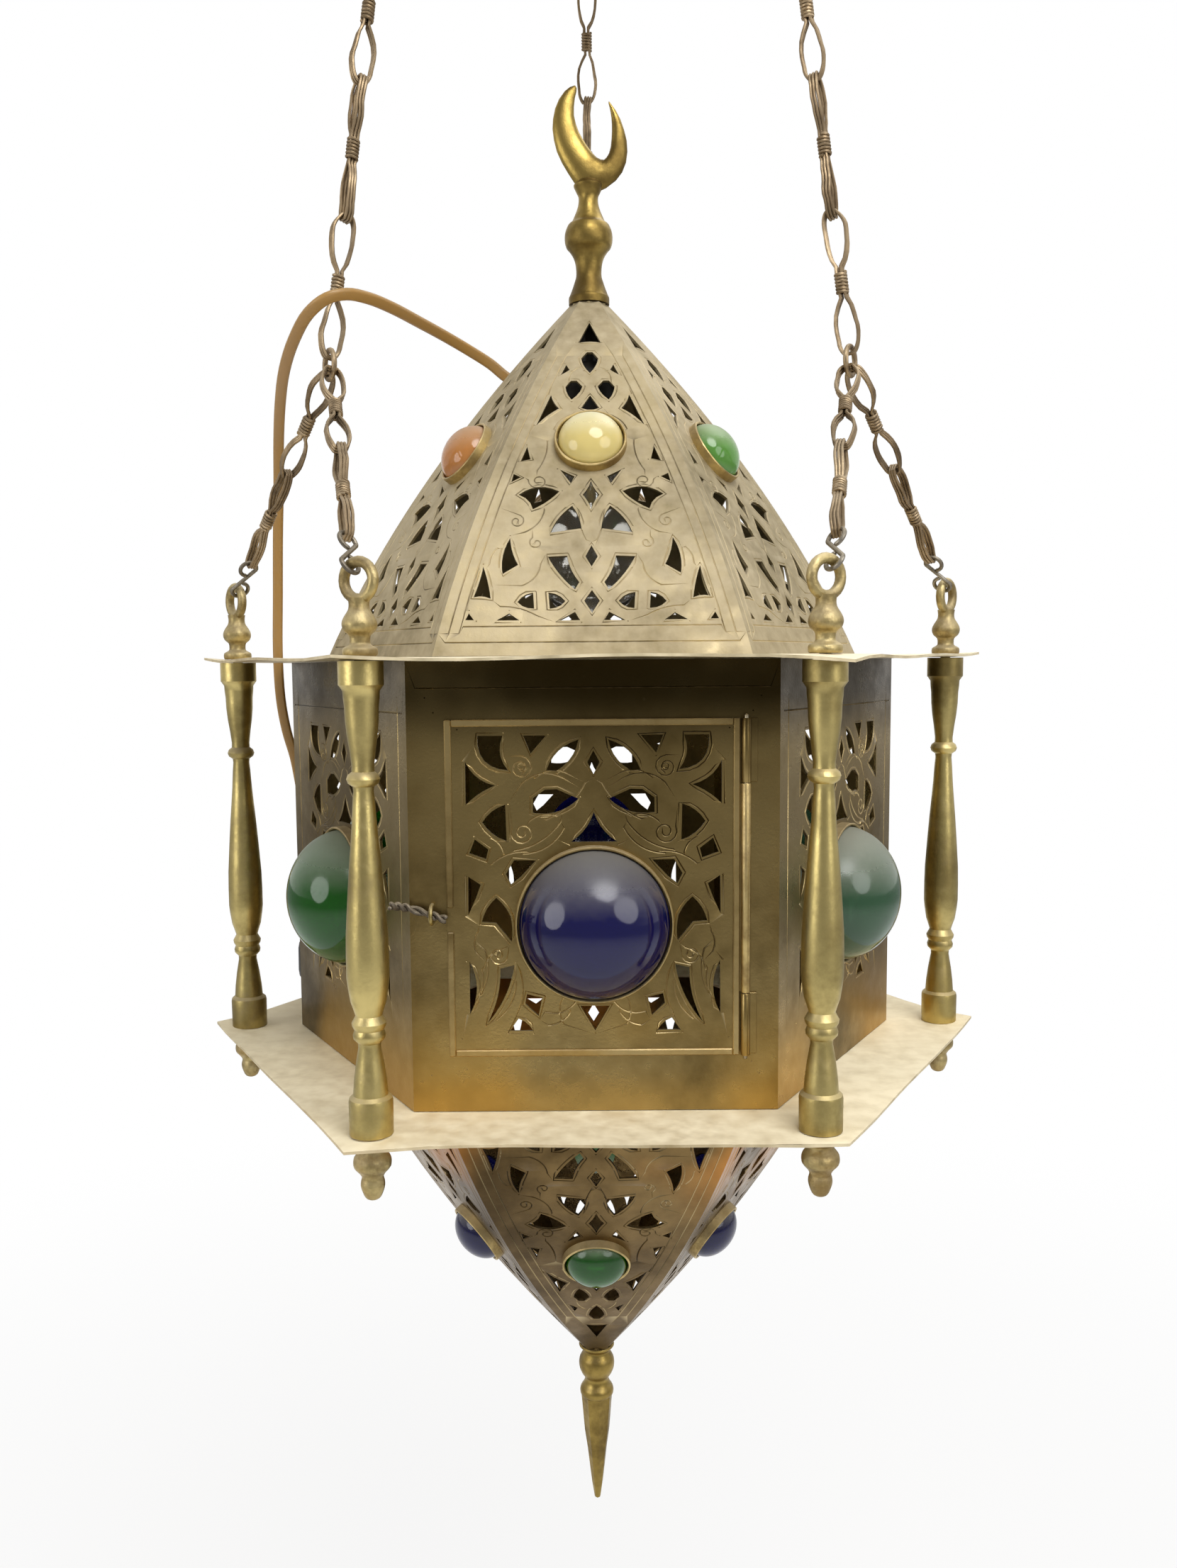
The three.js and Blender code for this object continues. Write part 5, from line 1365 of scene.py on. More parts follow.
def panel_frame() -> list[list[Flat]]:
    """Returns the scribed frame close round the openings of a panel."""
    return framing(PANEL_MIDDLE - PANEL_HIGH, PANEL_MIDDLE + PANEL_HIGH, PANEL_WIDE)


def panel_scrolls() -> list[list[Flat]]:
    """Returns the scribed scrolls and veins of a drum panel or the door."""
    return raised(scrollwork(PANEL_VOLUTES, PANEL_VEINS), PANEL_MIDDLE)


@dataclass
class Drum:
    """The six-sided drum: five pierced panels and the frame of the doorway."""

    doorway_half_width: float = 57.0
    doorway_half_height: float = 67.0
    foot: float = DRUM_MIDDLE - GALLERY_HEIGHT / 2 + SEAT
    head: float = DRUM_MIDDLE + GALLERY_HEIGHT / 2 - SEAT
    half: float = DRUM_CORNER / 2
    panel_border: Corner = (-176.0, -17.0, 69.0)
    door_border: Corner = (-179.0, -17.0, 70.5)
    doorway_border: Corner = (DRUM_MIDDLE - 75.5, DRUM_MIDDLE + 75.0, 67.0)
    line_inset: float = 4.0
    panel_line: float = -23.5
    door_line: float = -13.0

    def outline(self) -> list[Flat]:
        """Returns the outline of one face."""
        half = self.half
        return [(-half, self.foot), (half, self.foot), (half, self.head), (-half, self.head)]

    def across(self, height: float) -> list[Flat]:
        """Returns a scribed line across the face."""
        reach = self.half - self.line_inset
        return [(-reach, height), (reach, height)]

    def panel(self) -> SheetPattern:
        """Returns the pattern of a pierced face."""
        scribes = [
            *framing(*self.panel_border), *panel_frame(), self.across(self.panel_line),
            *panel_scrolls(),
        ]
        return SheetPattern(self.outline(), panel_openings(), [], scribes)

    def doorframe(self) -> SheetPattern:
        """Returns the pattern of the front face, which only frames the door."""
        wide = self.doorway_half_width
        low, high = (DRUM_MIDDLE + way * self.doorway_half_height for way in (-1, 1))
        doorway = [(-wide, low), (-wide, high), (wide, high), (wide, low)]
        scribes = [
            *framing(*self.door_border), *framing(*self.doorway_border),
            self.across(self.door_line),
        ]
        return SheetPattern(self.outline(), [doorway], [], scribes)

    def meets(self, point: Flat) -> bool:
        """Tells whether a point is on an edge where two faces meet."""
        return abs(point[0]) > self.half - EDGE_GAP

    def fold(self, azimuth: float) -> Fold:
        """Returns how a face stands round the axis."""
        turn = facing(azimuth)

        def spot(across: float, up: float, depth: float) -> Vector:
            """Places a point of the face."""
            if self.meets((across, up)):
                across = math.copysign(self.half - depth * TAN_30, across)
            return turn @ Vector((across, -DRUM_FLAT + depth, up))

        return spot

    def build(self) -> None:
        """Makes the drum with its rims, staple and hinge knuckles."""
        panel, frame = self.panel().cut(), self.doorframe().cut()
        shell, rims = Form(), Form()
        for side in Side:
            sheet = frame if side is Side.FRONT else panel
            shell.join(folded(sheet, self.fold(side.azimuth), self.meets))
            if side is not Side.FRONT:
                rims.join(LARGE_GLASS.rim(), on_face(side.azimuth, DRUM_FLAT, LARGE_GLASS_MIDDLE))
        for name, form, finish in (
            ("drum_shell", shell, DRUM_BRASS), ("drum_glass_rims", rims, RIM_BRASS),
            ("staple", Latch().staple(), COLUMN_BRASS),
            ("drum_knuckles", Hinge().drum_knuckles(), DRUM_BRASS),
        ):
            finished(name, form, finish, ["drum"])
        for side in Side:
            if side is Side.FRONT:
                continue
            place = on_face(side.azimuth, DRUM_FLAT + SEAT, LARGE_GLASS_MIDDLE)
            finished(
                f"blown_drum_glass_{side.word}", LARGE_GLASS.form().at(place),
                LARGE_GLASSES[side], [f"drum_glass_{side.word}"],
            )


@dataclass
class Hinge:
    """The door's pin hinge: two knuckles on the drum and one on the door."""

    axis_x: float = 64.0
    stand_off: float = 2.3
    radius: float = 2.0
    bore: float = 1.15
    pin_radius: float = 0.9
    half_height: float = 72.0
    knuckle: float = 27.0
    leaf: float = 5.0
    easing: tuple[float, float] = (0.2, 0.3)

    def axis(self, height: float) -> Matrix:
        """Returns the place of a point on the hinge's axis."""
        return Matrix.Translation((self.axis_x, -DRUM_FLAT - self.stand_off, DRUM_MIDDLE + height))

    def tube(self, length: float) -> Form:
        """Returns a rolled knuckle, open for its pin."""
        inset, rise = self.easing
        profile = [
            (self.bore, 0), (self.radius - inset, 0), (self.radius, rise),
            (self.radius, length - rise), (self.radius - inset, length), (self.bore, length),
        ]
        return ring_lathe(profile, 20)

    def drum_knuckles(self) -> Form:
        """Returns the two knuckles and their leaves on the drum."""
        form = Form()
        for low in (-self.half_height, self.half_height - self.knuckle):
            form.join(self.tube(self.knuckle), self.axis(low))
            foot, head = DRUM_MIDDLE + low + 0.2, DRUM_MIDDLE + low + self.knuckle - 0.2
            form.join(
                slab(
                    (self.axis_x + self.pin_radius, -DRUM_FLAT - 1.1, foot),
                    (self.axis_x + self.leaf, -DRUM_FLAT + 0.1, head),
                )
            )
        return form

    def pin(self) -> Form:
        """Returns the hinge pin with its rounded ends."""
        ends = [self.axis(way * (self.half_height + 1)).translation for way in (-1, 1)]
        return wire(ends, self.pin_radius, X)


@dataclass
class Door:
    """The pierced door with its glass, rim and middle knuckle."""

    left: float = -62.4
    right: float = 61.5
    low: float = DRUM_MIDDLE - 72.0
    high: float = DRUM_MIDDLE + 72.0
    face: float = DRUM_FLAT + SEAT + SHEET
    strip_width: float = 2.8
    strip_rise: float = 1.0
    latch_notch: tuple[float, float] = (DRUM_MIDDLE - 18.0, DRUM_MIDDLE - 7.5)

    def pattern(self) -> SheetPattern:
        """Returns what is cut and scribed in the door."""
        left, right, low, high = self.left, self.right, self.low, self.high
        outline = [(left, low), (right, low), (right, high), (left, high)]
        return SheetPattern(outline, panel_openings(), [], [*panel_frame(), *panel_scrolls()])

    def strips(self) -> Form:
        """Returns the raised strips along the door's edges, open where the latch passes."""
        wide = self.strip_width
        left, right = self.left + wide, self.right - wide
        notch_low, notch_high = self.latch_notch
        form = Form()
        for start, end, foot, head in (
            (self.left, left, self.low, notch_low), (self.left, left, notch_high, self.high),
            (right, self.right, self.low, self.high), (left, right, self.low, self.low + wide),
            (left, right, self.high - wide, self.high),
        ):
            outer, inner = -self.face - self.strip_rise, -self.face + SHEET / 2
            form.join(slab((start, outer, foot), (end, inner, head), 0.4))
        return form

    def fold(self, across: float, up: float, depth: float) -> Vector:
        """Places a point of the door."""
        return Vector((across, -self.face + depth, up))

    def build(self) -> None:
        """Makes the door and what is fixed to it."""
        leaf = folded(self.pattern().cut(), self.fold)
        hinge = Hinge()
        length = 2 * (hinge.half_height - hinge.knuckle - SEAT)
        leaf.join(
            slab(
                (self.right - 0.2, -self.face, DRUM_MIDDLE - length / 2),
                (hinge.axis_x - 1.0, -self.face + SHEET, DRUM_MIDDLE + length / 2),
            )
        )
        rim = LARGE_GLASS.rim().at(on_face(0, self.face, LARGE_GLASS_MIDDLE))
        glass = LARGE_GLASS.form().at(on_face(0, self.face + SEAT, LARGE_GLASS_MIDDLE))
        knuckle = hinge.tube(length).at(hinge.axis(-length / 2))
        for name, form, finish, node in (
            ("door_leaf", leaf, DRUM_BRASS, "door"),
            ("door_edge_strips", self.strips(), DOOR_EDGE_HIGHLIT_BRASS, "door"),
            ("door_knuckle", knuckle, RIM_BRASS, "door"),
            ("door_glass_rim", rim, RIM_BRASS, "door"),
            ("blown_door_glass", glass, LARGE_GLASSES[Side.FRONT], "door_glass"),
        ):
            finished(name, form, finish, [node], DOOR)
        finished("worn_hinge_pin", hinge.pin(), HINGE_STEEL, ["hinge_pin"])


@dataclass
class Latch:
    """A doubled twisted wire that slides through a brass staple."""

    staple_x: float = -68.8
    height: float = DRUM_MIDDLE - 10.2
    slope: float = math.radians(18)
    wire_radius: float = 1.0
    stand_off: float = 1.9
    right_reach: float = 5.9
    left_reach: float = 17.0
    twists: float = 2.5
    staple_rise: float = 3.3
    staple_radius: float = 3.7
    staple_wire: float = 0.9

    def staple(self) -> Form:
        """Returns the half ring that the wire slides through."""
        foot = Vector((self.staple_x, -DRUM_FLAT, self.height))
        line = bend(foot - Y * self.staple_rise, self.staple_radius, -Y, Z, -90, 90)
        back = Y * self.staple_radius
        return wire([line[0] + back, *line, line[-1] + back], self.staple_wire, X)

    def wires(self) -> Form:
        """Returns the two strands, twisted about each other."""
        along = Vector((math.cos(self.slope), 0, -math.sin(self.slope)))
        out = -Y
        across = along.cross(out)
        layers = DRUM_FLAT + 2 * SEAT + SHEET + self.stand_off
        middle = Vector((self.staple_x, -layers, self.height))
        spine = curve_through(
            [
                middle + along * self.right_reach, middle, middle - along * self.left_reach * 0.55,
                middle - along * self.left_reach * 0.8 + out * 2,
                middle - along * self.left_reach + out * 6,
            ],
            10,
        )
        form = Form()
        for strand in (0.0, math.pi):
            line = []
            for i, point in enumerate(spine):
                angle = strand + 2 * math.pi * self.twists * i / (len(spine) - 1)
                shift = across * math.cos(angle) + out * math.sin(angle)
                line.append(point + shift * self.wire_radius * 0.98)
            form.join(wire(line, self.wire_radius, across))
        return form

    def build(self) -> None:
        """Makes the latch."""
        finished("twisted_latch", self.wires(), DARK_IRON, ["latch_wire"], LATCH)


@dataclass
class Roof:
    """A six-sided pyramid with bowed faces, pierced and set with small glasses.

    Upright is 1 if it stands on its plate and -1 if it hangs.
    """

    word: str
    base: float
    upright: int
    finish: MetalFinish
    glasses: GlassSet
    corner: float = 137.9
    first: float = 0.4537
    second: float = 0.001495
    height: float = 178.0
    slant_first: float = 1.0568
    slant_second: float = 0.000683
    bends: int = 20
    cross_lines: tuple[Flat, Flat] = ((6.2, 4.0), (13.6, 10.0))
    edge_insets: tuple[float, float] = (4.5, 9.0)
    edge_reach: tuple[float, float] = (6.0, 172.0)
    tip_hole: float = 3.4

    def corner_at(self, height: float) -> float:
        """Returns the distance of the corner from the axis at a height."""
        return self.corner - self.first * height - self.second * height * height

    def height_at(self, up: float) -> float:
        """Returns the height of a point that far up the slope."""
        root = math.sqrt(self.slant_first**2 + 4 * self.slant_second * up)
        return min((root - self.slant_first) / (2 * self.slant_second), self.height)

    def lean_at(self, height: float) -> float:
        """Returns how far the face leans back at a height, in radians."""
        return math.atan((self.first + 2 * self.second * height) * FLAT_TO_CORNER)

    def up_to(self, height: float) -> float:
        """Returns the way up the slope to a height."""
        return self.slant_first * height + self.slant_second * height * height

    def half_width(self, up: float) -> float:
        """Returns half the width of a face that far up the slope."""
        return self.corner_at(self.height_at(up)) / 2

    def across(self, up: float, inset: float = 0.0) -> tuple[Flat, Flat]:
        """Returns a line across the face, kept off its edges by an inset."""
        reach = self.half_width(up) - inset
        return ((-reach, up), (reach, up))

    def pattern(self) -> SheetPattern:
        """Returns what is cut and scribed in one face."""
        levels = [self.up_to(self.height) * i / self.bends for i in range(self.bends + 1)]
        right = [(self.half_width(up), up) for up in levels]
        left = [(-x, y) for x, y in reversed(right)]
        hole = SMALL_GLASS.hole(self.up_to(SMALL_GLASS_RISE), 32)
        scribes = [list(self.across(*line)) for line in self.cross_lines]
        low, high = self.edge_reach
        for inset in self.edge_insets:
            edge = [(self.half_width(up) - inset, up) for up in levels if low < up < high]
            scribes += mirrored([edge])
        return SheetPattern(
            [*right, *left], [*both_sides(ROOF_MIDDLES, ROOF_PAIRS), hole],
            [self.across(up) for up in levels[1:-1]],
            [*scribes, *scrollwork(ROOF_VOLUTES, ROOF_VEINS)],
        )

    def meets(self, point: Flat) -> bool:
        """Tells whether a point is on an edge where two faces meet."""
        return abs(point[0]) > self.half_width(point[1]) - EDGE_GAP

    def fold(self, azimuth: float) -> Fold:
        """Returns how a face stands round the axis."""
        turn = facing(azimuth)

        def spot(across: float, up: float, depth: float) -> Vector:
            """Places a point of the face."""
            height = self.height_at(up)
            lean = self.lean_at(height)
            flat = self.corner_at(height) * FLAT_TO_CORNER - depth * math.cos(lean)
            drop = depth * math.sin(lean) if 0 < up < self.up_to(self.height) else 0.0
            if self.meets((across, up)):
                across = math.copysign(self.half_width(up) - depth * TAN_30, across)
            return turn @ Vector((across, -flat, self.base + self.upright * (height - drop)))

        return spot

    def seats(self) -> dict[Side, Matrix]:
        """Returns the seat of the small glass on each face."""
        lean = self.upright * self.lean_at(SMALL_GLASS_RISE)
        flat = self.corner_at(SMALL_GLASS_RISE) * FLAT_TO_CORNER
        middle = self.base + self.upright * SMALL_GLASS_RISE
        return {side: on_face(side.azimuth, flat, middle, lean) for side in Side}

    def tip(self) -> Form:
        """Returns the small plate that closes the tip round its hole."""
        reach = self.corner_at(self.height)
        low, high = (self.base + self.upright * (self.height - down) for down in (SHEET, 0.1))
        profile = [
            (self.tip_hole, low), (reach - 0.6, low), (reach - 0.3, high), (self.tip_hole, high),
        ]
        return lathe(profile, 6, math.pi / 6)

    def build(self) -> None:
        """Makes the pyramid with its rims and glasses."""
        sheet = self.pattern().cut()
        shell, rims = Form(), Form()
        for side in Side:
            shell.join(folded(sheet, self.fold(side.azimuth), self.meets))
        node = f"{self.word}_pyramid"
        finished(f"{node}_shell", shell.join(self.tip()), self.finish, [node])
        for side, seat in self.seats().items():
            rims.join(SMALL_GLASS.rim(), seat)
            word = f"{self.word}_glass_{side.word}"
            glass = SMALL_GLASS.form().at(seat @ Matrix.Translation(Z * SEAT))
            finished(f"blown_{word}", glass, self.glasses[side], [word])
        finished(f"{self.word}_glass_rims", rims, RIM_BRASS, [node])


@dataclass
class Plate:
    """One of the two thin hexagonal plates, a little sprung out of flat."""

    word: str
    top: float
    phase: float
    corner: float = 202.6
    opening: float = 118.0
    bolt_hole: float = 2.8
    guide_corners: tuple[float, ...] = (140.0, 155.0, 169.0, 193.0, 198.5)
    wave: float = 1.9
    wave_start: float = 150.0
    droop: float = 2.2
    droop_start: float = 190.0

    def pattern(self) -> SheetPattern:
        """Returns what is cut in the plate, with guide lines for its waves."""
        openings = [self.hexagon(self.opening, 4)]
        for post in Post:
            x, y = polar(post.azimuth, COLUMN_CIRCLE).xy
            openings.append([(x + dx, y + dy) for dx, dy in circle(self.bolt_hole, 12)])
        rings = [following(self.hexagon(corner, 12)) for corner in self.guide_corners]
        return SheetPattern(self.hexagon(self.corner, 12), openings, sum(rings, []))

    def hexagon(self, corner: float, steps: int) -> list[Flat]:
        """Returns a hexagon with its sides divided into steps."""
        corners = [polar(30 + 60 * i, corner) for i in range(6)]
        line = []
        for start, end in following(corners):
            line += [tuple(start.lerp(end, k / steps).xy) for k in range(steps)]
        return line

    def sag(self, x: float, y: float) -> float:
        """Returns how far the plate is out of flat at a place."""
        radius = math.hypot(x, y)
        angle = math.atan2(x, -y)
        rim = max(0.0, (radius - self.wave_start) / 50.0)
        hold = abs(math.cos(3 * angle))
        ripple = math.sin(5 * angle + self.phase) + 0.6 * math.sin(11 * angle + 2 * self.phase)
        corner = max(0.0, (radius - self.droop_start) / 12.0)
        curl = math.sin(2 * angle + self.phase) * corner
        return rim * rim * ripple * self.wave * hold - curl * self.droop

    def fold(self, x: float, y: float, depth: float) -> Vector:
        """Places a point of the plate."""
        return Vector((x, y, self.top - depth + self.sag(x, y)))

    def build(self) -> None:
        """Makes the plate."""
        form = folded(self.pattern().cut(), self.fold)
        finished(f"sprung_{self.word}", form, PLATE_BRASS, [self.word])


# Turned and cast pieces


COLUMN_TURNING = [
    (9.1, 0), (9.1, 9.6), (8.6, 10.2), (7.4, 12), (7.25, 15), (6.9, 18), (6.7, 24), (6.1, 30),
    (5.2, 36), (4.5, 42), (4.6, 44.5), (6.2, 45.8), (6.8, 47.5), (6.2, 49.2), (4.3, 50.6),
    (4.1, 52.5), (4.5, 57), (5.05, 66), (5.8, 75), (6.6, 84), (7.5, 96), (8.1, 105),
    (8.5, 111), (8.7, 120), (8.7, 129), (8.3, 133), (7.4, 139), (6.4, 142), (5.5, 145),
    (6.2, 146.4), (7.1, 148), (6.9, 149.4), (6.0, 151), (6.7, 153), (6.5, 154.6), (4.7, 156.6),
    (4.6, 158.5), (5.9, 166), (6.8, 173), (7.2, 178.4), (8.8, 179.8), (9.1, 181.2), (9.0, 195.0),
]
EYE_TURNING = [
    (6.4, 0), (6.9, 0.6), (6.9, 2.9), (6.4, 3.5), (4.3, 4.8), (4.1, 6.4), (4.4, 8.3),
    (6.2, 10), (7.0, 12), (6.9, 13.8), (6.0, 15.8), (4.4, 18.4), (4.1, 20.5), (4.4, 23),
]
DROP_TURNING = [
    (6.4, 0), (6.9, 0.5), (6.9, 2.8), (5.5, 4.6), (5.7, 6), (7.5, 8.4), (7.9, 10.4),
    (7.6, 12.4), (5.4, 15), (4.5, 16.8), (4.9, 18.6), (5.0, 20.6), (4.2, 23.4), (2.9, 25.8),
    (0, 27),
]
STEM_TURNING = [
    (10.3, 0), (10.3, 3.4), (9.9, 4.2), (8.4, 8), (7.4, 11), (6.5, 14), (6.5, 18), (7.0, 21),
    (8.1, 24), (9.9, 26.7), (11.2, 28.2), (12.0, 30.6), (12.0, 35), (11, 37.9), (10.3, 39.2),
    (8.6, 40.6), (7.2, 43.4), (6.1, 46), (5.1, 49.5), (5.0, 53), (5.9, 55), (6.6, 56.5),
    (7.4, 58.6), (5.0, 61.0), (0, 61.6),
]
SPIKE_TURNING = [
    (9.0, 0), (9.6, 0.5), (9.6, 1.2), (8.2, 2.6), (7.3, 4), (8.0, 6), (9.3, 8.6), (9.7, 11.2),
    (9.4, 14), (8.2, 17), (6.8, 19.2), (6.5, 20.6), (7.3, 23), (8.8, 25.4), (9.2, 27.4),
    (8.6, 29.4), (6.5, 30),
]
SPIKE_TAPER = [
    (0, 28), (6.2, 28), (8.6, 29.8), (8.2, 34), (6.9, 50), (5.3, 61), (4.2, 71), (3.0, 81),
    (1.6, 90), (0.4, 91), (0, 91),
]
CRESCENT_RIBS = [
    ((-6.6, 285.7), (-6.0, 285.5), 0.5), ((-9.0, 284.9), (-5.4, 284.4), 1.6),
    ((-11.6, 282.9), (-5.6, 282.6), 2.7), ((-14.4, 279.2), (-6.4, 279.6), 3.6),
    ((-16.4, 274.7), (-6.9, 275.4), 4.3), ((-17.5, 269.6), (-6.9, 271.2), 4.9),
    ((-17.8, 264.8), (-5.9, 267.0), 5.5), ((-17.1, 259.3), (-4.5, 263.3), 6.1),
    ((-15.7, 253.8), (-2.6, 260.0), 6.7), ((-13.2, 248.4), (-0.4, 256.6), 7.2),
    ((-10.2, 243.4), (2.0, 253.4), 7.7), ((-7.0, 238.6), (4.4, 251.0), 8.0),
    ((-2.6, 235.0), (6.6, 249.9), 8.2), ((3.4, 233.6), (8.2, 249.8), 8.0),
    ((9.0, 236.0), (9.3, 250.9), 7.5), ((14.0, 239.6), (10.6, 253.0), 6.8),
    ((17.2, 243.6), (11.5, 256.2), 6.0), ((19.2, 248.4), (11.9, 260.0), 5.3),
    ((19.9, 253.6), (12.1, 263.6), 4.6), ((19.6, 258.9), (12.1, 266.8), 4.0),
    ((18.3, 264.1), (11.9, 269.9), 3.4), ((16.5, 269.2), (11.5, 272.7), 2.7),
    ((14.2, 273.5), (11.0, 275.0), 1.9), ((11.9, 276.6), (10.5, 276.9), 0.9),
    ((10.9, 277.9), (10.5, 277.8), 0.4),
]


@dataclass
class Gallery:
    """The six turned columns with an eye above and a drop below each."""

    shank_radius: float = 2.5
    ring_radius: float = 7.4
    ring_wire: float = 2.25
    ring_height: float = 30.3
    eye_head: float = 23.6
    drop_shank: float = 1.5

    def column(self) -> Form:
        """Returns a column, standing on the origin's plate line."""
        top = -SHEET - SEAT
        stretch = (GALLERY_HEIGHT - 2 * SEAT) / COLUMN_TURNING[-1][1]
        profile = [(radius, top - down * stretch) for radius, down in COLUMN_TURNING]
        return lathe([(0, top), *profile, (0, profile[-1][1])], 36)

    def eye(self, direction: float) -> Form:
        """Returns an eye whose ring faces a direction."""
        shank, radius = -SHEET - SEAT, self.shank_radius
        turned = smooth_profile([(wide, SEAT + up) for wide, up in EYE_TURNING])
        stem = [(0, shank), (radius, shank), (radius, SEAT), *turned, (0, self.eye_head)]
        turn = facing(direction)
        line = bend(Z * self.ring_height, self.ring_radius, turn @ X, Z, 0, 345)
        ring = swept(line, lambda _: circle(self.ring_wire, 12), turn @ Y, True)
        return lathe(stem, 28).join(ring)

    def drop(self) -> Form:
        """Returns a drop, hanging under the bottom plate."""
        top, radius = BOTTOM_PLATE_UNDERSIDE - SEAT, self.shank_radius
        head = top + self.drop_shank
        turned = smooth_profile([(wide, top - down) for wide, down in DROP_TURNING])
        return lathe([(0, head), (radius, head), (radius, top), *turned], 28)

    def build(self) -> None:
        """Makes all eighteen pieces."""
        for post in Post:
            stand = Matrix.Translation(polar(post.azimuth, COLUMN_CIRCLE))
            turned = stand @ facing(post.azimuth)
            for way, word, form, finish in (
                ("turned", "column", self.column().at(turned), COLUMN_BRASS),
                ("cast", "eye", self.eye(post.facing).at(stand), PITTED_BRASS),
                ("turned", "drop", self.drop().at(stand), PITTED_BRASS),
            ):
                node = f"{word}_{post.word}"
                finished(f"{way}_{node}", form, finish, [node])


@dataclass
class Finials:
    """The crescent above and the spike below."""

    stem_foot: float = SEAT + 178.0 + SEAT
    spike_top: float = BOTTOM_PLATE_UNDERSIDE - SEAT - 178.0 - SEAT
    spike_foot: float = 30.0
    rib_sides: int = 20

    def crescent(self) -> Form:
        """Returns the crescent on its turned stem."""
        profile = [(radius, self.stem_foot + up) for radius, up in STEM_TURNING]
        stem = lathe([(0, self.stem_foot), *smooth_profile(profile[:-1]), profile[-1]], 36)
        angles = [2 * math.pi * k / self.rib_sides for k in range(self.rib_sides)]
        loops = []
        for outer, inner, thick in CRESCENT_RIBS:
            a, b = (Vector((x, 0, z)) for x, z in (outer, inner))
            middle, half = (a + b) / 2, (a - b) / 2
            rib = [middle + half * math.cos(t) + Y * (thick / 2 * math.sin(t)) for t in angles]
            loops.append(rib)
        return stem.join(skin(loops))

    def spike(self) -> Form:
        """Returns the turned spike with its filed taper."""
        top = self.spike_top
        turned = smooth_profile([(radius, top - down) for radius, down in SPIKE_TURNING])
        blade = [(radius, top - down) for radius, down in SPIKE_TAPER]
        stem = lathe([(0, top), *turned, (0, top - self.spike_foot)], 36)
        return stem.join(lathe(blade, 8, math.radians(10)))

    def build(self) -> None:
        """Makes both finials."""
        finished("cast_crescent", self.crescent(), FINIAL_BRASS, ["crescent_finial"])
        finished("filed_spike", self.spike(), FINIAL_BRASS, ["bottom_spike"], crease=25.0)


# Chains


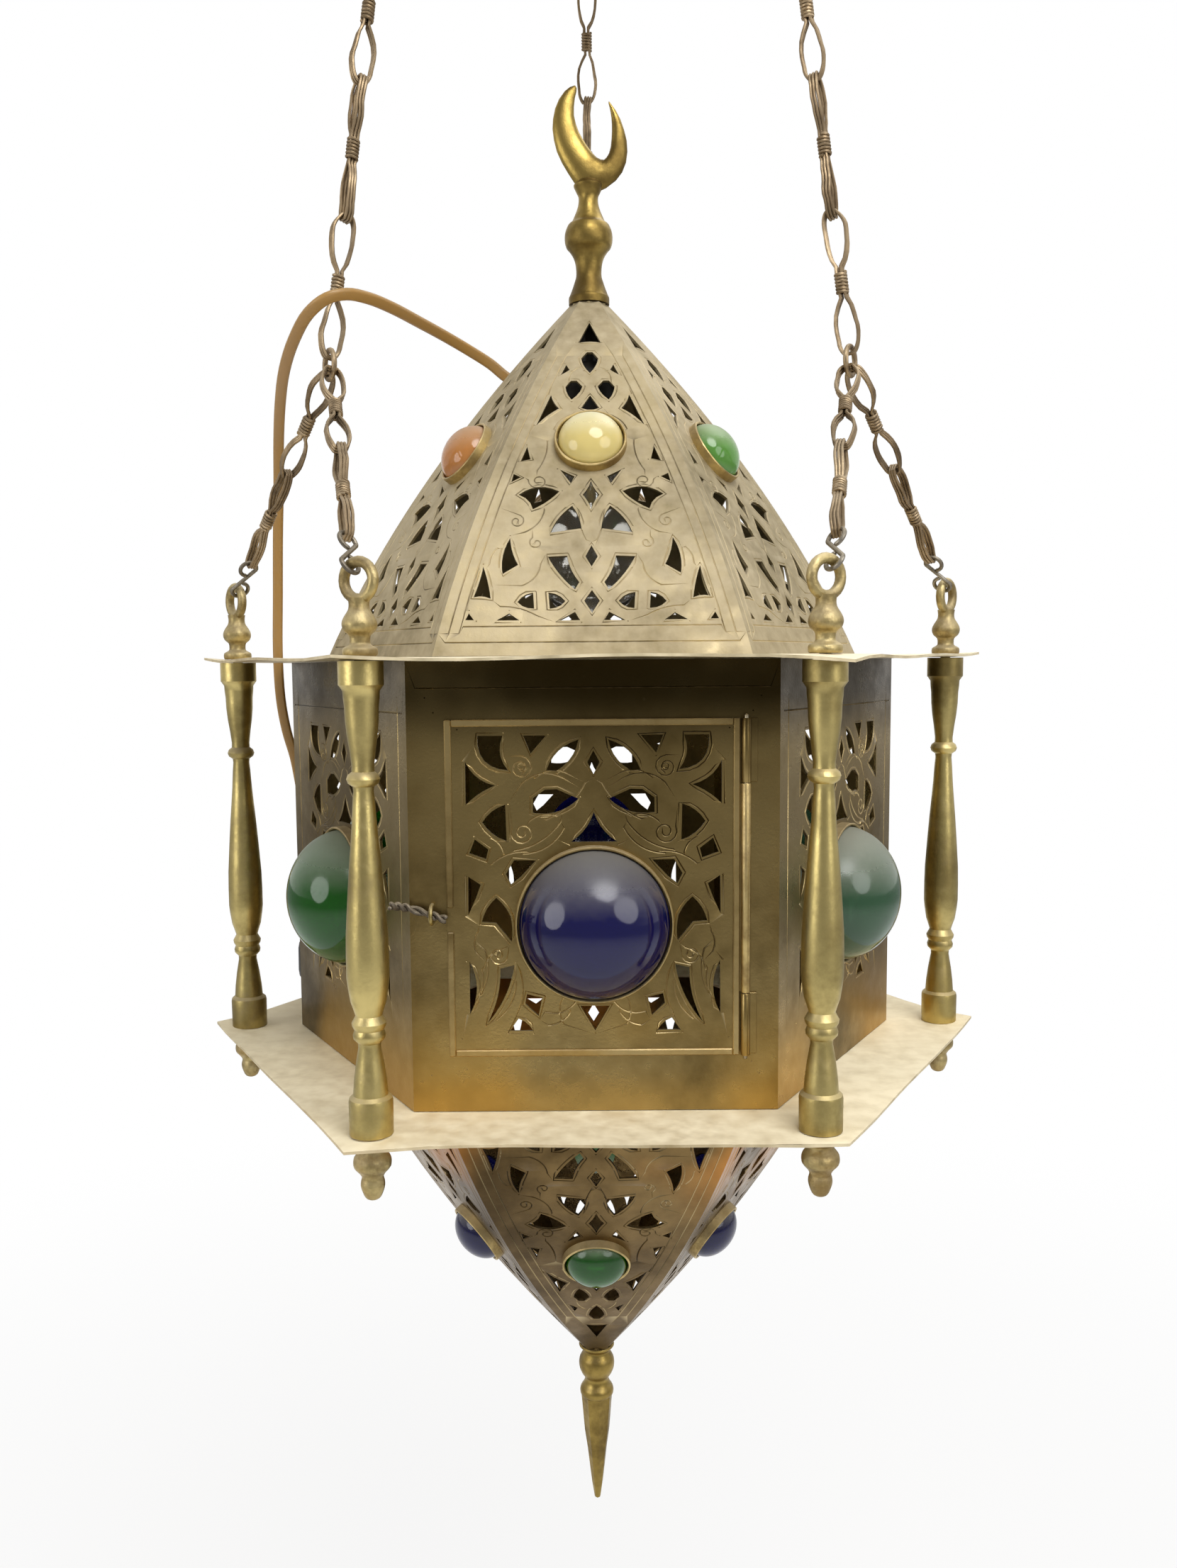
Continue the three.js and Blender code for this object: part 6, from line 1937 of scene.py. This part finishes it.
@dataclass
class BoundLinks:
    """Wire-bound chain links in straight runs, laid by a geometry tree.

    Sizes are metres, as the tree takes them; the overlap of two links is millimetres.
    """

    wire: float = 0.00074
    half_width: float = 0.0056
    waist: float = 0.0019
    strands: int = 3
    binding_radius: float = 0.0024
    binding_length: float = 0.0095
    binding_turns: float = 6.0
    overlap: float = 1.7
    loop_middle: float = 0.66
    loop_reach: float = 0.42
    strand_pitch: float = 1.85
    wobble_scale: float = 75.0
    wobble: float = 0.003

    def inputs(self, reach: float, seed: int) -> dict[str, tuple[str, object]]:
        """Returns the tree's inputs after its geometry.

        Args:
            reach: Half the length of a link.
            seed: For the unevenness of the wires.

        Returns:
            The kind and value of each input, by name.
        """
        return {
            "Reach": ("Float", reach - self.wire),
            "Half Width": ("Float", self.half_width - self.wire),
            "Waist": ("Float", self.waist - self.wire), "Wire Radius": ("Float", self.wire),
            "Strands": ("Int", self.strands), "Binding Radius": ("Float", self.binding_radius),
            "Binding Length": ("Float", self.binding_length),
            "Binding Turns": ("Float", self.binding_turns), "Seed": ("Int", seed),
            "Material": ("Material", CHAIN_BRONZE.material()),
        }

    def tree(self) -> bpy.types.GeometryNodeTree:
        """Returns the tree, made the first time it is asked for."""
        found = bpy.data.node_groups.get("bound links")
        if found:
            return found
        tree = bpy.data.node_groups.new("bound links", "GeometryNodeTree")
        kinds = {name: kind for name, (kind, _) in self.inputs(0.0, 0).items()}
        for name, kind in {"Geometry": "Geometry", **kinds}.items():
            tree.interface.new_socket(name, in_out="INPUT", socket_type=f"NodeSocket{kind}")
        tree.interface.new_socket("Geometry", in_out="OUTPUT", socket_type="NodeSocketGeometry")
        w = Wiring(tree)
        take = w.node("NodeGroupInput").outputs
        both = w.node("GeometryNodeJoinGeometry")
        for part in (self.strand_wires(w, take), self.binding(w, take)):
            tree.links.new(part, both.inputs[0])
        spin = w.node("GeometryNodeInputNamedAttribute", {"Name": "spin"}, data_type="FLOAT_VECTOR")
        turn = w.node("FunctionNodeEulerToRotation", {0: spin.outputs[0]}).outputs[0]
        points = {"Points": take["Geometry"], "Instance": both.outputs[0], "Rotation": turn}
        laid = w.node("GeometryNodeInstanceOnPoints", points)
        real = w.node("GeometryNodeRealizeInstances", {0: laid.outputs[0]}).outputs[0]
        dressed = {"Geometry": real, "Material": take["Material"]}
        done = w.node("GeometryNodeSetMaterial", dressed)
        w.node("NodeGroupOutput", {0: done.outputs[0]})
        return tree

    def as_wire(self, w: Wiring, line: Port, radius: Port, capped: bool) -> Port:
        """Gives a curve the thickness of wire."""
        size = {"Resolution": 7, "Radius": radius}
        section = w.node("GeometryNodeCurvePrimitiveCircle", size, mode="RADIUS").outputs[0]
        values = {0: line, 1: section, "Fill Caps": capped}
        return w.node("GeometryNodeCurveToMesh", values).outputs[0]

    def strand_wires(self, w: Wiring, take: Ports) -> Port:
        """Draws the parallel wires of one link, a figure of eight along Y.

        Args:
            w: The tree.
            take: Its inputs.

        Returns:
            The wires.
        """
        ring = {"Resolution": 56, "Radius": 1.0}
        line = w.node("GeometryNodeCurvePrimitiveCircle", ring, mode="RADIUS").outputs[0]
        share = w.node("GeometryNodeSplineParameter").outputs["Factor"]
        angle = w.times(share, 2 * math.pi)
        along = w.math("SINE", angle)
        reach = w.math("ABSOLUTE", along)
        off_loop = w.math("DIVIDE", w.less(reach, self.loop_middle), self.loop_reach)
        fall = w.math("POWER", w.math("ABSOLUTE", off_loop), 2.2)
        loop = w.math("POWER", w.math("MAXIMUM", w.less(1.0, fall), 0.0), 0.75)
        swell = w.times(loop, w.less(take["Half Width"], take["Waist"]))
        closing = w.math("MAXIMUM", w.less(1.0, w.math("POWER", reach, 8.0)), 0.0)
        body = w.times(take["Waist"], w.math("SQRT", closing))
        x = w.times(w.math("SIGN", w.math("COSINE", angle)), w.plus(swell, body))
        place = w.node("ShaderNodeCombineXYZ", {0: x, 1: w.times(along, take["Reach"])})
        drawn = w.node("GeometryNodeSetPosition", {0: line, "Position": place.outputs[0]})
        pitch = w.times(take["Wire Radius"], self.strand_pitch)
        start = w.times(w.times(w.less(take["Strands"], 1.0), pitch), -0.5)
        first = w.node("ShaderNodeCombineXYZ", {2: start}).outputs[0]
        step = w.node("ShaderNodeCombineXYZ", {2: pitch}).outputs[0]
        row = {"Count": take["Strands"], "Start Location": first, "Offset": step}
        points = w.node("GeometryNodeMeshLine", row, mode="OFFSET").outputs[0]
        fan = w.node("GeometryNodeInstanceOnPoints", {0: points, "Instance": drawn.outputs[0]})
        real = w.node("GeometryNodeRealizeInstances", {0: fan.outputs[0]}).outputs[0]
        spot = w.node("GeometryNodeInputPosition").outputs[0]
        shifted = w.vector("ADD", {0: spot, 1: take["Seed"]})
        texture = {"Vector": shifted, "Scale": self.wobble_scale, "Detail": 1.0}
        cloud = w.node("ShaderNodeTexNoise", texture).outputs[1]
        centred = w.vector("SUBTRACT", {0: cloud, 1: (0.5, 0.5, 0.5)})
        offset = w.vector("SCALE", {0: centred, "Scale": self.wobble})
        uneven = w.node("GeometryNodeSetPosition", {0: real, "Offset": offset}).outputs[0]
        return self.as_wire(w, uneven, take["Wire Radius"], False)

    def binding(self, w: Wiring, take: Ports) -> Port:
        """Draws the wire wound round the waist of one link.

        Args:
            w: The tree.
            take: Its inputs.

        Returns:
            The winding.
        """
        radius, length = take["Binding Radius"], take["Binding Length"]
        coil = w.node("GeometryNodeCurveSpiral", {
            "Resolution": 14, "Rotations": take["Binding Turns"], "Start Radius": radius,
            "End Radius": radius, "Height": length,
        })
        down = w.node("ShaderNodeCombineXYZ", {2: w.times(length, -0.5)}).outputs[0]
        laid = w.node("GeometryNodeTransform", {0: coil.outputs[0], "Translation": down})
        upright = {0: laid.outputs[0], "Rotation": (math.pi / 2, 0.0, 0.0)}
        turned = w.node("GeometryNodeTransform", upright).outputs[0]
        return self.as_wire(w, turned, take["Wire Radius"], True)

    def lay(self, name: str, runs: Sequence[tuple[Vector, Vector, int, Vector]], seed: int) -> Form:
        """Lays the links of several straight runs and returns them as one form.

        Args:
            name: Name for the working object.
            runs: (start, end, number of links, side) of each run.
            seed: For the unevenness of the wires.

        Returns:
            The links in lantern millimetres.
        """
        form = Form()
        for number, (start, end, count, side) in enumerate(runs):
            reach = ((end - start).length + self.overlap * (count - 1)) / count
            direction = (end - start).normalized()
            turned_side = direction.cross(side).normalized()
            points, spins = [], []
            for i in range(count):
                middle = start + direction * (reach / 2 + i * (reach - self.overlap))
                across = side if (count - 1 - i) % 2 == 0 else turned_side
                points.append(middle * MILLIMETRE)
                spins += in_basis(middle, direction, across).to_euler()
            half = (reach + 2) / 2 * MILLIMETRE
            form.join(self.made(name, points, spins, self.inputs(half, seed + number)))
        return form

    def made(
        self, name: str, points: Sequence[Vector], spins: Sequence[float],
        inputs: dict[str, tuple[str, object]],
    ) -> Form:
        """Runs the tree on the middles of one run of links.

        Args:
            name: Name for the working object.
            points: The middles.
            spins: The three turns of each link, one link after another.
            inputs: The tree's inputs.

        Returns:
            The links in lantern millimetres.
        """
        mesh = bpy.data.meshes.new(name)
        mesh.from_pydata([tuple(p) for p in points], [], [])
        mesh.attributes.new("spin", "FLOAT_VECTOR", "POINT").data.foreach_set("vector", spins)
        holder = placed(name, mesh)
        modifier = holder.modifiers.new("links", "NODES")
        modifier.node_group = self.tree()
        for item in modifier.node_group.interface.items_tree:
            if item.item_type == "SOCKET" and item.in_out == "INPUT" and item.name in inputs:
                modifier[item.identifier] = inputs[item.name][1]
        graph = bpy.context.evaluated_depsgraph_get()
        solid = bpy.data.meshes.new_from_object(holder.evaluated_get(graph))
        form = Form([v.co / MILLIMETRE for v in solid.vertices])
        form.faces = [tuple(p.vertices) for p in solid.polygons]
        bpy.data.objects.remove(holder)
        bpy.data.meshes.remove(mesh)
        bpy.data.meshes.remove(solid)
        return form


@dataclass
class ChainWork:
    """The three chains: hooks, upper links, join rings and branch links."""

    join_radius: float = 138.0
    join_height: float = 137.6
    ring_radius: float = 6.5
    ring_wire: float = 1.25
    hook_wire: float = 1.0
    hook_bend: float = 4.2
    hook_span: float = 13.6
    crown_height: float = 404.0
    crown_corner: float = 101.0
    crown_rim: float = 2.6
    crown_sheet: float = 2.0
    bundle: float = 4.0
    link_wire: float = 2.0
    fuse: float = 0.3
    branch_seed: int = 3
    upper_seed: int = 11
    links: BoundLinks = field(default_factory=BoundLinks)

    def hook_reach(self) -> float:
        """Returns how far above an S-hook's lower bend the next link starts."""
        wires = self.hook_wire + self.link_wire / 2
        return self.hook_span + self.hook_bend - wires + self.fuse

    def hook(self) -> Form:
        """Returns an S-hook along Y, from the lower bend's middle."""
        low = bend(Vector((0, 0, 0)), self.hook_bend, X, Y, 95, 375)
        high = bend(Y * self.hook_span, self.hook_bend, X, Y, 195, -85)
        return wire(curve_through([*low[:-1], *high[1:]], 2), self.hook_wire, Z)

    def ring_middle(self, chain: Chain) -> Vector:
        """Returns the middle of the ring that joins two branches to their chain."""
        inner = self.ring_radius - self.ring_wire - HANG
        reach = math.sqrt(inner * inner - self.bundle * self.bundle / 4)
        height = self.join_height + self.link_wire / 2 - reach
        return polar(chain.azimuth, self.join_radius, height)

    def branches(self, chain: Chain) -> tuple[Form, Form]:
        """Returns the join ring with its two branch chains, and their hooks."""
        ring = self.ring_middle(chain)
        out = polar(chain.azimuth, 1)
        line = bend(ring, self.ring_radius, Z.cross(out), Z, 0, 345)
        form = swept(line, lambda _: circle(self.ring_wire, 10), out, True)
        gallery = Gallery()
        hang_by = self.ring_radius - self.ring_wire + self.fuse - self.link_wire / 2
        hook_by = self.hook_bend - gallery.ring_wire - self.hook_wire - HANG
        hooks, runs = Form(), []
        for post in chain.posts:
            normal = polar(post.facing, 1)
            eye = polar(post.azimuth, COLUMN_CIRCLE, gallery.ring_height)
            contact = eye + in_plane(ring - eye, normal) * gallery.ring_radius
            end = ring + in_plane(contact - ring, out) * hang_by
            direction = (end - contact).normalized()
            lower = contact + direction * hook_by
            hooks.join(self.hook(), in_basis(lower, end - lower, normal))
            runs.append((lower + direction * self.hook_reach(), end, 2, out))
        return form.join(self.links.lay(chain.word, runs, self.branch_seed)), hooks

    def upper(self, chain: Chain) -> tuple[Form, Form]:
        """Returns one upper chain, and the hook that hangs it on the crown."""
        half = self.crown_rim / 2
        inner = self.hook_bend - self.hook_wire - HANG
        drop = math.sqrt(inner * inner - half * half)
        height = self.crown_height + self.crown_sheet - drop
        rim = polar(chain.azimuth, self.crown_corner - half, height)
        join = polar(chain.azimuth, self.join_radius, self.join_height)
        out = polar(chain.azimuth, 1)
        hook = self.hook().at(in_basis(rim, join - rim, out))
        start = rim + (join - rim).normalized() * self.hook_reach()
        return self.links.lay(chain.word, [(start, join, 4, out)], self.upper_seed), hook

    def build(self) -> None:
        """Makes the three chains."""
        for chain in Chain:
            for run, (links, hooks) in (
                ("upper_chain", self.upper(chain)), ("branch_chains", self.branches(chain))
            ):
                node = [f"{chain.word}_{run}"]
                finished(f"bound_{run}_{chain.word}", links, CHAIN_BRONZE, node)
                finished(f"bent_hooks_{run}_{chain.word}", hooks, HOOK_WIRE, node)


def in_plane(vector: Vector, normal: Vector) -> Vector:
    """Returns the direction of a vector in the plane across a normal."""
    return (vector - normal * vector.dot(normal)).normalized()


# Lamp and flex


@dataclass
class Lamp:
    """The lampholder and its bulb inside the upper pyramid."""

    tube_top: float = 176.4
    top: float = 150.0
    socket_foot: float = 104.0
    bulb_foot: float = 22.0
    cap_radius: float = 13.0
    glass_wall: float = 0.9
    grip_reach: tuple[float, ...] = (0.3, 4.0, 8.0, 14.0)

    def grip(self, share: float) -> list[Flat]:
        """Returns the section of the cord grip, which widens toward the holder."""
        wide, deep = 3.4 + 1.8 * share, 3.6 + 1.6 * share
        return [(x * wide, y * deep) for x, y in circle(1, 16)]

    def holder(self) -> Form:
        """Returns the moulded lampholder with its threaded tube and cord grip."""
        head, top, foot = self.tube_top, self.top, self.socket_foot
        profile = [
            (0, head), (4.6, head), (5, head - 0.5), (5, top), (9, top - 1.6), (13, top - 6),
            (15.2, top - 12), (16.6, top - 18), (17, top - 20), (16.2, top - 21),
            (17, top - 22), (17, foot + 6), (16.4, foot + 0.6), (15.8, foot), (13.6, foot),
            (13.4, foot + 3), (0, foot + 3),
        ]
        start, second = (Vector(p) for p in CORD_ROUTE[:2])
        inward = (start - second).normalized()
        line = [start + inward * reach for reach in self.grip_reach]
        return lathe(profile, 40).join(swept(line, self.grip, Z))

    def envelope(self) -> Form:
        """Returns the bulb's glass."""
        cap, head, foot = self.cap_radius, self.socket_foot, self.bulb_foot
        outer = [
            (cap - 0.6, head + 2), (cap, head - 1), (cap + 1.4, head - 7), (19, foot + 56),
            (24, foot + 44), (27.4, foot + 34), (28, foot + 28), (27, foot + 19),
            (23, foot + 9.6), (16.5, foot + 3.6), (8.5, foot + 0.7), (0, foot),
        ]
        wall = self.glass_wall
        inner = [(max(r - wall, 0), z + (wall if r < 20 else 0)) for r, z in outer]
        return lathe([*smooth_profile(inner)[::-1], *smooth_profile(outer)], 40)

    def stem(self) -> Form:
        """Returns the glass stem inside the bulb."""
        head, foot = self.socket_foot, self.bulb_foot
        profile = [
            (0, head + 1.5), (8, head + 1.5), (6, head - 14), (3, foot + 44), (2.6, foot + 40),
            (0, foot + 40),
        ]
        return lathe(profile, 20)

    def build(self) -> None:
        """Makes the lampholder and the bulb."""
        finished("moulded_lampholder", self.holder(), BLACK_PLASTIC, ["lampholder"])
        finished("bulb_envelope", self.envelope(), BULB_GLASS, ["bulb"])
        finished("bulb_stem", self.stem(), PALE_GLASS, ["bulb"])


CORD_ROUTE = [
    (-19.3, 11.2, 142.2), (-26, 15, 142.2), (-32.6, 18.8, 142.5), (-42.8, 20, 146.9),
    (-51.8, 17, 153.6), (-61.5, 10, 158.5), (-72.4, -4, 162.3), (-83.2, -26, 164),
    (-93.4, -50, 164.7), (-101.9, -67, 164.5), (-109.7, -77, 163.4), (-117.6, -81, 160.5),
    (-126.8, -76, 155.7), (-137.4, -60, 148.2), (-147.5, -38, 139.1), (-155.9, -13, 128),
    (-162.9, 11, 112.9), (-168.4, 31, 91.9), (-172.7, 44, 66.8), (-175.6, 52, 36.2),
    (-177.9, 57.5, 4.6), (-178.4, 63, -21.7), (-176.8, 68, -40.3), (-173.6, 73, -57.2),
    (-171.5, 79, -78), (-168, 85, -98), (-164.8, 87.7, -115.1), (-164.8, 87.7, -122.1),
]
PLUG_TURNING = [
    (0, -0.3), (3.3, -0.3), (3.7, -4), (4.6, -14), (6.2, -16.4), (8.6, -19.6), (9.3, -23),
    (9.5, -36), (9.0, -39.5), (7.6, -41.6), (0, -42),
]


@dataclass
class Flex:
    """The flat twin flex: its free run, the coil that puts the rest away, and the plug."""

    width: float = 5.6
    thickness: float = 3.0
    pinch: float = 0.3
    mean_radius: float = 30.8
    turns: int = 5
    turn_pitch: float = 4.4
    layer_pitch: float = 6.5
    steps: int = 24
    tail: float = 22.0
    spacing: float = 1.2
    middle: tuple[float, float, float] = (-149.5, 120.5, -128.0)
    azimuth: float = -120.0
    tie_corner: float = 1.6
    tie_turn: float = 20.0
    plug_depth: float = 0.78
    pin_apart: float = 6.35
    pin_half: tuple[float, float] = (0.75, 3.15)
    pin_ends: tuple[float, float] = (-58.3, -41.0)

    def place(self) -> Matrix:
        """Returns where the coil hangs."""
        return Matrix.Translation(self.middle) @ facing(self.azimuth + 180)

    def coil_point(self, turn: float) -> Vector:
        """Returns a point of the coil, that many turns in."""
        half = self.turns / 2
        inward = min(turn, self.turns - turn)
        radius = self.mean_radius + self.turn_pitch * (half / 2 - inward)
        share = max(0.0, min(1.0, (turn - half + 0.15) / 0.3))
        climb = share * share * (3 - 2 * share) - 0.5
        angle = math.pi + turn * 2 * math.pi
        x, z = radius * math.cos(angle), radius * math.sin(angle)
        return Vector((x, climb * self.layer_pitch, z))

    def coil_line(self) -> list[Vector]:
        """Returns the coil's centreline, with its straight tail down to the plug."""
        count = self.turns * self.steps
        line = [self.coil_point(i / self.steps) for i in range(count + 1)]
        line += [line[-1] - Vector((0, 0, self.tail * k / 4)) for k in (1, 2, 3, 4)]
        return [self.place() @ p for p in line]

    def section(self, _: float) -> list[Flat]:
        """Returns the twin section: two round cores side by side."""
        core = self.thickness / 2
        apart = self.width / 2 - core
        corners = []
        for k in range(24):
            angle = 2 * math.pi * k / 24
            y = math.copysign(apart, math.sin(angle)) + core * math.sin(angle)
            waist = 1 - self.pinch * math.exp(-((y / 0.7) ** 2))
            corners.append((core * math.cos(angle) * waist, y))
        return corners

    def tie(self) -> Form:
        """Returns the tie round the top of the coil."""
        out = self.mean_radius + self.turn_pitch * 1.25 + 2.2
        low = self.mean_radius - self.turn_pitch * 1.25 - 2.2
        deep = self.layer_pitch / 2 + 3.4
        pairs = ((deep, out), (-deep, out), (-deep, low), (deep, low))
        corners = [Vector((0, y, z)) for y, z in pairs]
        line = []
        for k, corner in enumerate(corners):
            back = (corners[k - 1] - corner).normalized()
            ahead = (corners[(k + 1) % 4] - corner).normalized()
            line.append(corner + back * self.tie_corner)
            line.append(corner + (back + ahead) * 0.5)
            line.append(corner + ahead * self.tie_corner)
        band = swept(line, lambda _: [(x * 1.6, y * 0.4) for x, y in circle(1, 8)], Y + Z, True)
        return band.at(self.place() @ Matrix.Rotation(math.radians(self.tie_turn), 4, "Y"))

    def plug(self) -> Form:
        """Returns the two-pin plug below the coil."""
        form = lathe(PLUG_TURNING, 32)
        for point in form.points:
            point.y *= self.plug_depth
        (wide, deep), (foot, head) = self.pin_half, self.pin_ends
        for side in (-1, 1):
            x = side * self.pin_apart
            form.join(slab((x - wide, -deep, foot), (x + wide, deep, head), 0.3))
        end = self.coil_point(self.turns) - Vector((0, 0, self.tail))
        return form.at(self.place() @ Matrix.Translation(end))

    def build(self) -> None:
        free = curve_through([Vector(p) for p in CORD_ROUTE], 4)
        first, *rest = [*free, *self.coil_line()]
        spaced = [first]
        for point in rest:
            if (point - spaced[-1]).length > self.spacing:
                spaced.append(point)
        form = swept(spaced, self.section, Z)
        cord = finished("twin_flex", form, FLEX_PLASTIC, ["cord", "cord_coil"])
        tie = finished("coil_tie", self.tie(), TIE_PLASTIC)
        plug = finished("moulded_plug", self.plug(), BLACK_PLASTIC, ["plug"])
        path = [to_frame(p) for p in spaced]
        length = sum((b - a).length for a, b in zip(path, path[1:]))
        LOG.info("flex length %.3f m", length)
        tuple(path[0])


# Setting


@dataclass
class Studio:
    """Camera, lamps, backdrop light and floor."""

    focal_pixels: float = 1794.1
    frame_height: float = 2212.0
    sensor: float = 36.0
    eye: tuple[float, float, float] = (-2.13, -668.6, -3.2)
    pitch: float = 5.41
    roll: float = -0.43
    floor: float = -1.32
    floor_reach: float = 14.0
    heart: tuple[float, float, float] = (0.0, 0.0, -0.55)

    def camera(self) -> None:
        """Stands the camera where the photograph was taken."""
        data = bpy.data.cameras.new("camera")
        data.sensor_width = self.sensor
        data.lens = self.focal_pixels * self.sensor / self.frame_height
        data.clip_start = 0.02
        data.clip_end = 60.0
        camera = placed("camera", data)
        tilt = Matrix.Rotation(math.radians(90 - self.pitch), 4, "X")
        spin = Matrix.Rotation(math.radians(self.roll), 4, "Z")
        camera.matrix_world = Matrix.Translation(to_frame(Vector(self.eye))) @ tilt @ spin
        bpy.context.scene.camera = camera

    def lamp(self, name: str, at: Corner, size: float, power: float) -> None:
        """Hangs one soft lamp that looks at the lantern's heart.

        Args:
            name: The lamp's name.
            at: Where it is, in metres.
            size: Diameter of its round face.
            power: Its power in watts.
        """
        data = bpy.data.lights.new(name, "AREA")
        data.shape = "DISK"
        data.size = size
        data.energy = power
        lamp = placed(name, data)
        lamp.location = at
        lamp.rotation_mode = "QUATERNION"
        lamp.rotation_quaternion = (Vector(at) - Vector(self.heart)).to_track_quat("Z", "Y")

    def emptied(self, owner: bpy.types.World | bpy.types.Material) -> Wiring:
        """Returns the wiring of a world or material, cleared of its first nodes."""
        owner.use_nodes = True
        owner.node_tree.nodes.clear()
        return Wiring(owner.node_tree)

    def sky(self) -> None:
        """Lights the room: a pale surround with a dimmer side behind the camera."""
        world = bpy.data.worlds.new("surround")
        bpy.context.scene.world = world
        w = self.emptied(world)
        way = w.node("ShaderNodeTexCoord").outputs["Generated"]
        parts = w.node("ShaderNodeSeparateXYZ", {0: way}).outputs
        behind = w.span(parts[1], -0.8, 0.5, 0.28, 0.95)
        light = w.node("ShaderNodeLightPath").outputs
        plain, seen, glossy = (
            w.node("ShaderNodeBackground", {"Color": colour, "Strength": strength}).outputs[0]
            for colour, strength in (
                ((1.0, 0.985, 0.96), 0.42), ((1.0, 1.0, 1.0), 1.0), ((1.0, 0.99, 0.97), behind)
            )
        )
        mixed = {0: light["Is Glossy Ray"], 1: plain, 2: glossy}
        first = w.node("ShaderNodeMixShader", mixed).outputs[0]
        clear = w.math("MAXIMUM", light["Is Camera Ray"], light["Is Transmission Ray"])
        second = w.node("ShaderNodeMixShader", {0: clear, 1: first, 2: seen})
        w.node("ShaderNodeOutputWorld", {0: second.outputs[0]})

    def pale_floor(self) -> bpy.types.Material:
        """Returns the floor's material, which fades into the surround."""
        material = bpy.data.materials.new("pale floor")
        w = self.emptied(material)
        light = w.node("ShaderNodeLightPath").outputs
        mirrored_too = w.math("MAXIMUM", light["Is Camera Ray"], light["Is Glossy Ray"])
        seen = w.math("MAXIMUM", mirrored_too, light["Is Transmission Ray"])
        spot = w.node("ShaderNodeTexCoord").outputs["Object"]
        away = w.vector("DISTANCE", {0: spot, 1: (0.0, 0.0, self.floor)})
        share = w.times(seen, w.span(away, 0.2, 1.6, 0.8, 1.0))
        matt = w.node("ShaderNodeBsdfDiffuse", {"Color": (0.86, 0.85, 0.83)})
        faded = w.times(light["Is Glossy Ray"], w.span(away, 0.9, 4.0, 0.0, 0.7))
        shine = {"Color": (1.0, 1.0, 1.0), "Strength": w.less(1.0, faded)}
        glow = w.node("ShaderNodeEmission", shine)
        mixed = {0: share, 1: matt.outputs[0], 2: glow.outputs[0]}
        w.node("ShaderNodeOutputMaterial", {0: w.node("ShaderNodeMixShader", mixed).outputs[0]})
        return material

    def ground(self) -> None:
        """Lays the pale floor."""
        mesh = bpy.data.meshes.new("floor")
        reach = self.floor_reach
        corners = ((-reach, -reach), (reach, -reach), (reach, reach), (-reach, reach))
        mesh.from_pydata([(x, y, self.floor) for x, y in corners], [], [(0, 1, 2, 3)])
        floor = placed("floor", mesh)
        mesh.materials.append(self.pale_floor())

    def build(self) -> None:
        """Sets up everything round the lantern."""
        self.camera()
        self.sky()
        self.ground()
        self.lamp("key", (0.4, -1.1, 0.75), 1.0, 19.0)
        self.lamp("left", (-1.4, -0.95, -0.25), 1.0, 8.0)
        self.lamp("right", (1.2, -1.2, 0.0), 1.1, 9.0)
        self.lamp("top", (0.5, 0.4, 0.9), 1.2, 7.0)
        bpy.context.scene.view_settings.view_transform = "Standard"


def main() -> None:
    """Builds the setting and every part of the lantern in order, and dresses the imported nodes that
    keep their shape.
    """
    logging.basicConfig(level=logging.INFO, format="%(message)s")
    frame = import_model()
    nodes = frame["nodes"]
    for work in (
        Studio(), Flex(), Drum(), Door(), Latch(),
        Roof("upper", SEAT, 1, ROOF_BRASS, UPPER_GLASSES),
        Roof("lower", BOTTOM_PLATE_UNDERSIDE - SEAT, -1, LOWER_BRASS, LOWER_GLASSES),
        Plate("top_plate", 0.0, 0.6), Plate("bottom_plate", BOTTOM_PLATE_TOP, 2.1),
        Gallery(), Finials(), ChainWork(), Lamp(),
    ):
        work.build()
    dress(nodes, "crown", PITTED_BRASS)
    dress(nodes, "swing_link", DARK_IRON)
    dress(nodes, "ceiling_hook", DARK_IRON)


if __name__ == "__main__":
    main()
